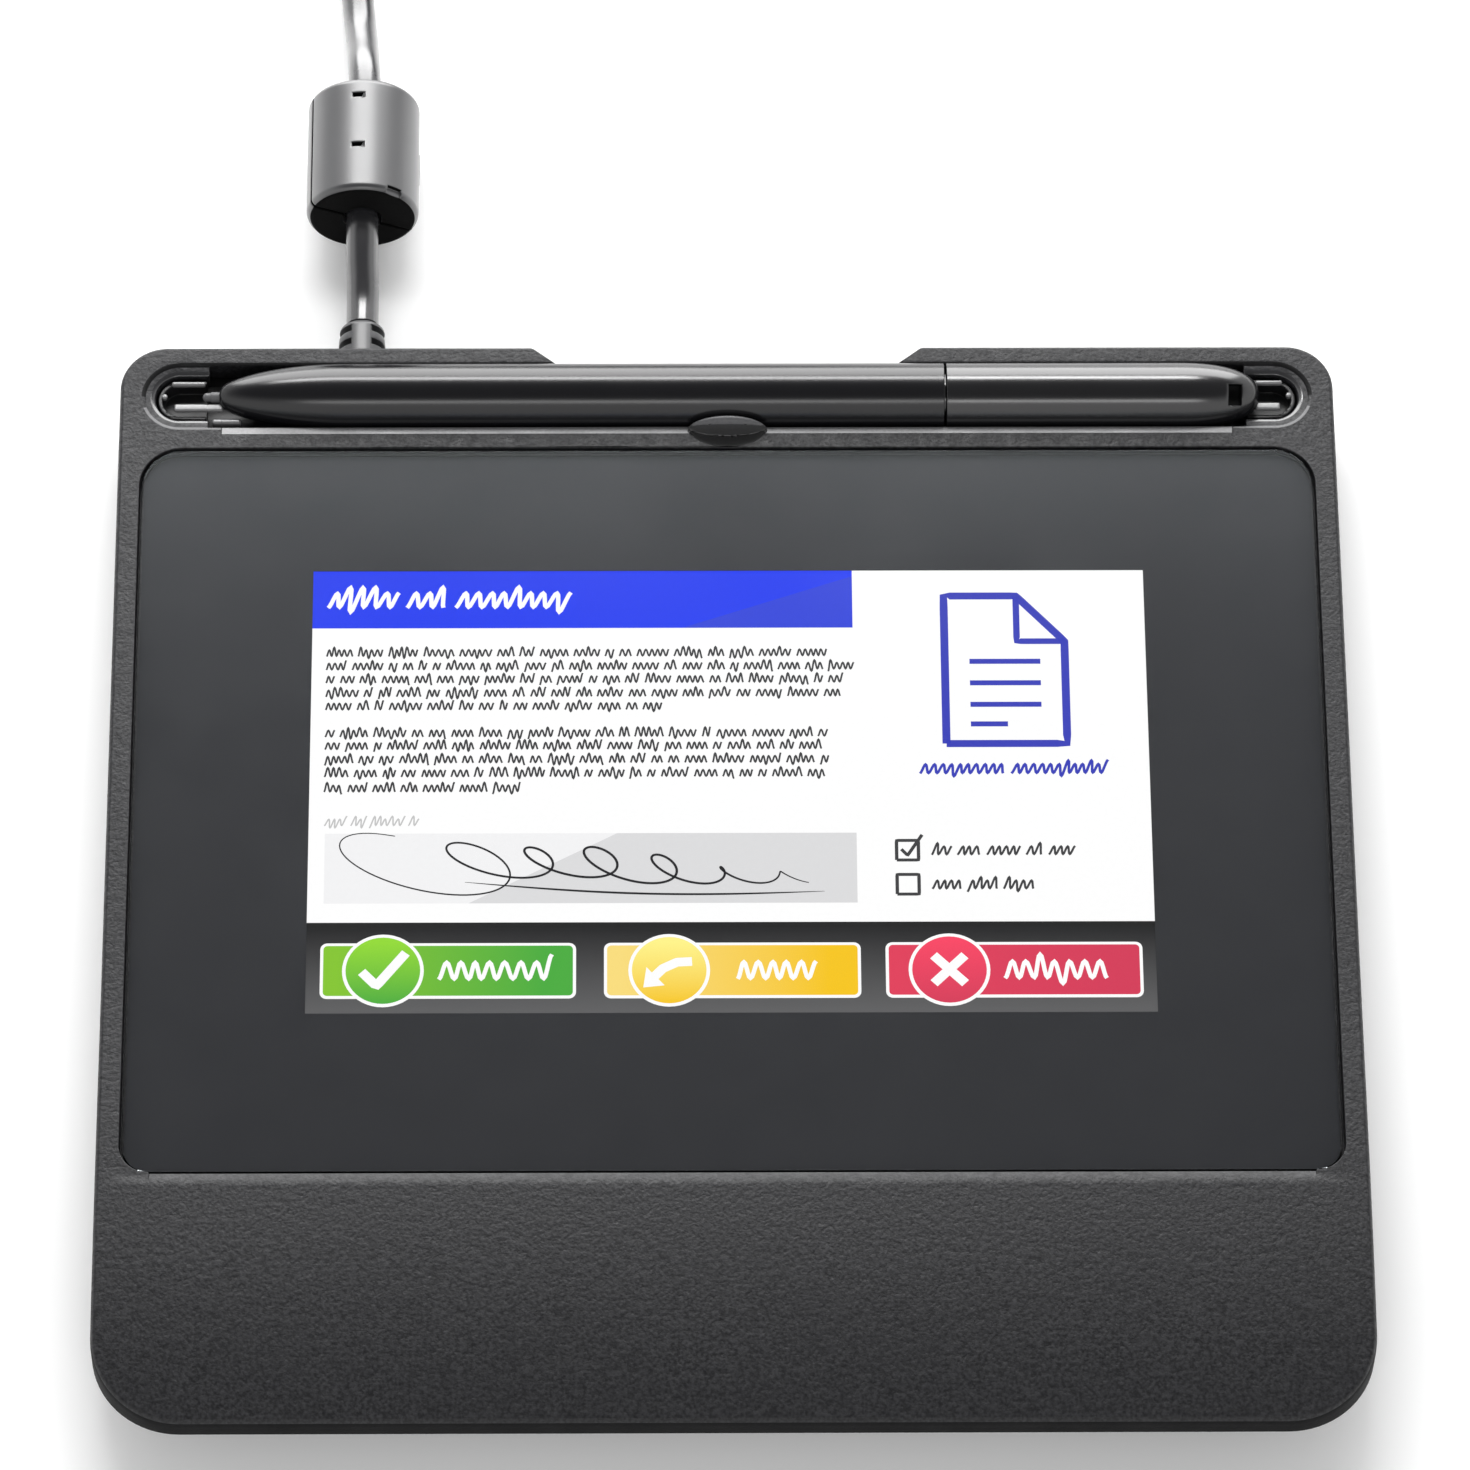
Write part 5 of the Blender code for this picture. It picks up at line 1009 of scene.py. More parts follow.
def plug_shell(start, y):
    """The steel shell, open at its end, with two windows through it."""
    steel = finish("steel_sheet")
    size = (PLUG_SHELL_LENGTH, PLUG_SHELL_WIDTH, PLUG_SHELL_THICKNESS)
    end = start + PLUG_SHELL_LENGTH
    middle = (start + end) / 2
    shell = block("plug_shell_formed", size, (middle, y, PLUG_HEIGHT), steel)
    bore_length = PLUG_SHELL_LENGTH + OVERRUN
    bore_x = start + PLUG_SHELL_WALL + bore_length / 2
    cut(shell, block("shell_bore", (bore_length, *PLUG_BORE), (bore_x, y, PLUG_HEIGHT), steel))
    window = PLUG_SHELL_WIDTH / 5
    window_size = (window, window, 2 * PLUG_SHELL_THICKNESS)
    for side in (-1, 1):
        place = (middle, y + side * window, PLUG_HEIGHT)
        cut(shell, block(f"shell_window_{side}", window_size, place, steel))
    return settle(shell, edge=SOFT_EDGE)


def plug_tongue(start, y):
    """The tongue with the contacts, against the upper side of the shell."""
    width, height = PLUG_BORE
    length = PLUG_SHELL_LENGTH - PLUG_SHELL_WALL - 2 * FIT
    size = (length, width - 2 * FIT, PLUG_TONGUE_THICKNESS)
    x = start + PLUG_SHELL_WALL + FIT + length / 2
    z = PLUG_HEIGHT + height / 2 - FIT - PLUG_TONGUE_THICKNESS / 2
    tongue = block("plug_tongue_moulded", size, (x, y, z), finish("socket_ivory"))
    return settle(tongue, edge=0.0001)


def make_lead_tie():
    """The hook and loop strap round all turns of the coil."""
    low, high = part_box("lead_tie")
    material = finish("rubber_black")
    corner = TIE_THICKNESS * 4
    size = high - low
    middle = (low + high) / 2
    outer = strap("coil_strap", size, corner, middle, material)
    thin = Vector((2 * TIE_THICKNESS, -2 * OVERRUN, 2 * TIE_THICKNESS))
    cut(outer, strap("strap_hollow", size - thin, corner - TIE_THICKNESS, middle, material))
    settle(outer, edge=SOFT_EDGE)
    return dressed(outer, "pad", "rubber_black", "lead_tie")


def strap(name, size, corner, place, material):
    outline = half_outline(size.x / 2, -size.z / 2, size.z / 2, corner, corner)
    made = prism(name, outline, -size.y / 2, size.y / 2, material)
    made.rotation_euler.x = math.pi / 2
    made.location = place
    return made


def make_strain_relief():
    """The moulded relief that holds the lead in the rear wall, with ribbed sides."""
    material = finish("relief_rubber")
    inner = REAR_FACE_Y - SIDE_WALL - FIT
    outer = REAR_FACE_Y + FIT
    end = outer + RELIEF_LENGTH
    profile = [
        (0, inner - RELIEF_FLANGE_THICKNESS),
        (RELIEF_FLANGE_RADIUS, inner - RELIEF_FLANGE_THICKNESS),
        (RELIEF_FLANGE_RADIUS, inner),
        (RELIEF_NECK_RADIUS, inner),
        (RELIEF_NECK_RADIUS, outer),
        (RELIEF_RADIUS, outer),
    ]
    for turn in quarter(EDGE_STEPS):
        radius = RELIEF_END_RADIUS - RELIEF_END_ROUND * (1 - math.cos(turn))
        profile.append((radius, end - RELIEF_END_ROUND * (1 - math.sin(turn))))
    profile.append((0, end))
    relief = turned("ribbed_relief", profile, material, SMALL_SIDES)
    along_y(relief, LEAD_EXIT_X, LEAD_EXIT_HEIGHT)
    size = (RELIEF_RADIUS, RELIEF_SLOT_LENGTH, 2 * RELIEF_RADIUS + OVERRUN)
    for row, behind in enumerate(RELIEF_SLOT_PLACES):
        for side in (-1, 1):
            x = LEAD_EXIT_X + side * (RELIEF_SPINE + RELIEF_RADIUS) / 2
            place = (x, outer + behind, LEAD_EXIT_HEIGHT)
            cut(relief, block(f"relief_slot_{row}_{side:+d}", size, place, material))
    settle(relief, edge=SOFT_EDGE)
    return dressed(relief, "pad", "lead_jacket", "strain_relief")


# Ferrite
def half_keeper(name, upper, material):
    reach = 2 * FERRITE_RADIUS
    sign = 1 if upper else -1
    size = (2 * reach, FERRITE_LENGTH + reach, reach)
    return block(name, size, (0, 0, sign * (reach + FERRITE_SPLIT) / 2), material)


def make_ferrite():
    """The two case halves of the snap-on ferrite, hinged on the left and latched on the right."""
    place = bpy.data.objects.new("ferrite_place", None)
    middle = Vector((FERRITE_X, FERRITE_MIDDLE_Y, FERRITE_HEIGHT))
    place.location = middle
    place.rotation_euler.y = FERRITE_ROLL
    bpy.context.scene.collection.objects.link(place)
    half = FERRITE_LENGTH / 2
    profile = [(0, -half)]
    rounded = []
    for turn in quarter(EDGE_STEPS):
        radius = FERRITE_RADIUS - FERRITE_EDGE * (1 - math.sin(turn))
        rounded.append((radius, half - FERRITE_EDGE * (1 - math.cos(turn))))
    profile += [(radius, -height) for radius, height in rounded]
    for window_y in FERRITE_WINDOW_PLACES:
        profile += [(FERRITE_RADIUS, window_y + side * FERRITE_WINDOW_WIDTH) for side in (-1, 1)]
    profile += [(radius, height) for radius, height in reversed(rounded)]
    profile.append((0, half))
    core_radius = FERRITE_RADIUS - FERRITE_WALL
    core_half = half - FERRITE_WALL
    material = finish("ferrite_case_grey")
    made = []

    def lie_on_lead(piece):
        piece.parent = place
        return piece

    for name, upper in (("lid", True), ("base", False)):
        case = lie_on_lead(along_y(turned(f"ferrite_case_{name}", profile, material), 0, 0))
        keeper = lie_on_lead(half_keeper(f"keeper_{name}", upper, material))
        pocket = rod(f"core_pocket_{name}", core_radius, -core_half, core_half, material)
        bore = rod(f"lead_bore_{name}", FERRITE_BORE, -half - OVERRUN, half + OVERRUN, material)
        combine(case, keeper, "INTERSECT")
        cut(case, lie_on_lead(along_y(pocket, 0, 0)), lie_on_lead(along_y(bore, 0, 0)))
        if upper:
            add_lid_details(case, lie_on_lead, material)
        made.append(case)
    settle(*made, edge=0.00015)
    bpy.data.objects.remove(place)
    # The near end faces are painted black as painted shade; the parting faces are black as the dark
    # joint
    across = Vector((math.sin(FERRITE_ROLL), 0, math.cos(FERRITE_ROLL)))
    for case in made:
        case.data.materials.append(finish("ferrite_end_black"))
        for face in case.data.polygons:
            beside_split = abs((face.center - middle).dot(across)) < FERRITE_SPLIT
            parting = beside_split and abs(face.normal.dot(across)) > FERRITE_PARTING_NORMAL
            face.material_index = int(face.normal.y < FERRITE_END_NORMAL or parting)
    dressed(made[0], "ferrite_cover", "ferrite_case_grey", "ferrite_lid")
    dressed(made[1], "pad", "ferrite_case_grey", "ferrite_base")
    return made


def add_lid_details(case, lie_on_lead, material):
    """The latch that hooks over the base, and the windows over the core's clips."""
    hook_x = FERRITE_RADIUS - LATCH_THICKNESS / 3
    size = (LATCH_THICKNESS, LATCH_LENGTH, 2 * LATCH_REACH)
    hook = block("latch_hook", size, (hook_x, 0, 0), material)
    inner = FERRITE_RADIUS - FERRITE_WALL / 2
    start = math.sqrt(inner * inner - LATCH_REACH * LATCH_REACH)
    high = LATCH_REACH - FIT
    size = (hook_x - start, LATCH_LENGTH - 2 * FIT, high - FERRITE_SPLIT)
    middle = ((hook_x + start) / 2, 0, (high + FERRITE_SPLIT) / 2)
    root = block("latch_root", size, middle, material)
    join(case, lie_on_lead(hook), lie_on_lead(root))
    size = (FERRITE_WINDOW_LENGTH, FERRITE_WINDOW_WIDTH, 3 * FERRITE_WALL)
    notches = [
        (f"clip_window_{index}", size, FERRITE_WINDOW_TURN, y)
        for index, y in enumerate(FERRITE_WINDOW_PLACES)
    ]
    notches.append(("catch_notch", FERRITE_CATCH_SIZE, FERRITE_CATCH_TURN, -FERRITE_LENGTH / 2))
    for name, size, turn, y in notches:
        place = (FERRITE_RADIUS * math.sin(turn), y, FERRITE_RADIUS * math.cos(turn))
        cutter = block(name, size, place, material)
        cutter.rotation_euler.y = turn
        cut(case, lie_on_lead(cutter))


# Casing
def crown(y):
    """Height of the top surface at y: flat round the glass, rising to the palm rest."""
    if y > PALM_REAR_Y:
        return TOP_PLANE + PALM_RISE * smooth_step(1 - (y - PALM_REAR_Y) / PALM_RAMP)
    share = (PALM_REAR_Y - y) / (PALM_REAR_Y - FRONT_FACE_Y)
    return TOP_PLANE + PALM_RISE - PALM_DROP * share**PALM_CURVE_POWER


def side_stations():
    straight = PALM_REAR_Y - FRONT_FACE_Y - FRONT_CORNER
    palm = [PALM_REAR_Y - straight * (1 - i / PALM_STATIONS) for i in range(1, PALM_STATIONS + 1)]
    ramp = [PALM_REAR_Y + PALM_RAMP * i / PALM_STATIONS for i in range(1, PALM_STATIONS + 1)]
    return palm + ramp


def body_outline(inset, front_inset=None, rear_inset=None):
    front_inset = inset if front_inset is None else front_inset
    rear_inset = inset if rear_inset is None else rear_inset
    return half_outline(
        BODY_WIDTH / 2 - inset,
        FRONT_FACE_Y + front_inset,
        REAR_FACE_Y - rear_inset,
        max(FRONT_CORNER - inset, EDGE_ROUND),
        max(REAR_CORNER - inset, EDGE_ROUND),
        side_stations(),
    )


def edge_drop(y):
    share = smooth_step((PALM_REAR_Y - y) / (PALM_REAR_Y - FRONT_FACE_Y))
    return EDGE_ROUND + (FRONT_EDGE_DROP - EDGE_ROUND) * share


def housing_skin(name, material):
    rings = [level_ring(body_outline(SIDE_UNDERCUT, rear_inset=0), SEAM_HEIGHT)]
    rings.append(level_ring(body_outline(0), VISUAL_EDGE_HEIGHT))
    for turn in quarter(EDGE_STEPS + 1):
        outline = body_outline(TOP_EDGE_ROUND * (1 - math.cos(turn)))
        rise = 1 - math.sin(turn)
        rings.append([(x, y, crown(y) - edge_drop(y) * rise) for x, y in outline])
    return loft(name, rings, material)


def housing_hollow(name, material):
    outline = body_outline(SIDE_WALL, SIDE_WALL, SIDE_WALL)
    low = body_outline(SIDE_WALL + SIDE_UNDERCUT, rear_inset=SIDE_WALL)
    rings = [
        level_ring(low, SEAM_HEIGHT - OVERRUN),
        level_ring(low, SEAM_HEIGHT),
        level_ring(outline, EDGE_HEIGHT),
        [(x, y, min(DECK_UNDERSIDE, crown(y) - TOP_WALL)) for x, y in outline],
    ]
    return loft(name, rings, material)


def glass_outline(grow):
    return half_outline(
        GLASS_WIDTH / 2 + grow,
        GLASS_MIDDLE_Y - GLASS_DEPTH / 2 - grow,
        GLASS_MIDDLE_Y + GLASS_DEPTH / 2 + grow,
        GLASS_FRONT_CORNER + grow,
        GLASS_REAR_CORNER + grow,
    )


def palm_bevel(name, material):
    front = PALM_REAR_Y - PALM_BEVEL
    section = (
        (PALM_REAR_Y + OVERRUN, TOP_PLANE),
        (PALM_REAR_Y, TOP_PLANE),
        (front, crown(front)),
        (front, TOP_PLANE + OVERRUN),
        (PALM_REAR_Y + OVERRUN, TOP_PLANE + OVERRUN),
    )
    half = GLASS_WIDTH / 2 - GLASS_FRONT_CORNER
    return extruded(name, section, -half, half, material)


def channel_bevel(name, material):
    """The rounded edge of the deck in front of the pen."""
    section = [(y, TOP_PLANE - depth) for y, depth in CHANNEL_EDGE]
    section += [(y, TOP_PLANE + OVERRUN) for y in (CHANNEL_EDGE[-1][0], CHANNEL_EDGE[0][0])]
    return extruded(name, section, -LIGHT_EDGE_HALF_LENGTH, LIGHT_EDGE_HALF_LENGTH, material)


def stadium(half_length, radius):
    return half_outline(
        half_length + radius, TRAY_MIDDLE_Y - radius, TRAY_MIDDLE_Y + radius, radius, radius
    )


def well_slope(name, material):
    """The slopes round the channel and its end wells: a steep edge, a ledge and a steep rim."""
    ledge_radius, ledge_depth = WELL_LEDGE[-1]
    grow = (WELL_EDGE_RADIUS - ledge_radius) * OVERRUN / ledge_depth
    levels = [(WELL_RADIUS, TOP_PLANE - WELL_SLOPE_DEPTH)]
    levels += [(radius, TOP_PLANE - depth) for radius, depth in WELL_LEDGE]
    levels.append((WELL_EDGE_RADIUS + grow, TOP_PLANE + OVERRUN))
    rings = [level_ring(stadium(TRAY_HALF_LENGTH, radius), z) for radius, z in levels]
    return loft(name, rings, material)


def notch(name, grow, material):
    start = TRAY_MIDDLE_Y + CHANNEL_RADIUS
    reach = REAR_FACE_Y + OVERRUN - start
    slope = (NOTCH_REAR_HALF_WIDTH - NOTCH_HALF_WIDTH) / (REAR_FACE_Y - start)
    outline = [
        (NOTCH_HALF_WIDTH + grow, TRAY_MIDDLE_Y + CHANNEL_RADIUS / 2),
        (NOTCH_HALF_WIDTH + grow, start),
        (NOTCH_HALF_WIDTH + grow + slope * reach, REAR_FACE_Y + OVERRUN),
    ]
    return prism(name, outline, NOTCH_FLOOR, TOP_PLANE + 2 * OVERRUN, material)


def oval_ball(name, size, place, material, lean=0.0):
    bm = bmesh.new()
    bmesh.ops.create_uvsphere(bm, u_segments=SMALL_SIDES, v_segments=SMALL_SIDES // 2, radius=1)
    bmesh.ops.scale(bm, vec=size, verts=bm.verts)
    obj = mesh_object(name, bm, material)
    obj.location = place
    obj.rotation_euler.x = lean
    return obj


def relief_bore(name, material):
    wide = RELIEF_FLANGE_RADIUS + FIT
    narrow = RELIEF_NECK_RADIUS + FIT
    room_end = REAR_FACE_Y - SIDE_WALL + FIT / 2
    room_start = room_end - RELIEF_ROOM
    end = REAR_FACE_Y + OVERRUN
    profile = (
        (0, room_start),
        (wide, room_start),
        (wide, room_end),
        (narrow, room_end),
        (narrow, end),
        (0, end),
    )
    return along_y(turned(name, profile, material, SMALL_SIDES), LEAD_EXIT_X, LEAD_EXIT_HEIGHT)


def make_upper_casing():
    material = finish("casing_plastic")
    housing = housing_skin("upper_casing", material)
    cut(housing, housing_hollow("housing_hollow", material))
    boss_top = DECK_UNDERSIDE + OVERRUN / 2
    for index, place in enumerate(SCREW_PLACES):
        boss = rod(f"boss_{index}", BOSS_RADIUS, SEAM_HEIGHT, boss_top, material, SMALL_SIDES)
        join(housing, set_at(boss, place))
    high = TOP_PLANE + OVERRUN
    low = SEAM_HEIGHT
    pocket = prism("glass_pocket", glass_outline(FIT), DECK_TOP, high, material)
    window = plate(
        "display_window",
        FRAME_WIDTH + 2 * FIT,
        FRAME_DEPTH + 2 * FIT,
        FRAME_CORNER + FIT,
        low,
        high,
        material,
        (0, DISPLAY_MIDDLE_Y),
    )
    channel_size = (2 * CHANNEL_HALF_LENGTH, 2 * CHANNEL_RADIUS, high - low)
    channel = block("pen_channel", channel_size, (0, TRAY_MIDDLE_Y, (high + low) / 2), material)
    wells = prism("end_wells", stadium(TRAY_HALF_LENGTH, WELL_RADIUS), low, high, material)
    lip = oval_ball("dish_lip", DISH_LIP_SIZE, (0, DISH_LIP_Y, TOP_PLANE), material, DISH_LEAN)
    cut(housing, pocket, palm_bevel("palm_slope", material))
    cut(housing, channel_bevel("channel_slope", material), window)
    cut(housing, well_slope("well_slope", material), wells, channel)
    join(housing, lip)
    scoop_place = (0, DISH_SCOOP_Y, TOP_PLANE + DISH_SCOOP_RISE)
    scoop = oval_ball("dish_scoop", DISH_SCOOP_SIZE, scoop_place, material)
    wall_size = Vector(DISH_LIP_SIZE) * 4
    wall = block("dish_wall", wall_size, (0, DISH_WALL_Y, TOP_PLANE), material)
    wall.rotation_euler.x = DISH_LEAN
    wall.location.y += wall_size.y / 2 * math.cos(DISH_LEAN)
    wall.location.z += wall_size.y / 2 * math.sin(DISH_LEAN)
    cut(scoop, wall)
    cut(housing, scoop)
    cut(housing, notch("finger_notch", 0, material))
    cut(housing, relief_bore("relief_bore_top", material))
    settle(housing, edge=SOFT_EDGE)
    for slot in CASING_FINISHES:
        housing.data.materials.append(finish(slot))
    for face in housing.data.polygons:
        face.material_index = casing_zone(face)
    return dressed(housing, "pad", "casing_plastic", "top_housing")


def casing_zone(face):
    """Which finish a face of the casing has: its grain, a glossier rim, or painted shade and
    painted highlights.
    """
    x, y, z = abs(face.center.x), face.center.y, face.center.z
    depth = TOP_PLANE - z
    # Painted shade and highlight: the dish's scoop has a tone of its own for the hollow's shade and
    # soft highlight
    away = face.center - Vector((0, DISH_SCOOP_Y, TOP_PLANE + DISH_SCOOP_RISE))
    share = sum((away[i] / DISH_SCOOP_SIZE[i]) ** 2 for i in range(3))
    if share < DISH_SHARE and abs(depth) > FLUSH:
        return PAINTED_DISH
    # Painted highlight: the dish's raised lip is a lighter grey
    if z > TOP_PLANE + FIT and x < DISH_LIP_SIZE[0] and y > DISH_SCOOP_Y - DISH_LIP_SIZE[1]:
        return PAINTED_HIGHLIGHT
    facing_up = face.normal.z > FACING_UP
    # Painted highlight: the rounded edge of the deck in front of the pen is a pale grey
    before_pen = CHANNEL_EDGE[1][0] < y < CHANNEL_EDGE[3][0] and x < LIGHT_EDGE_HALF_LENGTH
    if before_pen and facing_up and TOP_PLANE > z > TOP_PLANE - CHANNEL_EDGE[3][1]:
        return BEVEL
    radius = math.hypot(max(x - TRAY_HALF_LENGTH, 0), y - TRAY_MIDDLE_Y)
    if y > 0 and radius < WELL_EDGE_RADIUS and facing_up and depth > SUNK:
        rim, ledge, bend, lip = (deep for _, deep in WELL_LEDGE)
        if rim > depth > ledge:
            return RIM
        # Painted shade on the ledge's rear half, and a painted highlight on its front part below
        if y > TRAY_MIDDLE_Y and depth < bend:
            return PAINTED_SHADE
        if depth < lip:
            return PAINTED_HIGHLIGHT if y < TRAY_MIDDLE_Y - WELL_RADIUS / 2 else GRAINED
    # Painted shade: black on the pocket's front rim, which hides a glint there, on the upright
    # flanks and on the undercut below the edge
    pocket_front = face.normal.y > UPRIGHT and y < 0 and z > DECK_TOP
    flank = x > GLASS_WIDTH / 2 + PALM_BEVEL or y < PALM_REAR_Y - PALM_RAMP / 2
    upright = abs(face.normal.z) < UPRIGHT and (pocket_front or flank)
    return PAINTED_SHADE if upright or z < VISUAL_EDGE_HEIGHT else GRAINED


def make_lower_casing():
    # The lower casing is painted black all over: painted shade that goes on from the flanks above
    material = finish("casing_black")
    share = (BASE_TOP - FOOT_STAND) / (SEAM_HEIGHT - FOOT_STAND)
    rim_inset = BASE_UNDERCUT + (SIDE_UNDERCUT - BASE_UNDERCUT) * share
    knee = FOOT_STAND + BASE_CHAMFER
    knee_inset = BASE_UNDERCUT - BASE_CHAMFER
    levels = (
        (FOOT_STAND, BASE_UNDERCUT, BASE_REAR_UNDERCUT),
        (knee, knee_inset, 0),
        (BASE_TOP, rim_inset, 0),
    )
    rings = [level_ring(body_outline(inset, rear_inset=rear), z) for z, inset, rear in levels]
    base = loft("lower_casing", rings, material)
    inner = body_outline(knee_inset + SIDE_WALL, rear_inset=SIDE_WALL)
    rim = body_outline(rim_inset + SIDE_WALL, rear_inset=SIDE_WALL)
    hollow = ((inner, FLOOR_TOP), (rim, BASE_TOP), (rim, BASE_TOP + OVERRUN))
    cut(base, loft("base_hollow", [level_ring(outline, z) for outline, z in hollow], material))
    rods = (
        ("post", POST_RADIUS, FLOOR_TOP - OVERRUN / 2, BASE_TOP),
        ("recess", SCREW_HEAD_RADIUS + FIT, FOOT_STAND - OVERRUN, FLOOR_TOP),
        ("hole", SCREW_RADIUS + FIT, FOOT_STAND, BASE_TOP + OVERRUN),
    )
    for index, place in enumerate(SCREW_PLACES):
        for kind, radius, low, high in rods:
            made = rod(f"{kind}_{index}", radius, low, high, material, SMALL_SIDES)
            combine(base, set_at(made, place), "UNION" if kind == "post" else "DIFFERENCE")
    for index, place in enumerate(FOOT_PLACES):
        pocket = plate(
            f"foot_pocket_{index}",
            FOOT_LENGTH + 2 * FIT,
            FOOT_WIDTH + 2 * FIT,
            FOOT_WIDTH / 2 + FIT,
            FOOT_STAND - OVERRUN,
            FOOT_THICKNESS + FIT,
            material,
            place,
        )
        cut(base, pocket)
    cut(base, relief_bore("relief_bore_base", material))
    settle(base, edge=SOFT_EDGE)
    return dressed(base, "pad", "casing_plastic", "bottom_housing")


def make_feet():
    rubber = finish("rubber_black")
    half = FOOT_WIDTH / 2
    outline = half_outline(FOOT_LENGTH / 2, -half, half, half, half)
    for corner, place in zip(CORNERS, FOOT_PLACES):
        foot = prism(f"rubber_foot_{corner}", outline, 0, FOOT_THICKNESS, rubber, place)
        settle(foot, edge=0.0002, steps=3, limit=50)
        dressed(foot, "pad", "rubber_black", f"foot_{corner}")


def make_screws():
    head_top = FLOOR_TOP - FIT
    head_low = head_top - SCREW_HEAD_HEIGHT
    profile = (
        (0, head_low),
        (SCREW_HEAD_RADIUS, head_low),
        (SCREW_HEAD_RADIUS, head_top),
        (SCREW_RADIUS, head_top),
        (SCREW_RADIUS, head_top + SCREW_LENGTH),
        (0, head_top + SCREW_LENGTH),
    )
    material = finish("screw_steel")
    low, high, hexagon = head_low - OVERRUN, head_low + SCREW_HEAD_HEIGHT / 2, 6
    for corner, place in zip(CORNERS, SCREW_PLACES):
        name = f"screw_{corner}"
        screw = set_at(turned(f"steel_{name}", profile, material, SMALL_SIDES), place)
        drive = rod(f"drive_{name}", SCREW_DRIVE_RADIUS, low, high, material, hexagon)
        cut(screw, set_at(drive, place))
        settle(screw, edge=0.0001)
        dressed(screw, "pad", "screw_steel", name)


# Tray and anchors
def make_tray():
    """The trough under the channel, with its flange below the deck and the notch's sill."""
    # The trough is painted near black, painted shade inside the channel
    material = finish("tray_plastic")
    top = DECK_UNDERSIDE - FIT
    outer = CHANNEL_RADIUS + TROUGH_WALL
    flange_low = top - TROUGH_WALL
    start = math.asin((PEN_HEIGHT - flange_low) / outer)
    section = [(-TROUGH_FLANGE, top), (-TROUGH_FLANGE, flange_low)]
    for step in range(CORNER_STEPS + 1):
        turn = start + (math.pi - 2 * start) * step / CORNER_STEPS
        section.append((-outer * math.cos(turn), PEN_HEIGHT - outer * math.sin(turn)))
    section += [(TROUGH_FLANGE, flange_low), (TROUGH_FLANGE, top)]
    half = TRAY_HALF_LENGTH + WELL_RADIUS + TROUGH_END_WALL
    placed = [(TRAY_MIDDLE_Y + y, z) for y, z in section]
    trough = extruded("tray_trough", placed, -half, half, material)
    sill_rear = REAR_FACE_Y - SIDE_WALL - FIT
    sill_size = (2 * NOTCH_REAR_HALF_WIDTH, sill_rear - TRAY_MIDDLE_Y, NOTCH_SILL)
    sill_place = (0, (TRAY_MIDDLE_Y + sill_rear) / 2, NOTCH_FLOOR - NOTCH_SILL / 2)
    join(trough, block("notch_sill", sill_size, sill_place, material))
    inside = half - TROUGH_END_WALL
    hollow = rod("trough_hollow", CHANNEL_RADIUS, -inside, inside, material)
    cut(trough, along_x(hollow, TRAY_MIDDLE_Y, PEN_HEIGHT), notch("tray_notch", FIT, material))
    settle(trough)
    return dressed(trough, "pad", "tray_plastic", "pen_tray")


def make_tether_anchor(name, node, side, rails):
    """The insert in one end of the tray: a cup painted black for the shade in the well, with two
    rails and a pin that stand in it, painted light grey for their highlights.
    """
    material = finish("tray_plastic")
    high = TOP_PLANE - WELL_SLOPE_DEPTH - FIT
    radius = WELL_RADIUS - FIT
    low = high - ANCHOR_DEPTH
    cup = prism(f"{name}_insert", stadium(TRAY_HALF_LENGTH, radius), low, high, material)
    inner = stadium(TRAY_HALF_LENGTH, radius - ANCHOR_WALL)
    hollow = prism(f"{name}_hollow", inner, low + ANCHOR_FLOOR, high + OVERRUN, material)
    far = -side * (TRAY_HALF_LENGTH + WELL_RADIUS + OVERRUN)
    near = side * (CHANNEL_HALF_LENGTH + FIT)
    keep_out = (abs(near - far), 2 * WELL_RADIUS, ANCHOR_DEPTH + 2 * OVERRUN)
    middle = ((near + far) / 2, TRAY_MIDDLE_Y, (low + high) / 2)
    cut(cup, hollow)
    cut(cup, block(f"{name}_other", keep_out, middle, material))
    half = TRAY_HALF_LENGTH + WELL_RADIUS
    reach = CHANNEL_RADIUS - FIT
    section = [(TRAY_MIDDLE_Y - reach, TOP_PLANE), (TRAY_MIDDLE_Y - reach, PEN_HEIGHT)]
    for step in range(1, SMALL_SIDES // 2):
        turn = 2 * math.pi * step / SMALL_SIDES
        y = TRAY_MIDDLE_Y - reach * math.cos(turn)
        section.append((y, PEN_HEIGHT - reach * math.sin(turn)))
    section += [(TRAY_MIDDLE_Y + reach, PEN_HEIGHT), (TRAY_MIDDLE_Y + reach, TOP_PLANE)]
    combine(cup, extruded(f"{name}_trough", section, -half, half, material), "INTERSECT")
    settle(cup, edge=0.00018, steps=3)
    dressed(cup, "pad", "tray_plastic", node)
    # The rails and the pin are light grey, a painted highlight
    grey = finish("rail_grey")
    rail_top = TOP_PLANE - RAIL_TOP_SINK
    for place, width, (start, end) in zip(RAIL_PLACES, RAIL_WIDTHS, rails):
        size = (end - start, width, RAIL_HEIGHT)
        middle = ((start + end) / 2, TRAY_MIDDLE_Y + place, rail_top - RAIL_HEIGHT / 2)
        rail = block(f"{name}_rail_{'rear' if place > 0 else 'front'}", size, middle, grey)
        settle(rail, edge=0.00022, steps=4)
        dressed(rail, "pad", "rail_grey")
    place = (side * (TRAY_HALF_LENGTH + END_PIN_REACH), TRAY_MIDDLE_Y + END_PIN_REAR)
    pin = rod(f"{name}_pin", END_PIN_RADIUS, high - RAIL_HEIGHT, high, grey, SMALL_SIDES)
    settle(set_at(pin, place), edge=0.00015)
    dressed(pin, "pad", "rail_grey")


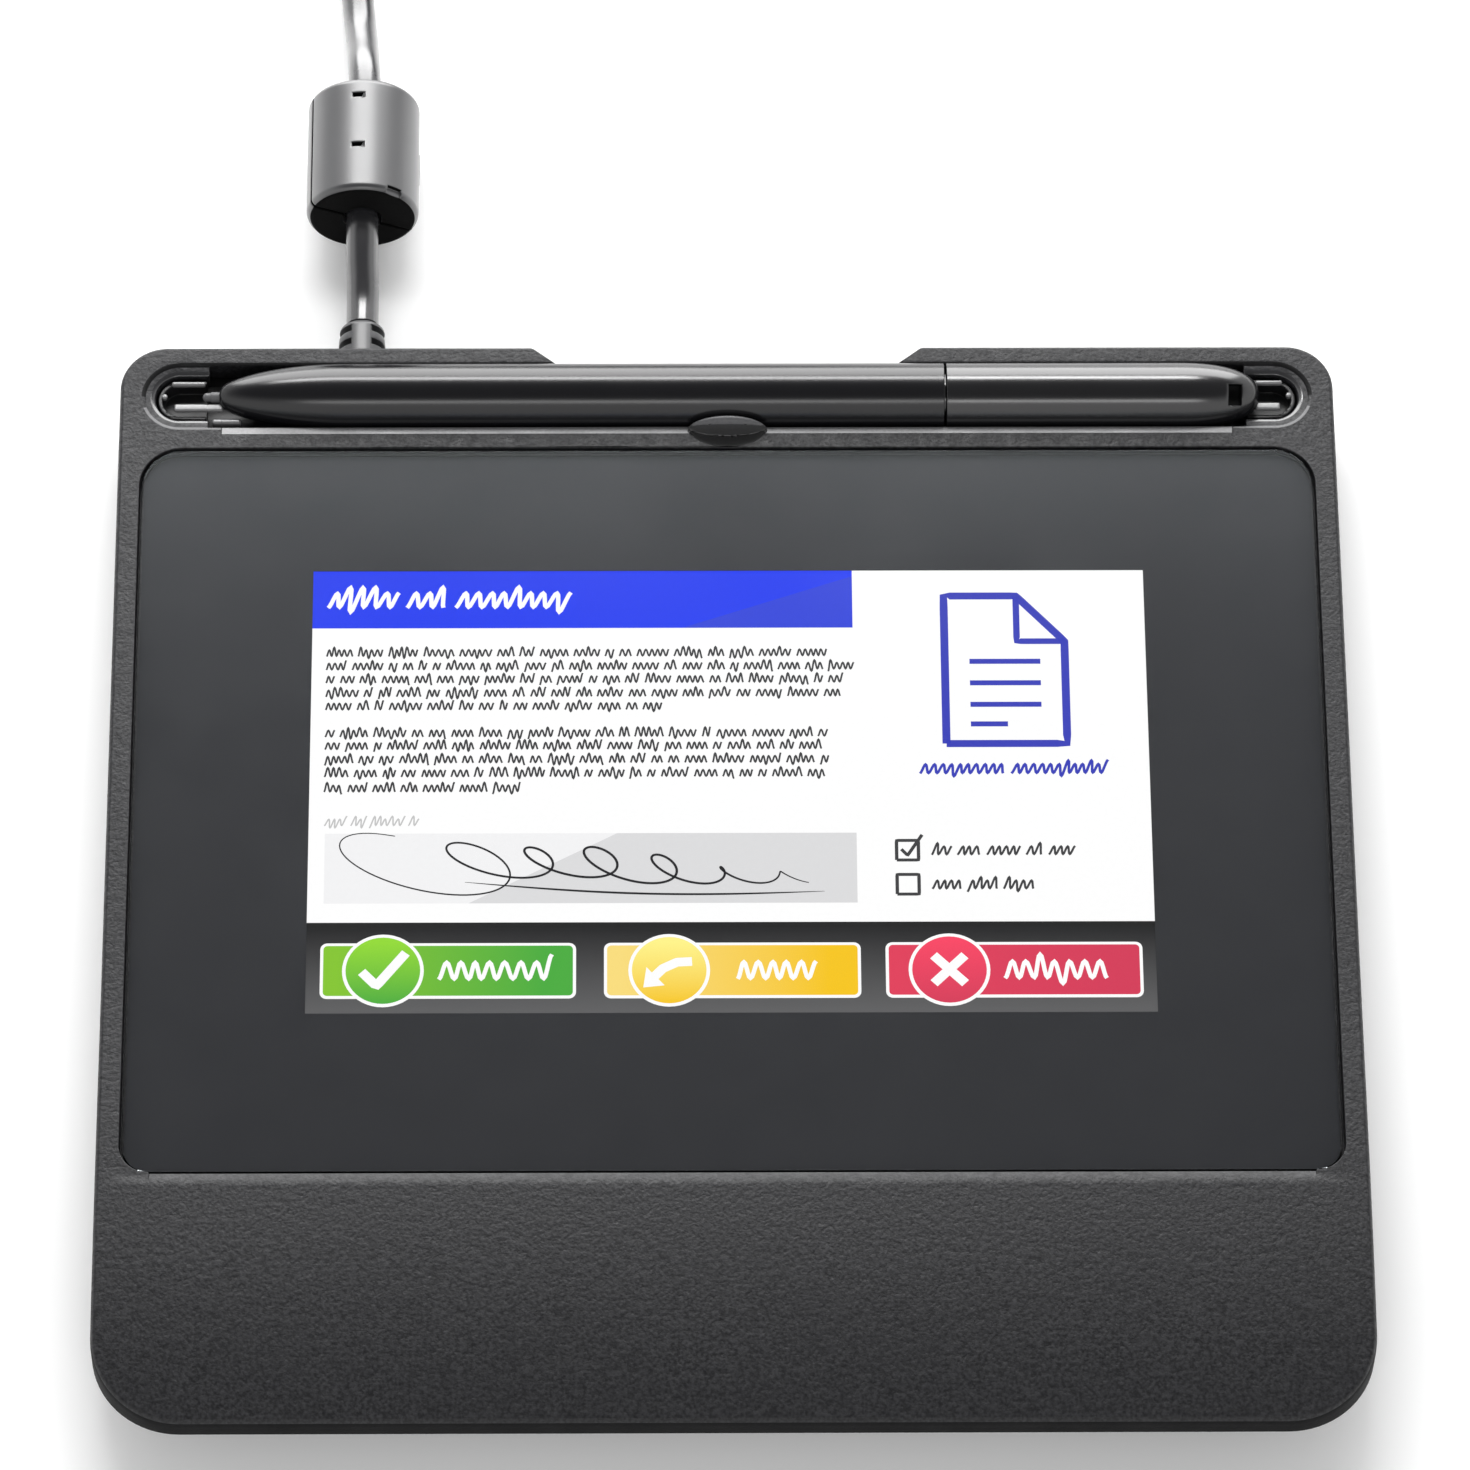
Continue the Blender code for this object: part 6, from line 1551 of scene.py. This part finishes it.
def make_ledge():
    """The short ledge in front of the pen's nose, in the channel's left end, light grey as a
    painted highlight.
    """
    size = (LEDGE_END - LEDGE_START, LEDGE_DEPTH, LEDGE_HEIGHT)
    x, y = (LEDGE_START + LEDGE_END) / 2, LEDGE_FRONT + LEDGE_DEPTH / 2
    middle = (x, y, LEDGE_TOP - LEDGE_HEIGHT / 2)
    ledge = block("channel_ledge", size, middle, finish("rail_grey"))
    settle(ledge, edge=0.0003, steps=4)
    dressed(ledge, "pad", "rail_grey")


# Pen
def nose_profile():
    points = []
    for step in range(NOSE_STEPS + 1):
        share = 1 - step / NOSE_STEPS
        swell = (1 - share * share) ** NOSE_TAPER_POWER
        radius = PEN_NOSE_RADIUS + (PEN_RADIUS - PEN_NOSE_RADIUS) * swell
        points.append((radius, PEN_FULL - share * (PEN_FULL - PEN_NOSE)))
    return points


def dome_profile():
    points = []
    for turn in quarter(DOME_STEPS):
        radius = PEN_RADIUS * math.cos(turn) ** (2 / DOME_POWER)
        rise = (PEN_BUTT - PEN_DOME) * math.sin(turn) ** (2 / DOME_POWER)
        points.append((radius, PEN_DOME + rise))
    points[-1] = (0, PEN_BUTT)
    return points


def place_on_pen(obj):
    return along_x(obj, TRAY_MIDDLE_Y, PEN_HEIGHT)


def make_pen():
    make_barrel()
    make_cap()
    make_nib()


def make_barrel():
    """The pen's front, hollow for its insides and open at the nose for the nib."""
    matte = finish("pen_matte")
    end = PEN_SEAM - FIT / 2
    profile = [(0, PEN_NOSE), *nose_profile(), (PEN_RADIUS, end), (0, end)]
    barrel = place_on_pen(turned("pen_front", profile, matte))
    bore = PEN_RADIUS - PEN_WALL
    bore_profile = (
        (0, PEN_NOSE - OVERRUN),
        (NIB_RADIUS + FIT, PEN_NOSE - OVERRUN),
        (NIB_RADIUS + FIT, CORE_START - FIT),
        (bore, CORE_START - FIT),
        (bore, end + OVERRUN),
        (0, end + OVERRUN),
    )
    cut(barrel, place_on_pen(turned("barrel_bore", bore_profile, matte, SMALL_SIDES)))
    settle(barrel, edge=0.0001)
    dressed(barrel, "pen", "pen_matte", "pen_barrel")


def make_cap():
    """The pen's rear, with the spigot that goes into the front and the tether's slot."""
    satin = finish("pen_satin")
    start = PEN_SEAM + FIT / 2
    spigot = PEN_RADIUS - PEN_WALL - FIT
    spigot_start = PEN_SEAM - SPIGOT_LENGTH
    profile = [(0, spigot_start), (spigot, spigot_start), (spigot, start), (PEN_RADIUS, start)]
    cap = place_on_pen(turned("pen_rear", [*profile, *dome_profile()], satin))
    low, high = spigot_start - OVERRUN, PEN_DOME - CAP_END_WALL
    hollow = rod("cap_bore", spigot - PEN_WALL, low, high, satin, SMALL_SIDES)
    slot_size = (TETHER_SLOT_LENGTH, TETHER_SLOT_WIDTH, 2 * PEN_RADIUS + OVERRUN)
    slot = block("tether_slot", slot_size, (TETHER_SLOT_X, TRAY_MIDDLE_Y, PEN_HEIGHT), satin)
    slot.rotation_euler.x = TETHER_SLOT_TURN
    cut(cap, place_on_pen(hollow), slot)
    settle(cap, edge=0.0001)
    dressed(cap, "pen", "pen_satin", "pen_cap")


def make_nib():
    """The nib: a round tip, then a collar where it leaves the pen."""
    profile = [(0, PEN_NIB_TIP)]
    for turn in quarter(EDGE_STEPS)[1:]:
        height = PEN_NIB_TIP + NIB_TIP_RADIUS * (1 - math.cos(turn))
        profile.append((NIB_TIP_RADIUS * math.sin(turn), height))
    profile += [(NIB_TIP_RADIUS, NIB_STEP), (NIB_COLLAR_RADIUS, NIB_STEP)]
    profile += [(NIB_COLLAR_RADIUS, PEN_NOSE), (NIB_RADIUS, PEN_NOSE + FIT)]
    profile += [(NIB_RADIUS, NIB_END), (0, NIB_END)]
    nib = place_on_pen(turned("pen_point", profile, finish("nib_grey"), SMALL_SIDES))
    settle(nib, edge=0.00008)
    dressed(nib, "nib", "nib_grey", "pen_nib")


# Glass and what the display shows
def make_glass():
    pane = prism("cover_pane", glass_outline(0), GLASS_UNDERSIDE, GLASS_TOP, clear_glass())
    settle(pane, edge=0.00022, steps=3, limit=50)
    # The pane's edge faces are painted black: painted shade for the dark line round the glass
    pane.data.materials.append(finish("casing_black"))
    for face in pane.data.polygons:
        face.material_index = int(abs(face.normal.z) < PANE_SHADE_EDGE_NORMAL)
    dressed(pane, "pad", "cover_glass_black", "cover_glass")
    low = GLASS_UNDERSIDE - FIT / 2
    high = GLASS_UNDERSIDE - FIT / 10
    black = finish("printed_border")
    border = prism("printed_border", glass_outline(-FIT), low, high, black)
    left, front, right, rear = (value * MM for value in LIT_AREA)
    size = (right - left, rear - front, FIT)
    middle = ((left + right) / 2, (front + rear) / 2, (low + high) / 2)
    cut(border, block("border_window", size, middle, black))
    settle(border)
    dressed(border, "pad", "cover_glass_black")


def rounded_box(left, front, right, rear, corner=0.0, steps=6):
    """A rectangle, with round corners if asked, as (x, y) points in millimetres."""
    if corner <= 0:
        return [(left, front), (right, front), (right, rear), (left, rear)]
    points = []
    corners = (
        (right - corner, front + corner, -90),
        (right - corner, rear - corner, 0),
        (left + corner, rear - corner, 90),
        (left + corner, front + corner, 180),
    )
    for x, y, start in corners:
        for step in range(steps + 1):
            turn = math.radians(start + 90 * step / steps)
            points.append((x + corner * math.cos(turn), y + corner * math.sin(turn)))
    return points


def disc(x, y, radius):
    turns = [2 * math.pi * i / SMALL_SIDES for i in range(SMALL_SIDES)]
    return [(x + radius * math.cos(turn), y + radius * math.sin(turn)) for turn in turns]


def stroke(points, width, taper=0.0):
    """The outline of a line drawn along points, thinner towards its ends by taper."""
    left, right = [], []
    last = len(points) - 1
    for i, (x, y) in enumerate(points):
        before = points[max(i - 1, 0)]
        after = points[min(i + 1, last)]
        along = Vector((after[0] - before[0], after[1] - before[1])).normalized()
        share = i / last
        half = width / 2 * (1 - taper * abs(2 * share - 1) ** 3)
        left.append((x - along.y * half, y + along.x * half))
        right.append((x + along.y * half, y - along.x * half))
    return list(zip(left, right))


def screen_piece(name, layer, material, shapes=(), strokes=()):
    """One flat piece of what the display shows, from outlines and strokes in millimetres."""
    bm = bmesh.new()
    low = SCREEN_LOW + SCREEN_LAYER * layer
    high = low + SCREEN_SHEET
    for shape in shapes:
        bottom = [bm.verts.new((x * MM, y * MM, low)) for x, y in shape]
        top = [bm.verts.new((x * MM, y * MM, high)) for x, y in shape]
        bm.faces.new(list(reversed(bottom)))
        bm.faces.new(top)
        for i in range(len(shape)):
            bm.faces.new((bottom[i - 1], bottom[i], top[i], top[i - 1]))
    for pairs in strokes:
        rows = [[bm.verts.new((x * MM, y * MM, high)) for x, y in pair] for pair in pairs]
        for row, after in zip(rows, rows[1:]):
            bm.faces.new((row[0], row[1], after[1], after[0]))
    piece = mesh_object(name, bm, material)
    piece.data.shade_flat()
    return dressed(piece, "pad", "display_surface")


def writing(chance, start, end, low, height, weight, slant=0.0, waves=()):
    """Wavy lines in the place of a line of print, one to a word, which spell nothing."""
    strokes = []
    planned = list(waves)
    x = start
    while x < end:
        count = planned.pop(0) if planned else chance.randint(*WORD_WAVES)
        points = []
        for turn in range(count + 1):
            level, other, odds = WAVE_TOP if turn % 2 else WAVE_FOOT
            if chance.random() < odds:
                level = other
            points.append((x, low + level * height))
            x += height * chance.uniform(*WAVE_STEP)
        if points[-1][0] > end:
            break
        strokes.append(stroke(waved(points, slant, low), weight * height))
        x += height * WORD_GAP
        if waves and not planned:
            break
    return strokes


def waved(points, slant, low, parts=5):
    """Points on a smooth wave through its crests and troughs, leaning right by slant."""
    fine = []
    for (x, y), (next_x, next_y) in zip(points, points[1:]):
        for part in range(parts):
            share = part / parts
            high = y + (next_y - y) * smooth_step(share)
            fine.append((x + (next_x - x) * share + (high - low) * slant, high))
    x, y = points[-1]
    fine.append((x + (y - low) * slant, y))
    return fine


def make_screen():
    """A lit form to sign, with print that can't be read, a mark, a scrawl and three buttons."""
    chance = random.Random(PRINT_SEED)
    white = lit("lit_white", (1.0, 1.0, 1.0))
    ink = lit("lit_ink", (0.045, 0.045, 0.048))
    make_page(white)
    screen_piece("screen_title", 2, white, strokes=writing(chance, *TITLE_WORDS))
    lines = []
    for low, end in PRINT_ROWS:
        lines += writing(chance, PRINT_LEFT, end, low, PRINT_HEIGHT, PRINT_WEIGHT)
    screen_piece("screen_print", 1, ink, strokes=lines)
    pale_grey = lit("lit_pale_grey", (0.55, 0.55, 0.55))
    screen_piece("screen_hint", 1, pale_grey, strokes=writing(chance, *HINT_WORDS))
    make_sign_box()
    pen_line = lit("lit_pen_line", (0.012, 0.012, 0.014))
    signed = [stroke(scrawl(), 0.34, 0.6), stroke(flourish(), 0.30, 0.8)]
    screen_piece("screen_scrawl", 3, pen_line, strokes=signed)
    mark_blue = lit("lit_mark", (0.035, 0.045, 0.48))
    screen_piece("screen_mark", 1, mark_blue, strokes=sheet_mark())
    screen_piece("screen_mark_words", 1, mark_blue, strokes=writing(chance, *MARK_WORDS))
    for index, (y, end) in enumerate(CHOICES):
        box = rounded_box(BOX_LEFT, y, BOX_RIGHT, y + BOX_HEIGHT)
        drawn = stroke(subdivided([*box, box[0]]), BOX_WEIGHT)
        screen_piece(f"screen_box_{index}", 1, ink, strokes=[drawn])
        words = writing(chance, CHOICE_LEFT, end, y + 0.75, 1.25, 0.24, 0.2)
        screen_piece(f"screen_choice_{index}", 1, ink, strokes=words)
    tick = stroke(subdivided(TICK), BOX_WEIGHT)
    screen_piece("screen_choice_tick", 2, ink, strokes=[tick])
    make_buttons(chance, white)


def make_page(white):
    """The page with the band for its title, and the bar under the buttons."""
    left, front, right, rear = LIT_AREA
    left, front, right, rear = left - 1, front - 1, right + 1, rear + 1
    (band_x, band_low), (end_x, end_y) = TITLE_BAND
    band = [(left, band_low), (band_x, band_low), (end_x, end_y), (end_x, rear), (left, rear)]
    corner = [(band_x, band_low), (end_x, band_low), (end_x, end_y)]
    bar = lit("lit_bar", (0.012, 0.012, 0.013), (0.115, 0.115, 0.118), 1, *BAR_RUN)
    shadow = lit("lit_shadow", (0.01, 0.01, 0.01))
    blue = lit("lit_blue", (0.004, 0.036, 0.87))
    deep_blue = lit("lit_blue_deep", (0.022, 0.050, 0.70))
    for name, layer, material, outline in (
        ("screen_bar", 0, bar, rounded_box(left, front, right, SHADOW_BOTTOM)),
        ("screen_shadow", 0, shadow, rounded_box(left, SHADOW_BOTTOM, right, PAGE_BOTTOM)),
        ("screen_page", 0, white, rounded_box(left, PAGE_BOTTOM, right, rear)),
        ("screen_title_band", 1, blue, band),
        ("screen_title_corner", 1, deep_blue, corner),
    ):
        screen_piece(name, layer, material, [outline])


def make_sign_box():
    """The box to sign in, in two greys that meet in a slanting line."""
    left, front, right, rear = SIGN_BOX
    split_front, split_rear = SIGN_BOX_SPLIT
    outline = [(split_front, front), (right, front), (right, rear), (split_rear, rear)]
    screen_piece("screen_sign_box", 1, lit("lit_box", (0.72, 0.72, 0.73)), [outline])
    outline = [(left, front), (split_front, front), (split_rear, rear), (left, rear)]
    screen_piece("screen_sign_box_pale", 1, lit("lit_box_pale", (0.90, 0.90, 0.91)), [outline])


def scrawl():
    """Loops that get smaller from left to right, in the place of a signature."""
    points = []
    for i in range(SCRAWL_STEPS + 1):
        share = i / SCRAWL_STEPS
        turn = share * 2 * math.pi * SCRAWL_TURNS
        size = 5.6 * (1 - 0.80 * share**0.6) * (0.8 + 0.2 * math.cos(share * 11))
        x = -43 + 53 * share**0.9 - size * (2.0 - 0.8 * share) * math.sin(turn)
        points.append((x, -0.4 + size * math.cos(turn - 0.5) + 1.2 * math.sin(share * 5)))
    return points


def flourish():
    """The line that runs back under the loops."""
    points = []
    for i in range(FLOURISH_STEPS + 1):
        sag = math.sin(i / FLOURISH_STEPS * math.pi)
        y = -3.6 - 1.0 * sag + 1.4 * i / FLOURISH_STEPS
        points.append((12 - 46 * i / FLOURISH_STEPS, y))
    return points


def sheet_mark():
    """A plain sign of a sheet with a folded corner and lines on it."""
    sheet, fold, line = SHEET_WEIGHTS
    mark = [stroke(subdivided(SHEET), sheet), stroke(subdivided(SHEET_FOLD), fold)]
    mark += [stroke([(SHEET_LINE_LEFT, y), (end, y)], line) for y, end in SHEET_LINES]
    return mark


def subdivided(points, parts=12):
    """Points with more of them along each side, so that a stroke keeps its width at corners."""
    fine = []
    for (x, y), (next_x, next_y) in zip(points, points[1:]):
        for part in range(parts):
            share = part / parts
            fine.append((x + (next_x - x) * share, y + (next_y - y) * share))
    fine.append(points[-1])
    return fine


def shifted(points, across, along):
    return [(across + x, along + y) for x, y in points]


def make_buttons(chance, white):
    """Green, yellow and red buttons with a round sign on each."""
    low, high, middle = BUTTON_FRONT, BUTTON_REAR, BUTTON_MIDDLE
    for name, (start, end, round_x, word_start, word_end, waves) in BUTTONS.items():
        piece = f"screen_{name}"
        colour, second = BUTTON_COLOURS[name]
        run = lit(f"lit_{name}", colour, second, 0, start + 2, end - 4)
        top = shade(colour, SIGN_LIGHT)
        ball = lit(f"lit_{name}_round", second, top, 1, middle - 5, middle + 4)
        inner = (start + BUTTON_RIM, low + BUTTON_RIM, end - BUTTON_RIM, high - BUTTON_RIM)
        words = writing(chance, word_start, word_end, middle - 1.25, 2.5, 0.22, 0.0, (waves,))
        lines = [shifted(line, round_x, middle) for line in SIGNS[name]]
        heads = [shifted(ARROW_HEAD, round_x, middle)] if name == "yellow" else []
        drawn = [stroke(subdivided(line), SIGN_WEIGHT) for line in lines]
        screen_piece(f"{piece}_edge", 1, white, [rounded_box(start, low, end, high, BUTTON_CORNER)])
        screen_piece(f"{piece}_face", 2, run, [rounded_box(*inner, BUTTON_FACE_CORNER)])
        screen_piece(f"{piece}_ring", 3, white, [disc(round_x, middle, SIGN_RING)])
        screen_piece(f"{piece}_round", 4, ball, [disc(round_x, middle, SIGN_BALL)])
        screen_piece(f"{piece}_word", 3, white, strokes=words)
        screen_piece(f"{piece}_sign", 5, white, heads, drawn)


# Nodes that keep their own shape
def dress_the_rest():
    """Better materials for the CAD nodes that stay in view."""
    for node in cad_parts.values():
        for slot in node.material_slots:
            name = slot.material.name.split(".")[0]
            if name in FINISHES:
                slot.material = finish(name)


# Floor and light
def add_floor():
    """A pale floor that the camera and reflections see as white, with the object's shadow."""
    bm = bmesh.new()
    bmesh.ops.create_grid(bm, x_segments=8, y_segments=8, size=3)
    made = new_material("floor_white", (0.92, 0.92, 0.92), 0.9)
    nodes = made.node_tree.nodes
    shader = shader_of(made)
    shader.inputs["Specular IOR Level"].default_value = 0
    rays = add_node(made, "ShaderNodeLightPath").outputs
    seen = worked_out(made, "MAXIMUM", rays["Is Camera Ray"], rays["Is Glossy Ray"])
    shown = worked_out(made, "MAXIMUM", seen, rays["Is Transmission Ray"])
    strength = worked_out(made, "MULTIPLY", shown, FLOOR_GLOW)
    shader.inputs["Emission Color"].default_value = (1, 1, 1, 1)
    link(made, strength, shader.inputs["Emission Strength"])
    link(made, shader.outputs[0], nodes["Material Output"].inputs["Surface"])
    mesh_object("floor", bm, made)


def add_world():
    """White where the camera sees it; for all other rays white low down and dark overhead."""
    world = bpy.data.worlds.new("studio")
    bpy.context.scene.world = world
    world.use_nodes = True
    ground = world.node_tree.nodes["Background"]
    ground.inputs["Color"].default_value = (1, 1, 1, 1)
    direction = add_node(world, "ShaderNodeTexCoord")
    split = add_node(world, "ShaderNodeSeparateXYZ")
    link(world, direction.outputs["Generated"], split.inputs[0])
    level = ranged(world, split.outputs[2], 1.0, OVERHEAD_LEVEL, WHITE_BELOW, DARK_ABOVE)
    rays = add_node(world, "ShaderNodeLightPath")
    for name in ("Is Camera Ray", "Is Transmission Ray"):
        level = worked_out(world, "MAXIMUM", level, rays.outputs[name])
    link(world, level, ground.inputs["Strength"])


def add_lamp(name, place, target, size, power):
    data = bpy.data.lights.new(name, "AREA")
    data.shape = "RECTANGLE"
    data.size, data.size_y = size
    data.energy = power
    lamp = bpy.data.objects.new(name, data)
    lamp.location = place
    lamp.rotation_euler = (Vector(target) - Vector(place)).to_track_quat("-Z", "Y").to_euler()
    bpy.context.scene.collection.objects.link(lamp)


add_camera()
cable, cable_points = make_lead()
plug_pieces = make_plug(cable_points[-1])
tie = make_lead_tie()
ferrite_halves = make_ferrite()
make_strain_relief()
make_upper_casing()
make_lower_casing()
make_feet()
make_screws()
make_tray()
make_tether_anchor("left", "tether_anchor_left", -1, LEFT_RAILS)
make_tether_anchor("right", "tether_anchor_right", 1, RIGHT_RAILS)
make_ledge()
make_pen()
make_glass()
make_screen()
dress_the_rest()
add_floor()
add_world()
for lamp in LAMPS:
    add_lamp(*lamp)
bpy.context.scene.view_settings.view_transform = "Standard"
